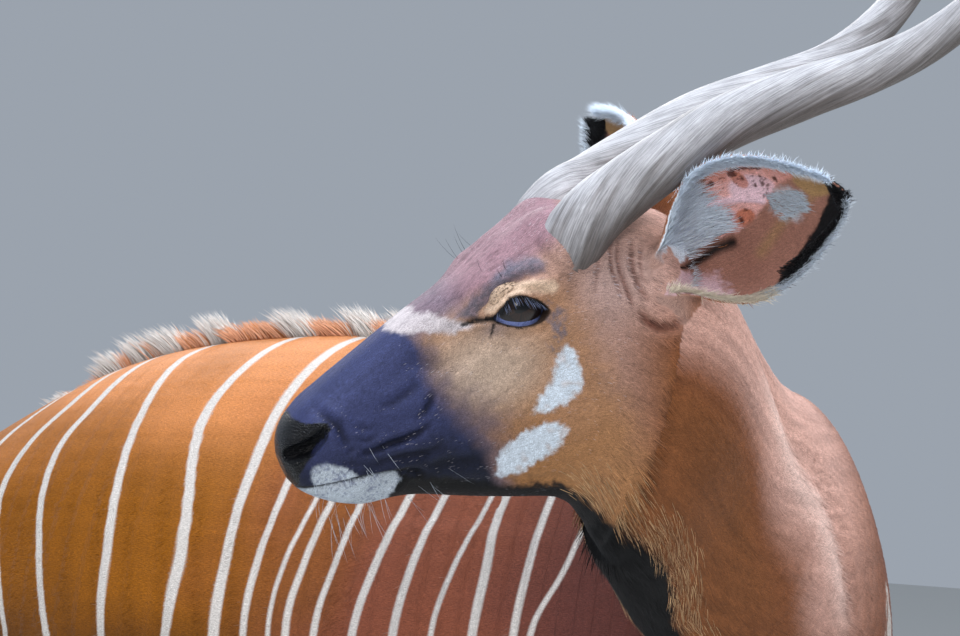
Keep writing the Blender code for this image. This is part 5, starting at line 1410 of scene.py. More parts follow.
def inner_ear(share, edge, fine, grain):
    """The inside of the ear: pink skin with dark specks, white hair round it and a black margin."""
    flat = np.stack([share, edge], 1) * EAR_METRES
    wavy = 0.0012 * fine + 0.0008 * grain
    upper = smoothstep(0.72, 0.95, edge + 0.08 * fine) * smoothstep(0.10, 0.20, share)
    upper = np.maximum(upper, smoothstep(0.74, 0.82, share) * smoothstep(0.45, 0.75, edge) * 0.6)
    gold = ear_line(share, edge, EAR_GOLD_LINE, 0.0030, 0.0060)
    pink = in_shape(flat, np.array(PINK) * EAR_METRES, 0.0045, wavy)
    patch = ear_cloud(share, edge, (0.665, 0.04), (0.095, 0.30), fine, grain)
    root = smoothstep(0.37, 0.30, share + 0.03 * fine) * smoothstep(-0.04, 0.08, edge + 0.05 * fine)
    return over(
        EAR_BROWN,
        EAR_GOLD * 0.8, 0.8 * ear_oval(share, edge, (0.84, 0.45), (0.10, 0.40)),
        EAR_GOLD * 0.7, 0.6 * gold,
        SPOT_WHITE * 1.35, upper * smoothstep(0.95, 0.86, share),
        pink_skin(share, edge, fine, grain), pink,
        SPOT_WHITE, 0.60 * patch * (1 - pink),
        SPOT_WHITE * 1.35, root * (1 - pink),
        CHEEK_BROWN, smoothstep(0.10, 0.04, share) * smoothstep(-0.1, 0.2, edge),
        MOUTH_BLACK, ear_line(share, edge, EAR_SLIT, 0.0038, 0.0040),
        EAR_LILAC, 0.75 * ear_cloud(share, edge, (0.10, -0.72), (0.17, 0.40), fine, grain),
        HAIR_BLACK, in_shape(flat, np.array(BLACK_MARGIN) * EAR_METRES, 0.0050, 2 * wavy),
    )


FIELDS = {"FLOAT_COLOR": "color", "FLOAT_VECTOR": "vector", "FLOAT": "value"}


def attribute(mesh, name, kind, values):
    """Adds values to each point of mesh under name."""
    added = mesh.attributes.new(name, kind, "POINT")
    added.data.foreach_set(FIELDS[kind], np.asarray(values, np.float32).ravel())


def coloured(mesh, colour):
    """Gives each point of mesh its colour."""
    attribute(mesh, "coat", "FLOAT_COLOR", np.column_stack([colour, np.ones(len(colour))]))


def dressed_skin():
    """The skin with its relief and colours, inside the solids by the depth of the coat."""
    skin = grow_skin()
    mesh = skin.data
    p = smoothed(mesh, mesh_points(mesh), 2, 0.5)
    set_points(mesh, p)
    s = Spots(p, mesh_normals(mesh))
    height = bumps(left_half(p), BODY_BUMPS) * (s.on(ON_TRUNK) | s.on(ON_LEG))
    ribs = smoothstep(RIBS_FROM, RIBS_FROM + 0.08, p[:, 0]) * smoothstep(RIBS_TO, RIBS_TO - 0.08, p[:, 0])
    ribs = ribs * smoothstep(0.66, 0.76, p[:, 2]) * smoothstep(1.16, 1.04, p[:, 2])
    slant = p[:, 0] + 0.25 * (p[:, 2] - 0.9)
    height += RIB_HEIGHT * ribs * np.sin(2 * math.pi * slant / RIB_SPACING) * s.on(ON_TRUNK)
    height += 1.25 * grooves(s.h) * s.on(ON_HEAD)
    turned, ridge_at = neck_ridge(s)
    along_neck = smoothstep(3.0, 3.8, s.number) * smoothstep(6.4, 5.4, s.number) * s.on(ON_NECK)
    height += 0.0030 * along_neck * np.exp(-(((turned - ridge_at) / 0.020) ** 2))
    height -= 0.0060 * along_neck * np.exp(-(((turned - ridge_at + 0.038) / 0.020) ** 2))
    height += np.where(s.on(ON_EAR) & (s.number < 0), ear_relief(np.abs(s.number), s.share), 0)
    height -= smoothed(mesh, np.repeat(COAT_DEPTH[s.region][:, None], 3, 1), 14, 0.5)[:, 0]
    height = smoothed(mesh, np.repeat(height[:, None], 3, 1), 1, 0.3)[:, 0]
    set_points(mesh, p + s.normal * height[:, None])
    coloured(mesh, coat_colour(s, with_stripes=False))
    place, half = stripe_place(s, noise(s.p, 0.09, 1))
    attribute(mesh, "stripe", "FLOAT_VECTOR", np.column_stack([place, half, striped_parts(s)]))
    attribute(mesh, "wet", "FLOAT", np.where(s.on(ON_HEAD), nose_pad(s.q), 0.0))
    a, b = edge_ends(mesh)
    jump = (np.abs(s.along[a] - s.along[b]) > 0.04) | (np.abs(s.around[a] - s.around[b]) > 0.04)
    plain = np.zeros(len(p))
    plain[np.concatenate([a[jump], b[jump]])] = 1
    attribute(mesh, "lie", "FLOAT_VECTOR", np.column_stack([s.along, s.around, plain]))
    return skin, s


class Look:
    """A material whose nodes are added and wired one by one."""

    def __init__(self, name):
        self.made = bpy.data.materials.new(name)
        self.made.use_nodes = True
        self.tree = self.made.node_tree
        self.tree.nodes.clear()

    def node(self, kind, inputs=(), **values):
        """The outputs of a new node, whose inputs are numbers or other nodes' outputs."""
        added = self.tree.nodes.new("ShaderNode" + kind)
        for key, value in values.items():
            setattr(added, key, value)
        for key, value in dict(inputs).items():
            if isinstance(value, bpy.types.NodeSocket):
                self.tree.links.new(value, added.inputs[key])
            else:
                added.inputs[key].default_value = value
        return added.outputs

    def stored(self, name, output="Vector"):
        """A value that the mesh holds for each point."""
        return self.node("Attribute", attribute_name=name)[output]

    def math(self, operation, a, b=0.0):
        return self.node("Math", {0: a, 1: b}, operation=operation)[0]

    def noise(self, at, scale, detail, rough=0.5):
        inputs = {"Vector": at, "Scale": scale, "Detail": detail, "Roughness": rough}
        return self.node("TexNoise", inputs)["Fac"]

    def remap(self, value, low, high, to_low=0.0, to_high=1.0):
        inputs = {"Value": value, "From Min": low, "From Max": high, "To Min": to_low, "To Max": to_high}
        return self.node("MapRange", inputs)[0]

    def blend(self, share, a, b, mode="MIX"):
        return self.node("Mix", {0: share, 6: a, 7: b}, data_type="RGBA", blend_type=mode)[2]

    def bump(self, height, distance, **more):
        return self.node("Bump", {"Height": height, "Distance": distance, **more})[0]

    def finish(self, colour, rough, **more):
        """Gives the material its surface."""
        inputs = {"Base Color": colour, "Roughness": rough}
        inputs.update({key.replace("_", " "): value for key, value in more.items()})
        self.node("OutputMaterial", {"Surface": self.node("BsdfPrincipled", inputs)[0]})
        return self.made


# The cool shine that the sky lays over dark hair.
SKY_TINT = (0.80, 0.88, 1.0, 1.0)
SHINE = {"Specular_IOR_Level": 0.15, "Sheen_Weight": 0.04, "Sheen_Roughness": 0.35, "Sheen_Tint": SKY_TINT}


def stripes_over(look, colour, streaks):
    """The colour with the flank's stripes over it, their edges ragged by the streaks of the hair."""
    place, half, striped = look.node("SeparateXYZ", {0: look.stored("stripe")})
    turns = look.math("FRACT", look.math("ADD", look.math("DIVIDE", place, STRIPE_PITCH), 0.5))
    off = look.math("MULTIPLY", look.math("ABSOLUTE", look.math("SUBTRACT", turns, 0.5)), STRIPE_PITCH)
    ragged = look.math("MULTIPLY", look.math("SUBTRACT", streaks, 0.5), 0.0040)
    white = look.remap(look.math("ADD", look.math("SUBTRACT", off, half), ragged), 0.0014, -0.0014)
    return look.blend(look.math("MULTIPLY", white, striped), colour, (*STRIPE_WHITE, 1.0))


def skin_shader():
    """Skin and its shortest fur: the coat's colour with hair-like streaks along the lie of the coat."""
    look = Look("coat_skin")
    wet = look.stored("wet", "Fac")
    along, around, plain = look.node("SeparateXYZ", {0: look.stored("lie")})
    streak_at = look.node("CombineXYZ", {0: look.math("MULTIPLY", along, 0.16), 1: around})[0]
    streaks = look.noise(streak_at, 1400.0, 2.0)
    place = look.node("TexCoord")["Object"]
    pores = look.node("TexVoronoi", {"Vector": place, "Scale": 620.0})["Distance"]
    even = look.math("MULTIPLY", look.math("SUBTRACT", 1.0, wet), look.math("SUBTRACT", 1.0, plain))
    colour = stripes_over(look, look.stored("coat", "Color"), streaks)
    shaded = look.blend(1.0, colour, look.remap(streaks, 0.3, 0.7, 0.70, 1.22), "MULTIPLY")
    speckle = look.remap(look.noise(place, 1500.0, 1.0), 0.3, 0.7, 0.66, 1.32)
    shaded = look.blend(1.0, shaded, speckle, "MULTIPLY")
    hair = look.bump(look.math("MULTIPLY", streaks, even), 0.0007, Strength=0.8)
    bumped = look.bump(look.math("MULTIPLY", pores, wet), 0.0011, Normal=hair)
    rough = look.remap(wet, 0.0, 1.0, 0.60, 0.16)
    return look.finish(look.blend(even, colour, shaded), rough, Normal=bumped, **SHINE)


def hair_shader():
    """Tufts and locks, coloured by their own points."""
    look = Look("coat_hair")
    return look.finish(look.stored("coat", "Color"), 0.52, **SHINE)


# Eyes: the iris and its pupil, as (half length, half height), and which way the eye looks.
EYE_LOOKS = (-0.04, 0.98, 0.12)
IRIS_ANGLE, CORNEA_RISE = 0.60, 0.0009
PUPIL_HALF = (0.0066, 0.0036)
IRIS_DARK, IRIS_BROWN, IRIS_RIM = paint(15, 11, 12), paint(70, 44, 32), paint(18, 12, 11)
PUPIL_BLACK, EYE_WHITE = paint(8, 8, 12), paint(26, 20, 22)


def make_eye(name, side):
    """An eye with its iris, pupil and slightly raised clear front."""
    looks = unit(np.array(EYE_LOOKS) * [1, side, 1])
    ahead = unit(np.array([1.0, 0, 0]) - looks[0] * looks)
    up = np.cross(looks, ahead) * side
    turn = even_turn(96)
    fibres = 0.5 + 0.5 * np.sin(23 * turn + 3 * np.sin(5 * turn)) * np.sin(41 * turn)
    rings, tones = [], []
    for angle in np.concatenate([np.linspace(0, 0.72, 49)[1:], np.linspace(0.72, math.pi, 26)[1:-1]]):
        radius = EYE_RADIUS + CORNEA_RISE * smoothstep(IRIS_ANGLE + 0.06, 0.0, angle)
        out = np.outer(np.cos(turn), ahead) + np.outer(np.sin(turn), up)
        middle = EYE_AT * [1, side, 1]
        rings.append(from_head(middle + radius * (math.cos(angle) * looks + math.sin(angle) * out)))
        a = EYE_RADIUS * math.sin(angle) * np.cos(turn)
        b = EYE_RADIUS * math.sin(angle) * np.sin(turn)
        pupil = (np.abs(a) / PUPIL_HALF[0]) ** 3 + (np.abs(b) / PUPIL_HALF[1]) ** 3
        tones.append(
            over(
                IRIS_DARK,
                IRIS_BROWN, 0.40 * fibres,
                IRIS_RIM, smoothstep(0.84, 1.0, angle / IRIS_ANGLE),
                PUPIL_BLACK, smoothstep(1.25, 0.85, pupil),
                EYE_WHITE, smoothstep(0.98, 1.06, angle / IRIS_ANGLE),
            )
        )
    if side < 0:
        rings, tones = ([ring[::-1] for ring in rows] for rows in (rings, tones))
    eye = loft(name, rings)
    coloured(eye.data, np.vstack([*tones, PUPIL_BLACK, tones[-1].mean(0)]))
    return eye


def eye_shader():
    """A wet eye, coloured by its own points under a clear coat."""
    look = Look("wet_eye")
    clear = {"Coat_Weight": 1.0, "Coat_Roughness": 0.02, "Coat_IOR": 1.30}
    return look.finish(look.stored("coat", "Color"), 0.30, Specular_IOR_Level=0.12, **clear)


# Lids: the rows from the wet rim out into the skin, by their distance from the almond, how high they lie
# over the eyeball, and the folds.
LID_ROWS = np.concatenate([
    np.linspace(-0.0012, 0.0016, 9)[:-1],
    np.linspace(0.0016, 0.0080, 13)[:-1],
    np.linspace(0.0080, 0.0120, 5),
])
LID_PROFILE_AT = [-0.0012, -0.0006, 0.0, 0.0004, 0.0010, 0.0020, 0.0040]
LID_PROFILE = [0.0001, 0.0007, 0.0011, 0.0016, 0.0021, 0.0025, 0.0028]
UPPER_FOLD, UPPER_FOLD_AT, LOWER_FOLD, LOWER_FOLD_AT = 0.0010, 0.0046, 0.0009, 0.0050
LID_PUFF, LID_SINK, LID_OVERHANG = 0.0006, 0.0016, 0.0009


def skin_height(tree, x, z, side, fallback):
    """How far out the skin lies at x and z of the head's frame."""
    start = from_head([x, side * 0.11, z])
    way = from_head([x, 0, z]) - start
    hit = tree.ray_cast(Vector(start), Vector(unit(way)), 0.08)
    if hit[0] is None:
        return fallback
    return abs(to_head(np.array(hit[0]))[1])


def make_lids(name, side, skin_tree):
    """Both lids of one eye: a wet rim that rests on the eyeball, folds over and runs out into the skin.

    Also, for each point, how much it belongs to the wet rim below the eye, which gets a painted sky
    reflection, and to the one above it.
    """
    count = 61
    outline = lid_outline(count)
    middle = outline.mean(0)
    closed = np.vstack([outline[-2:], outline, outline[:2]])
    ahead = unit(closed[4:] - closed[:-4])
    out_way = np.stack([-ahead[:, 1], ahead[:, 0]], 1)
    out_way *= np.sign(((outline - middle) * out_way).sum(1))[:, None]
    around = len(outline)
    turn = math.pi * np.arange(around) / (count - 1)
    rise = np.sin(turn)
    corner = np.exp(-(((outline[:, 0] - LID_UPPER[-1][0]) / 0.0050) ** 2))
    wide = 1 + 2.1 * np.clip(-rise, 0, 1) + 3.4 * corner
    upper, lower = np.clip(rise, 0, 1), np.clip(-rise, 0, 1)
    grid, painted_sky_rim, wet_above = [], [], []
    for d in LID_ROWS:
        flat = outline + out_way * (d * np.where(d < 0, wide, 1))[:, None]
        off_x, off_z = flat[:, 0] - EYE_AT[0], flat[:, 1] - EYE_AT[2]
        ball_y = EYE_AT[1] + np.sqrt(np.maximum(EYE_RADIUS**2 - off_x**2 - off_z**2, 1e-6))
        thick = np.interp(d, LID_PROFILE_AT, LID_PROFILE)
        thick = thick + LID_OVERHANG * upper * smoothstep(-0.0006, 0.0006, d)
        skin_y = np.array([skin_height(skin_tree, x, z, side, y) for (x, z), y in zip(flat, ball_y)])
        for _ in range(4):
            skin_y = (np.roll(skin_y, 1) + 2 * skin_y + np.roll(skin_y, -1)) / 4
        fold = UPPER_FOLD * upper * np.exp(-(((d - UPPER_FOLD_AT) / 0.0011) ** 2))
        fold = fold + LOWER_FOLD * lower * np.exp(-(((d - LOWER_FOLD_AT) / 0.0011) ** 2))
        puff = LID_PUFF * np.exp(-(((d - 0.0026) / 0.0020) ** 2)) * np.abs(rise)
        share = smoothstep(0.0022, 0.0072, d)
        y = (ball_y + thick) * (1 - share) + skin_y * share + (puff - fold) * (d > 0)
        y = y - LID_SINK * smoothstep(0.0085, LID_ROWS[-1], d)
        grid.append(from_head(np.stack([flat[:, 0], side * y, flat[:, 1]], 1)))
        rim = smoothstep(0.0005, -0.0001, np.full(around, d))
        painted_sky_rim.append(rim * np.maximum(smoothstep(0.15, -0.10, rise), corner))
        wet_above.append(rim)
    faces = tube_faces(len(grid), around)
    faces = faces if side > 0 else [quad[::-1] for quad in faces]
    return new_mesh(name, np.vstack(grid), faces), np.concatenate(painted_sky_rim), np.concatenate(wet_above)


def horn_rings(side, count, around):
    """Sections of one horn, root to tip, with a keel that winds once round it."""
    line = np.array(HORN_LINE) * [1, side, 1]
    full = even_rows(line, count)
    at = np.concatenate([[HORN_SEEN_FROM], full[full > HORN_SEEN_FROM]])
    fibres = even_turn(around)
    rings, marks, fibre_places = [], [], []
    for m, _, up, across, share, radius in zip(*horn_frame(side, at)):
        twist = side * HORN_TWIST * 2 * math.pi * share
        turn = fibres + twist
        off_keel = np.angle(np.exp(1j * (turn - twist - HORN_KEEL_FROM))) / HORN_KEEL_WIDTH
        keel = HORN_KEEL * (radius / HORN_BASE_RADIUS) * np.exp(-(off_keel**2))
        rough = HORN_GRAIN * (radius / HORN_BASE_RADIUS) * smoothstep(1.0, 0.35, share)
        waves = np.sin(13 * fibres + 2.0 * np.sin(4 * fibres)) + 0.8 * np.sin(29 * fibres + 5 * share)
        worn = HORN_RINGS * np.sin(2 * math.pi * share * 40 + 1.5 * np.sin(fibres))
        worn = worn * smoothstep(0.16, 0.04, share)
        below_skin = 0.0011 * smoothstep(1.25, 0.75, share * HORN_LENGTH / COLLAR_LENGTH)
        reach = radius + keel + rough * waves + worn - below_skin
        out = np.outer(reach * np.cos(turn), up) + np.outer(reach * HORN_FLATNESS * np.sin(turn), across)
        rings.append(from_head(m + out))
        low = 0.5 - 0.5 * np.cos(turn)
        on_ring = np.stack([np.cos(fibres), np.sin(fibres), np.full(around, 2.2 * share)], 1)
        marks.append(
            over(
                HORN_GREY,
                # Painted shade darkens the underside; the blotches are the horn's own brown, and the root
                # is darker.
                HORN_BROWN_AND_SHADE, 0.90 * smoothstep(0.36, 0.86, low + 0.06 * waves),
                HORN_BROWN_AND_SHADE, 0.55 * smoothstep(0.15, 0.75, noise(on_ring, 0.16, 61)),
                HORN_BROWN_AND_SHADE, 0.30 * smoothstep(0.0, 0.7, noise(on_ring, 0.42, 62)),
                HORN_BROWN_AND_SHADE, 0.40 * smoothstep(0.10, 0.0, share),
                HORN_TIP, smoothstep(0.86, 0.97, share),
            )
        )
        along = np.full(around, 0.05 * HORN_LENGTH * share)
        fibre_places.append(np.column_stack([along, 0.03 * on_ring[:, :2]]))
    marks, fibre_places = (np.vstack([*v, v[0].mean(0), v[-1].mean(0)]) for v in (marks, fibre_places))
    return rings, marks, fibre_places


def make_horn(name, side):
    """One horn with its colours and the places of its fibres."""
    rings, marks, fibre_places = horn_rings(side, 240, 96)
    horn = loft(name, rings)
    coloured(horn.data, marks)
    attribute(horn.data, "lie", "FLOAT_VECTOR", fibre_places)
    return horn


def horn_shader():
    """Horn, with long fibres that follow it and fine cross rings near its root."""
    look = Look("horn_grain")
    place = look.node("TexCoord")["Object"]
    blotch = look.noise(place, 26.0, 5.0, 0.65)
    fine = look.noise(place, 420.0, 4.0, 0.7)
    fibres = look.noise(look.stored("lie"), 700.0, 4.0, 0.65)
    blotches = look.remap(blotch, 0.3, 0.7, 0.80, 1.16)
    tinted = look.blend(1.0, look.stored("coat", "Color"), blotches, "MULTIPLY")
    tinted = look.blend(1.0, tinted, look.remap(fibres, 0.34, 0.62, 0.55, 1.15), "MULTIPLY")
    worn = look.bump(fibres, 0.0012, Strength=0.6)
    bumped = look.bump(fine, 0.0005, Strength=0.45, Normal=worn)
    rough = look.remap(fine, 0.0, 1.0, 0.34, 0.62)
    return look.finish(tinted, rough, Normal=bumped, Specular_IOR_Level=0.45)


CORONET_Z, JOIN_GAP = 0.054, 0.0003
CLAW_HEIGHT, CLAW_LENGTH, CLAW_HALF_WIDTH, CLAW_SPREAD = CORONET_Z - JOIN_GAP, 0.096, 0.0185, 0.0200
CLAW_HEEL_SHARE, HEEL_RUN_FORWARD, TOE_RUN_BACK = 0.40, 0.004, 0.0466
CLAW_DRAW_IN, CLAW_INNER_SHARE, CLAW_TOE_NARROWING = 0.042, 0.80, 0.30
DEWCLAW_LENGTH, DEWCLAW_RADIUS, DEWCLAW_FLATNESS, DEWCLAW_WAY = 0.024, 0.0105, 0.85, (-0.72, 0.25, -0.62)
DEWCLAW_STATIONS = [(0.0, 0.9), (0.45, 1.0), (0.8, 0.72), (1.0, 0.3)]
DEWCLAW_Z, DEWCLAW_BACK, DEWCLAW_APART = 0.112, 0.022, 0.017


def make_claw(name, x, y, side):
    """One claw of a hoof: flat below with a rounded rim, sloping to the toe."""
    turn = even_turn(56)
    along, wide = np.cos(turn), np.sin(turn)
    reach = CLAW_HALF_WIDTH * (1 - CLAW_TOE_NARROWING * np.clip(along, 0, 1) ** 2)
    reach = reach * (1 + (CLAW_INNER_SHARE - 1) * smoothstep(0.1, -0.1, wide * side))
    low, high = [0.0, 0.0, 0.012, 0.035, 0.07], [0.97, 0.99, 1.0, 1.0]
    levels = np.concatenate([low, np.linspace(0.12, 0.93, 20), high])
    drawn = np.interp(levels, [0, 0.035, 0.07, 0.93, 1.0], [0.970, 0.990, 1.0, 1.0, 0.975])
    drawn[0], drawn[-1] = 0.80, 0.80
    rings = []
    for share, narrow in zip(levels, drawn):
        heel = x - CLAW_LENGTH * CLAW_HEEL_SHARE + HEEL_RUN_FORWARD * share
        toe = x + CLAW_LENGTH * (1 - CLAW_HEEL_SHARE) - TOE_RUN_BACK * share
        grown = narrow - 0.006 * (0.5 + 0.5 * np.sin(share * 70 + 3 * along)) * smoothstep(0.02, 0.2, share)
        px = (toe + heel) / 2 + (toe - heel) / 2 * along * grown
        py = y + wide * reach * (1 - CLAW_DRAW_IN * share) * grown
        rings.append(np.stack([px, py, np.full(len(turn), CLAW_HEIGHT * share)], 1))
    return loft(name, rings)


def make_dewclaw(name, x, y, z, side):
    """A small blunt horn behind the fetlock."""
    way = unit(np.array(DEWCLAW_WAY) * [1, side, 1])
    across = unit(np.cross(way, [0, 1, 0]))
    other = np.cross(way, across)
    turn = even_turn(28)
    at = smooth_through(DEWCLAW_STATIONS, np.linspace(0, len(DEWCLAW_STATIONS) - 1, 18))
    rings = []
    for t, share in at:
        middle = np.array([x, y, z]) + way * DEWCLAW_LENGTH * t
        radius = DEWCLAW_RADIUS * share * 0.98
        rings.append(
            middle
            + np.outer(np.cos(turn) * radius, across)
            + np.outer(np.sin(turn) * radius * DEWCLAW_FLATNESS, other)
        )
    return loft(name, rings)


def hoof_shader():
    """Dark horn with fine growth rings that are bent a little."""
    look = Look("hoof_horn")
    place = look.node("TexCoord")["Object"]
    bent = look.noise(place, 30.0, 3.0)
    height = look.node("SeparateXYZ", {0: place})[2]
    level = look.math("ADD", height, look.math("MULTIPLY", bent, 0.010))
    waves = look.math("SINE", look.math("MULTIPLY", level, 900.0))
    colour = look.blend(look.remap(bent, 0.35, 0.65), (*paint(44, 37, 34), 1), (*paint(84, 72, 62), 1))
    rings = look.bump(waves, 0.0004, Strength=0.5)
    bumped = look.bump(look.noise(place, 300.0, 3.0), 0.0004, Strength=0.4, Normal=rings)
    return look.finish(colour, 0.42, Normal=bumped)


def spikes(roots, ways, flats, lengths, widths, bends, rows):
    """Closed tapered hairs or locks as (points, triangles, share along each point).

    Each starts at its root along its way, is flat across the way flats, and bends by bends at its tip.
    """
    count = len(roots)
    shares = np.linspace(0, 1, rows + 1)[:-1]
    over_way = unit(np.cross(ways, flats))
    corners = [(-1.0, -0.4), (1.0, -0.4), (0.0, 0.8)]
    points = []
    for share in shares:
        middle = roots + ways * (lengths * share)[:, None] + bends * (share**2)
        narrow = 1 - share**2 * 0.75
        for across, high in corners:
            points.append(
                middle
                + flats * (widths / 2 * across * narrow)[:, None]
                + over_way * (widths * 0.3 * high * narrow)[:, None]
            )
    points.append(roots + ways * lengths[:, None] + bends)
    points = np.stack(points, 1)
    triangles = [(0, 2, 1)]
    for row in range(rows - 1):
        for k in range(3):
            a, b = row * 3 + k, row * 3 + (k + 1) % 3
            triangles += [(a, b, b + 3), (a, b + 3, a + 3)]
    last = (rows - 1) * 3
    triangles += [(last + k, last + (k + 1) % 3, last + 3) for k in range(3)]
    per = rows * 3 + 1
    triangles = (np.arange(count) * per)[:, None, None] + np.array(triangles)[None]
    shares = np.tile(np.append(np.repeat(shares, 3), 1.0), count)
    return points.reshape(-1, 3), triangles.reshape(-1, 3), shares


def triangle_mesh(name, points, triangles):
    """A new object made of triangles only."""
    mesh = bpy.data.meshes.new(name)
    mesh.vertices.add(len(points))
    mesh.vertices.foreach_set("co", np.asarray(points, np.float32).ravel())
    mesh.loops.add(triangles.size)
    mesh.loops.foreach_set("vertex_index", triangles.astype(np.int32).ravel())
    mesh.polygons.add(len(triangles))
    mesh.polygons.foreach_set("loop_start", np.arange(0, triangles.size, 3, dtype=np.int32))
    mesh.update(calc_edges=True)
    return linked(name, mesh)


BAKE_PATCH = 0.003


def baked_places(obj, root_uv, per, shares):
    """Gives obj its OFBake map: each hair is a small patch at the place of its root."""
    layer = obj.data.uv_layers.new(name="OFBake")
    index = np.empty(len(obj.data.loops), np.int32)
    obj.data.loops.foreach_get("vertex_index", index)
    corner = np.tile(np.arange(per) % 3, len(root_uv)) - 1.0
    uv = np.repeat(root_uv, per, 0)
    uv = uv + np.stack([(shares - 0.5) * BAKE_PATCH, corner * BAKE_PATCH / 2], 1)
    layer.data.foreach_set("uv", uv[index].astype(np.float32).ravel())


# The coat: how long and wide its tufts are, how many there are for each square metre, how far they stand
# up, and how much their colours differ.
COAT_LAYERS = {
    ON_TRUNK: (0.0105, 0.0012, 40000.0, 0.060, 0.13),
    ON_NECK: (0.0135, 0.0010, 74000.0, 0.070, 0.30),
    ON_HEAD: (0.0048, 0.0008, 230000.0, 0.100, 0.60),
    ON_LEG: (0.0080, 0.0011, 26000.0, 0.060, 0.16),
    ON_EAR: (0.0060, 0.0007, 100000.0, 0.160, 0.24),
    ON_TAIL: (0.0130, 0.0012, 30000.0, 0.100, 0.20),
}
PIECE_TUFTS = 40000
# The pale colour given to a few head tufts is painted glints of light on the fur.
TUFT_ROUND, PAINTED_GLINT = 0.45, paint(206, 200, 210)


def coat_size(s):
    """How long, wide, dense and raised the hair is at each of the spots s."""
    table = np.array([COAT_LAYERS[region] for region in range(6)])
    long, wide, dense, raised, _ = table[s.region].T.copy()
    head, neck, leg, ear = s.on(ON_HEAD), s.on(ON_NECK), s.on(ON_LEG), s.on(ON_EAR)
    x, y, z = s.q.T
    like_neck = (smoothstep(0.055, -0.015, before_neck(s.q)) * head)[:, None]
    own = np.stack([long, wide, dense, raised], 1)
    long, wide, dense, raised = (own + (np.array(COAT_LAYERS[ON_NECK][:4]) - own) * like_neck).T
    muzzle = smoothstep(0.07, 0.17, x)
    long = np.where(head, long * (1 - 0.50 * muzzle), long)
    wide = np.where(head, wide * (1 - 0.30 * muzzle), wide)
    from_eye = np.linalg.norm(s.q - EYE_AT - [0, 0.012, 0], axis=1)
    near_eye = smoothstep(0.050, 0.024, from_eye)
    long = np.where(head, long * (1 - 0.50 * near_eye), long)
    wide = np.where(head, wide * (1 - 0.25 * near_eye), wide)
    jaw = smoothstep(-0.14, -0.19, z) * smoothstep(0.05, -0.03, x)
    long = np.where(head, long * (1 + 1.3 * jaw), long)
    throat = smoothstep(0.20, 0.08, np.abs(s.share - 0.5)) * smoothstep(3.0, 6.5, s.number)
    long = np.where(neck, long * (1 + 0.9 * throat), long)
    raised = np.where(neck, raised * (1 + 0.8 * throat), raised)
    low = smoothstep(0.62, 0.20, s.p[:, 2])
    long = np.where(leg, long * (1 - 0.40 * low), long)
    wide = np.where(leg, wide * (1 - 0.25 * low), wide)
    dense = np.where(leg, dense * (1 + 0.6 * low), dense)
    inside = ear & (s.number < 0)
    long = np.where(inside, long * 1.25, long)
    bare = np.where(head, nose_pad(s.q), 0.0)
    flat = np.stack([np.abs(s.number), s.share], 1) * EAR_METRES
    bare[inside] = in_shape(flat[inside], np.array(PINK) * EAR_METRES, 0.004)
    lip = head & (np.abs(z - np.interp(x, *MOUTH_HEIGHTS)) < 0.0020) & (x > 0.133)
    eye = (eye_gap(x, z) > -0.0012) & (x > LID_UPPER[0][0]) & (x < LID_UPPER[-1][0]) & (y > 0.03) & head
    from_horn, along_horn = line_distance(s.q, HORN_LINE)
    row = along_horn * HORN_LENGTH / COLLAR_LENGTH
    horn = (from_horn < np.interp(row, [0, 0.5, 1], [0.019, 0.0265, 0.0280])) & (along_horn > 0) & head
    return long, wide, dense * (1 - bare) * ~lip * ~eye * ~horn, raised


def scattered(mesh, weights, draw):
    """Points spread over mesh, weights of them to each square metre.

    They are given as the nearest point of mesh to each, and a function that reads values at them.
    """
    mesh.calc_loop_triangles()
    corners = np.empty(len(mesh.loop_triangles) * 3, np.int32)
    mesh.loop_triangles.foreach_get("vertices", corners)
    corners = corners.reshape(-1, 3)
    p = mesh_points(mesh)[corners]
    area = np.linalg.norm(np.cross(p[:, 1] - p[:, 0], p[:, 2] - p[:, 0]), axis=1) / 2
    total = np.cumsum(area * weights[corners].mean(1))
    count = int(total[-1])
    at = (np.arange(count) + draw.uniform(0, 1, count)) / count * total[-1]
    chosen = corners[np.minimum(np.searchsorted(total, at), len(total) - 1)]
    a, b = np.sqrt(draw.uniform(0, 1, count)), draw.uniform(0, 1, count)
    parts = np.stack([1 - a, a * (1 - b), a * b], 1)

    def read(values):
        return (values[chosen] * parts.reshape(*parts.shape, *[1] * (values.ndim - 1))).sum(1)

    return chosen[np.arange(count), parts.argmax(1)], read


def hair_ways(mesh, s):
    """The lie of the hair at each point of the skin, smooth from one part of the body to the next."""
    way = s.hair + 0.0
    down = np.where(s.on(ON_TRUNK), 0.35 + 0.9 * smoothstep(-0.35, -0.62, s.p[:, 0]), 0.0)
    down = down + np.where(s.on(ON_LEG), 0.5, 0.0) + np.where(s.on(ON_NECK), 0.15, 0.0)
    way[:, 2] -= down
    way = smoothed(mesh, unit(way), 14, 0.6)
    return unit(way - (way * s.normal).sum(1)[:, None] * s.normal)


def varied(colour, draw, amount=0.16):
    """Each hair's colour, a little lighter or darker than its place."""
    return colour * (1 + amount * draw.uniform(-1, 1, (len(colour), 1)))


def spread(values):
    """values carried to the range from 0.01 to 0.99."""
    low, high = values.min(), values.max()
    return 0.01 + 0.98 * (values - low) / max(high - low, 1e-6)


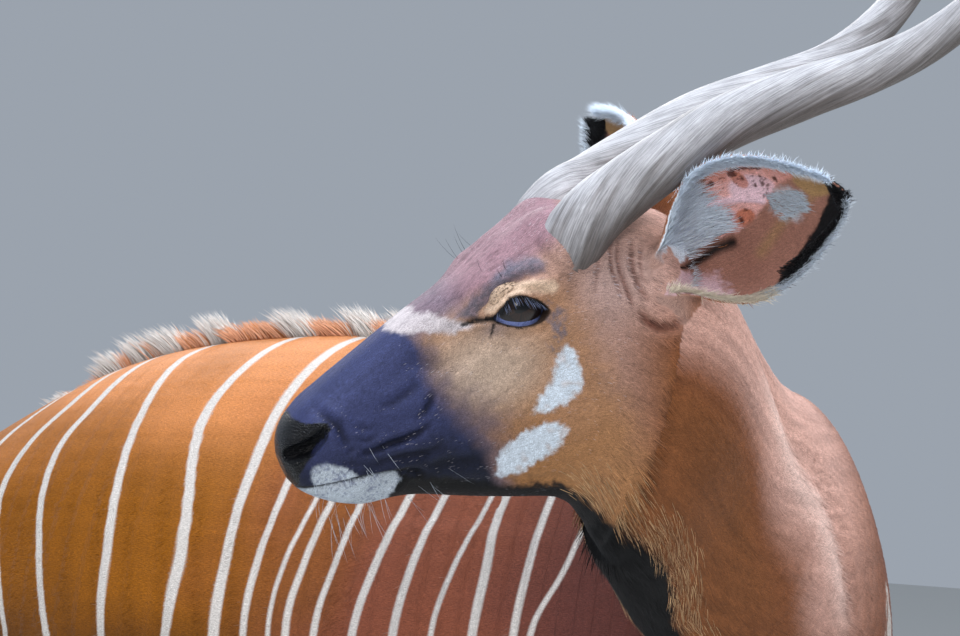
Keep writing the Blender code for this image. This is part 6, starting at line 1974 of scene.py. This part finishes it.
def make_coat(skin, s, look):
    """The short coat, as tufts that lie along the body on every side."""
    draw = np.random.default_rng(11)
    mesh = skin.data
    long, wide, dense, raised = coat_size(s)
    ways = hair_ways(mesh, s)
    nearest, at_roots = scattered(mesh, dense, draw)
    roots, normals, ways = at_roots(mesh_points(mesh)), unit(at_roots(s.normal)), at_roots(ways)
    fans = s.on(ON_EAR)[nearest] & (s.number[nearest] < 0)
    upwards = np.cross(normals, ways)
    upwards = upwards * np.sign(upwards[:, 2])[:, None] * (1.3 * (s.share[nearest] - 0.15))[:, None]
    ways = np.where(fans[:, None], unit(ways + upwards), ways)
    long, wide, raised = at_roots(long), at_roots(wide), at_roots(raised)
    along, around, loft = s.along[nearest], s.around[nearest], (s.along[nearest] // 10).astype(int)
    flat = np.cross(normals, ways)
    turned = 0.22 * noise(roots, 0.045, 21) + 0.20 * noise(roots, 0.012, 22)
    turned = turned + 0.12 * draw.uniform(-1, 1, len(roots))
    ways = unit(ways + flat * turned[:, None])
    ways = unit(ways - (ways * normals).sum(1)[:, None] * normals)
    flat = unit(np.cross(normals, ways))
    raised = raised * (1 + 0.5 * draw.uniform(-1, 1, len(roots)))
    long = long * draw.uniform(0.70, 1.2, len(roots))
    wide = wide * draw.uniform(0.75, 1.2, len(roots))
    up = unit(ways + normals * raised[:, None])
    tone, at_tip = (
        coat_colour(Spots(roots + ways * (long * share)[:, None], normals)) for share in (0.25, 0.9)
    )
    long = long * np.where(np.abs(tone - at_tip).max(1) > 0.12, 0.45, 1.0)
    spread_by = np.array([COAT_LAYERS[region][4] for region in range(6)])[s.region[nearest]]
    spread_by = spread_by * (1 - 0.6 * smoothstep(0.25, 0.6, tone.mean(1)))
    tone = tone * (1 + spread_by * draw.uniform(-1, 1, len(tone)))[:, None]
    # A few dark head tufts made pale: painted glints on the fur.
    glinting = draw.uniform(0, 1, len(tone))
    glinting = (glinting < 0.12) & s.on(ON_HEAD)[nearest] & (tone.mean(1) < 0.45) & (long < 0.0065)
    tone = over(tone, PAINTED_GLINT, 0.42 * glinting)
    roots = roots - normals * (0.10 * wide + 0.0002)[:, None]
    bends = -normals * (long * raised * 0.3)[:, None]
    number = 0
    for which in np.unique(loft):
        own = np.flatnonzero(loft == which)
        own = own[np.argsort(along[own], kind="stable")]
        for group in np.array_split(own, max(1, -(-len(own) // PIECE_TUFTS))):
            number += 1
            points, triangles, share = spikes(
                roots[group], up[group], flat[group], long[group], wide[group], bends[group], 1
            )
            piece = triangle_mesh(f"coat_tufts_{number}", points, triangles)
            # Painted shade and light among the hairs: each tuft is darker at its root and lighter towards
            # its tip.
            coloured(piece.data, np.repeat(tone[group], 4, 0) * (0.84 + 0.34 * share)[:, None])
            uv = np.stack([spread(along[group]), spread(around[group])], 1)
            baked_places(piece, uv, 4, share)
            leans = np.tile([-1.0, 1.0, 0.0, 0.0], len(group))[:, None] * np.repeat(flat[group], 4, 0)
            placed(piece, look, "coat")
            facing = unit(np.repeat(normals[group], 4, 0) + TUFT_ROUND * leans)
            piece.data.normals_split_custom_set_from_vertices(facing)


def locks_piece(name, look, roots, ways, flats, lengths, width, bends, rows, colour):
    """A piece of longer locks of one width, coloured one by one, darker at their roots and lighter towards
    their tips by painted shade and light.
    """
    points, triangles, share = spikes(roots, ways, flats, lengths, np.full(len(roots), width), bends, rows)
    piece = triangle_mesh(name, points, triangles)
    per = rows * 3 + 1
    # Painted shade and light among the hairs: darker at the root, lighter towards the tip.
    coloured(piece.data, np.repeat(colour, per, 0) * (0.86 + 0.22 * share)[:, None])
    baked_places(piece, np.stack([spread(roots[:, 0]), spread(roots @ [0, 1.0, 0.3])], 1), per, share)
    placed(piece, look, "coat")


FRINGE_LENGTH, FRINGE_WIDTH, FRINGE_DENSITY = 0.025, 0.00062, 100000.0


def make_fringe(skin, s, look):
    """The long tan hair that hangs over the edges of the throat's black."""
    draw = np.random.default_rng(17)
    half = np.interp(s.number, *THROAT_HALF)
    off = np.abs(s.share - 0.5) - half
    here = smoothstep(-0.016, 0.004, off) * smoothstep(0.065, 0.020, off)
    here = here * smoothstep(4.6, 5.6, s.number) * smoothstep(14.5, 12.5, s.number)
    here = here * (s.on(ON_NECK) | s.on(ON_HEAD))
    _, at_roots = scattered(skin.data, FRINGE_DENSITY * here, draw)
    roots, normals = at_roots(mesh_points(skin.data)), unit(at_roots(s.normal))
    ways = at_roots(hair_ways(skin.data, s))
    flat = unit(np.cross(normals, ways))
    over_it = np.abs(Spots(roots + 0.004 * flat, normals).share - 0.5)
    short_of = np.abs(Spots(roots - 0.004 * flat, normals).share - 0.5)
    inwards = flat * np.where(over_it < short_of, 1.0, -1.0)[:, None]
    count = len(roots)
    swirl = 0.14 + 0.30 * noise(roots, 0.020, 51) + 0.16 * draw.uniform(-1, 1, count)
    raised = 0.10 + 0.10 * draw.uniform(0, 1, count)
    ways = unit(ways + inwards * swirl[:, None] + normals * raised[:, None])
    lengths = FRINGE_LENGTH * draw.uniform(0.5, 1.15, count)
    bends = (inwards * 0.16 - normals * 0.10) * lengths[:, None]
    colour = over(FRINGE_TAN, NECK_BROWN, draw.uniform(0, 0.8, count))
    flats = unit(np.cross(normals, ways))
    colour = varied(colour, draw, 0.30)
    roots = roots - normals * 0.0004
    locks_piece("throat_fringe", look, roots, ways, flats, lengths, FRINGE_WIDTH, bends, 4, colour)


CREST_BACK_X, CREST_FRONT_X, CREST_COUNT, CREST_LENGTH, CREST_WIDTH = -0.575, 0.40, 5600, 0.040, 0.0014
CREST_WHITE_REACH, CREST_SPREAD = 0.022, 0.0055


def make_crest(skin_tree, look):
    """The short mane along the back, white where the stripes reach it."""
    draw = np.random.default_rng(23)
    x = draw.uniform(CREST_BACK_X, CREST_FRONT_X, CREST_COUNT)
    y = draw.normal(0, CREST_SPREAD, CREST_COUNT)
    tops = np.array([places[-1] for places, _ in STRIPES])
    widths = np.array([width for _, width in STRIPES])
    far = np.abs(x[:, None] - tops) - (widths - 0.010)
    near = np.clip(1 - far.min(1) / CREST_WHITE_REACH, 0, 1)
    white = smoothstep(0.15, 0.55, near + 0.25 * draw.uniform(-1, 1, CREST_COUNT))
    colour = over(CREST_TAN, STRIPE_WHITE * 1.1, white)
    dark = draw.uniform(0, 1, CREST_COUNT) < 0.12 * (1 - white)
    # These locks take the back's chestnut, which holds painted sky light.
    colour[dark] = BACK_CHESTNUT_PAINTED_LIGHT
    heights = []
    for px, py in zip(x, y):
        hit = skin_tree.ray_cast(Vector((px, py, 1.6)), Vector((0, 0, -1)), 1.2)
        heights.append(hit[0][2] if hit[0] is not None else 1.0)
    roots = np.stack([x, y, np.array(heights) - 0.002], 1)
    end = np.minimum(x - CREST_BACK_X, CREST_FRONT_X - x)
    length = CREST_LENGTH * draw.uniform(0.70, 1.12, CREST_COUNT) * np.clip(0.45 + end / 0.18, 0, 1)
    length = length * (0.66 + 0.38 * white) * (1 - 0.55 * smoothstep(-0.31, -0.37, x))
    clump = noise(roots * [1, 0, 0], 0.016, 31)
    lean = 0.62 + 0.30 * clump + 0.16 * draw.uniform(-1, 1, CREST_COUNT)
    side = y / CREST_SPREAD * 0.13 + 0.22 * noise(roots * [1, 0, 0], 0.024, 32)
    side = side + 0.10 * draw.uniform(-1, 1, CREST_COUNT)
    ways = unit(np.stack([-lean, side, np.ones(CREST_COUNT)], 1))
    flats = unit(np.cross(ways, unit(np.stack([side, 1.0 + 0 * side, 0 * side], 1))))
    bends = np.stack([-0.30 * length, 0.3 * side * length, -0.10 * length], 1)
    colour = varied(colour, draw)
    locks_piece("crest_locks", look, roots, ways, flats, length, CREST_WIDTH, bends, 4, colour)


TUFT_COUNT, TUFT_LENGTH, TUFT_WIDTH, TUFT_FROM = 1500, 0.135, 0.0022, 0.74


def make_tail_tuft(look):
    """The long dark hair at the end of the tail."""
    draw = np.random.default_rng(29)
    share = draw.uniform(TUFT_FROM, 1.0, TUFT_COUNT)
    middle = smooth_through(TAIL_LINE, share * (len(TAIL_LINE) - 1))
    turn = draw.uniform(0, 2 * math.pi, TUFT_COUNT)
    out = np.stack([np.cos(turn), np.sin(turn), np.zeros(TUFT_COUNT)], 1)
    spread_out = (0.13 + 0.10 * draw.uniform(0, 1, TUFT_COUNT))[:, None]
    ways = unit(np.array([0, 0, -1.0]) + out * spread_out)
    length = TUFT_LENGTH * draw.uniform(0.60, 1.0, TUFT_COUNT)
    bends = -out * (length * 0.10)[:, None]
    roots = middle + out * 0.006
    colour = varied(np.tile(HAIR_BLACK, (TUFT_COUNT, 1)), draw, 0.4)
    flats = unit(np.cross(out, [0, 0, 1.0]))
    locks_piece("tail_tuft", look, roots, ways, flats, length, TUFT_WIDTH, bends, 5, colour)


# The long hair of the ears: how far along, across which edge, which way, how long, how many, what colour.
EAR_HAIR_WIDTH = 0.0006
EAR_HAIR = [
    ((0.28, 0.95), (0.93, 1.0), (0.35, 0.90), 0.017, 1700, SPOT_WHITE * 1.5),
    ((0.16, 0.92), (0.78, 1.0), (0.60, 0.35), 0.013, 1700, SPOT_WHITE * 1.45),
    ((0.06, 0.34), (0.02, 0.90), (0.85, -0.30), 0.022, 1900, SPOT_WHITE * 1.5),
    ((0.34, 0.80), (0.80, 1.0), (0.70, -0.60), 0.011, 900, SPOT_WHITE * 1.45),
    ((0.58, 0.74), (-0.15, 0.25), (0.85, -0.35), 0.011, 420, SPOT_WHITE * 1.1),
    ((0.40, 1.0), (-1.0, -0.90), (0.60, -0.60), 0.014, 1100, SPOT_WHITE),
    ((0.50, 1.0), (-0.97, -0.70), (0.75, -0.45), 0.011, 1300, HAIR_BLACK),
    ((0.90, 1.0), (-0.90, 0.90), (1.0, 0.0), 0.010, 600, HAIR_BLACK),
    ((0.02, 0.45), (-1.0, -0.86), (0.50, -0.70), 0.018, 1100, paint(226, 214, 196)),
    ((0.00, 0.10), (-0.60, -0.10), (0.70, -0.30), 0.014, 420, SPOT_WHITE * 1.1),
]


def in_one(batches):
    """The columns of all batches of hairs, each joined end to end."""
    return [np.concatenate(column) for column in zip(*batches)]


def make_ear_hair(name, look):
    """The fringe along an ear's edges and the pale hair that crosses its mouth."""
    draw = np.random.default_rng(37)
    sense = -1 if name == "left" else 1
    behind, face = (from_head(grid) for grid in ear_faces(name, 60, 60))
    batches = []
    for (low, high), (near, far), (ahead, sideways), length, count, colour in EAR_HAIR:
        reach = draw.uniform(low, high, count) * 59
        edge = (draw.uniform(near, far, count) * sense + 1) / 2 * 59
        i, k = np.minimum(reach.astype(int), 58), np.minimum(edge.astype(int), 58)
        part_i, part_k = (reach - i)[:, None], (edge - k)[:, None]
        root = face[i, k] * (1 - part_i) + face[i + 1, k] * part_i
        root = root * (1 - part_k) + face[i, k + 1] * part_k
        along = unit(face[i + 1, k] - face[i, k])
        across = unit(face[i, k + 1] - face[i, k]) * sense
        out = unit(face[i, k] - behind[i, k])
        wobble = draw.normal(0, 0.16, (count, 3))
        way = unit(along * ahead + across * sideways + out * 0.12 + wobble)
        lengths = length * draw.uniform(0.55, 1.1, count)
        bend = along * (lengths * 0.20)[:, None] + out * (lengths * 0.05)[:, None]
        tones = np.tile(colour, (count, 1))
        batches.append((root - way * 0.001, way, unit(np.cross(way, out)), lengths, bend, tones))
    roots, ways, flats, lengths, bends, colour = in_one(batches)
    colour = varied(colour, draw)
    locks_piece("ear_hair_" + name, look, roots, ways, flats, lengths, EAR_HAIR_WIDTH, bends, 3, colour)


# Lashes: above or below, how many, how long, how far they hang, and their colour.
LASHES = [
    (1.0, 110, 0.0115, -0.30, HAIR_BLACK),
    # This row is tinted pale blue: painted sky light on lashes that hang over the eye.
    (1.0, 44, 0.0105, -0.95, paint(132, 142, 176)),
    (-1.0, 30, 0.0040, -0.45, HAIR_BLACK),
]


def head_hairs(name, look, batches, width, rows, draw):
    """A piece of fine hairs from batches of roots, ways, lengths, bends and colours in the head's frame."""
    roots, ways, lengths, bends, colour = in_one(batches)
    flats = unit(np.cross(ways, [0, 0, 1.0])) @ HEAD_AXES
    ways, bends, colour = ways @ HEAD_AXES, bends @ HEAD_AXES, varied(colour, draw)
    locks_piece(name, look, from_head(roots), ways, flats, lengths, width, bends, rows, colour)


def make_lashes(name, side, look):
    """The lashes of one eye."""
    draw = np.random.default_rng(41)
    outline = lid_outline(60)
    batches = []
    for rise, count, length, hang, tone in LASHES:
        line = outline[60:] if rise < 0 else outline[:60]
        at = draw.uniform(0.08, 0.92, count)
        flat = smooth_through(line, at * (len(line) - 1))
        off = (flat - EYE_AT[[0, 2]]) / EYE_RADIUS
        y = EYE_AT[1] + EYE_RADIUS * np.sqrt(np.maximum(1 - (off**2).sum(1), 0.05)) + 0.0014
        root = np.stack([flat[:, 0], side * y, flat[:, 1] + rise * 0.0006], 1)
        fan = (at if rise > 0 else 1 - at) * 2 - 1
        way = np.stack([0.45 * fan, side * np.ones(count), hang + 0 * fan], 1)
        way = unit(way + draw.normal(0, 0.10, (count, 3)))
        lengths = length * draw.uniform(0.6, 1.1, count) * (0.6 + 0.4 * np.sin(math.pi * at))
        droop = -0.35 if rise > 0 else -0.2
        bend = np.stack([0.15 * fan, 0 * fan, droop + 0 * fan], 1) * lengths[:, None]
        batches.append((root, way, lengths, bend, np.tile(tone, (count, 1))))
    head_hairs("lashes_" + name, look, batches, 0.00042, 4, draw)


# Whiskers: a box of (x, z) in the head's frame, how many, how long, which way, and their colour.
WHISKERS = [
    ((0.160, 0.215), (-0.128, -0.108), 22, 0.032, (0.30, 0.45, -0.80), SPOT_WHITE),
    ((0.175, 0.215), (-0.090, -0.078), 7, 0.024, (0.35, 0.70, -0.45), SPOT_WHITE),
    ((0.135, 0.180), (-0.092, -0.070), 5, 0.028, (-0.10, 0.75, -0.60), SPOT_WHITE),
    ((0.100, 0.150), (-0.130, -0.116), 6, 0.026, (-0.20, 0.50, -0.80), SPOT_WHITE),
    ((-0.010, 0.020), (0.028, 0.036), 5, 0.026, (0.20, 0.70, 0.60), HAIR_BLACK),
]


def make_whiskers(skin_tree, look):
    """Thin stiff hairs of lips, chin, jaw and brow."""
    draw = np.random.default_rng(43)
    batches = []
    for (back, front), (low, high), count, length, way, colour in WHISKERS:
        for side in SIDES.values():
            x, z = draw.uniform(back, front, count), draw.uniform(low, high, count)
            y = np.array([skin_height(skin_tree, a, b, side, 0.03) for a, b in zip(x, z)]) - 0.0008
            ways = unit(np.array(way) * [1, side, 1] + draw.normal(0, 0.20, (count, 3)))
            lengths = length * draw.uniform(0.5, 1.1, count)
            bend = np.array([-0.10, 0, -0.20 * np.sign(-way[2])]) * lengths[:, None]
            root = np.stack([x, side * y, z], 1)
            batches.append((root, ways, lengths, bend, np.tile(colour, (count, 1))))
    head_hairs("whiskers", look, batches, 0.00030, 5, draw)


CAMERA_AT, CAMERA_PITCH, CAMERA_LENS = (2.851, -3.166, 1.375), math.radians(-1.68), 150.9
LIGHTS = [
    ("sky", (0.4, -1.4, 5.2), 4.2, 330.0, (0.84, 0.92, 1.0)),
    ("key", (3.2, -4.4, 3.0), 1.8, 125.0, (1.0, 0.97, 0.94)),
    ("rim", (2.0, 2.0, 3.4), 1.6, 90.0, (1.0, 0.98, 0.96)),
    ("back", (-2.8, 2.2, 3.4), 1.8, 60.0, (1.0, 0.97, 0.94)),
]


def camera():
    """The photo's own view."""
    right = Vector((0.766, 0.643, 0)).normalized()
    level = Vector((-0.643, 0.766, 0)).normalized()
    ahead = (level * math.cos(CAMERA_PITCH) + Vector((0, 0, 1)) * math.sin(CAMERA_PITCH)).normalized()
    up = right.cross(ahead)
    lens = bpy.data.cameras.new("camera")
    lens.sensor_width, lens.lens = 36.0, CAMERA_LENS
    lens.clip_start, lens.clip_end = 0.1, 60.0
    made = linked("camera", lens)
    rows = [(right[i], up[i], -ahead[i], CAMERA_AT[i] + BODY_SHIFT[i]) for i in range(3)]
    made.matrix_world = Matrix([*rows, (0, 0, 0, 1)])
    bpy.context.scene.camera = made


def floor_and_light():
    """A pale floor and soft studio light."""
    floor = new_mesh("floor", [(-9, -9, 0), (9, -9, 0), (9, 9, 0), (-9, 9, 0)], [(0, 1, 2, 3)])
    floor.data.materials.append(Look("pale_floor").finish((0.62, 0.62, 0.60, 1), 0.9))
    target = Vector(HEAD_AT + BODY_SHIFT)
    for name, place, size, power, tint in LIGHTS:
        data = bpy.data.lights.new(name, "AREA")
        data.shape, data.size, data.energy, data.color = "DISK", size, power, tint
        light = linked(name, data)
        light.location = Vector(place) + Vector(BODY_SHIFT)
        light.rotation_euler = (target - light.location).to_track_quat("-Z", "Y").to_euler()
    world = bpy.data.worlds.new("studio")
    world.use_nodes = True
    back = world.node_tree.nodes["Background"]
    back.inputs["Color"].default_value = (0.78, 0.87, 1.0, 1)
    back.inputs["Strength"].default_value = 0.42
    bpy.context.scene.world = world
    bpy.context.scene.view_settings.view_transform = "Standard"


FLESH = ["head", "neck", "forequarters", "barrel", "hindquarters", "tail", "ear_left", "ear_right"]
FLESH += [part + leg for leg in STRIDE for part in ("upper_leg_", "cannon_", "pastern_")]


def placed(obj, material, slot, *nodes):
    """Finishes a piece: its material, its place in the shared frame, and what it stands for."""
    obj.data.materials.clear()
    obj.data.materials.append(material)
    set_points(obj.data, mesh_points(obj.data) + BODY_SHIFT)
    obj.data.shade_smooth()
    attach(obj, "root")
    if nodes:
        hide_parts(*nodes)
    return obj


def make_hooves(look):
    """Two claws and two dewclaws on each leg."""
    for leg, stride in STRIDE.items():
        end, side_name = leg.split("_")
        side, stations = SIDES[side_name], LEG_LINES[end]
        foot_x = stations[-1][1] + leg_offset(CORONET_Z, stride)
        foot_y = side * stations[-1][4]
        back_x = stations[-4][1] + leg_offset(DEWCLAW_Z, stride) - DEWCLAW_BACK
        for which, across in (("outer", side), ("inner", -side)):
            claw = make_claw(f"hoof_{which}_{leg}", foot_x, foot_y + across * CLAW_SPREAD, across)
            placed(claw, look, "hoof", f"claw_{which}_{leg}")
            y = foot_y + across * DEWCLAW_APART
            dewclaw = make_dewclaw(f"dew_{which}_{leg}", back_x, y, DEWCLAW_Z, across)
            placed(dewclaw, look, "hoof", f"dewclaw_{which}_{leg}")


def dressed_lids(name, side, skin_tree, look):
    """Both lids of one eye with their colours."""
    lids, painted_sky_rim, wet_above = make_lids("lids_" + name, side, skin_tree)
    s = Spots(mesh_points(lids.data), mesh_normals(lids.data))
    s.region[:] = ON_HEAD
    # The lower wet rim gets a painted sky reflection.
    coloured(lids.data, over(coat_colour(s), MOUTH_BLACK, wet_above, EYE_RIM_PAINTED_SKY, painted_sky_rim))
    attribute(lids.data, "wet", "FLOAT", wet_above)
    attribute(lids.data, "lie", "FLOAT_VECTOR", np.column_stack([s.along, s.around, s.along * 0]))
    placed(lids, look, "coat")


def main():
    skin_look, hair_look, eye_look = skin_shader(), hair_shader(), eye_shader()
    horn_look, hoof_look = horn_shader(), hoof_shader()
    skin, spots = dressed_skin()
    shaped = bmesh.new()
    shaped.from_mesh(skin.data)
    skin_tree = BVHTree.FromBMesh(shaped)
    shaped.free()
    make_coat(skin, spots, hair_look)
    make_fringe(skin, spots, hair_look)
    make_crest(skin_tree, hair_look)
    make_tail_tuft(hair_look)
    make_whiskers(skin_tree, hair_look)
    for name, side in SIDES.items():
        dressed_lids(name, side, skin_tree, skin_look)
        placed(make_eye("eyeball_" + name, side), eye_look, "eye", "eye_" + name)
        make_lashes(name, side, hair_look)
        make_ear_hair(name, hair_look)
        placed(make_horn("long_horn_" + name, side), horn_look, "horn", "horn_" + name)
    placed(skin, skin_look, "coat", *FLESH)
    make_hooves(hoof_look)
    camera()
    floor_and_light()


main()
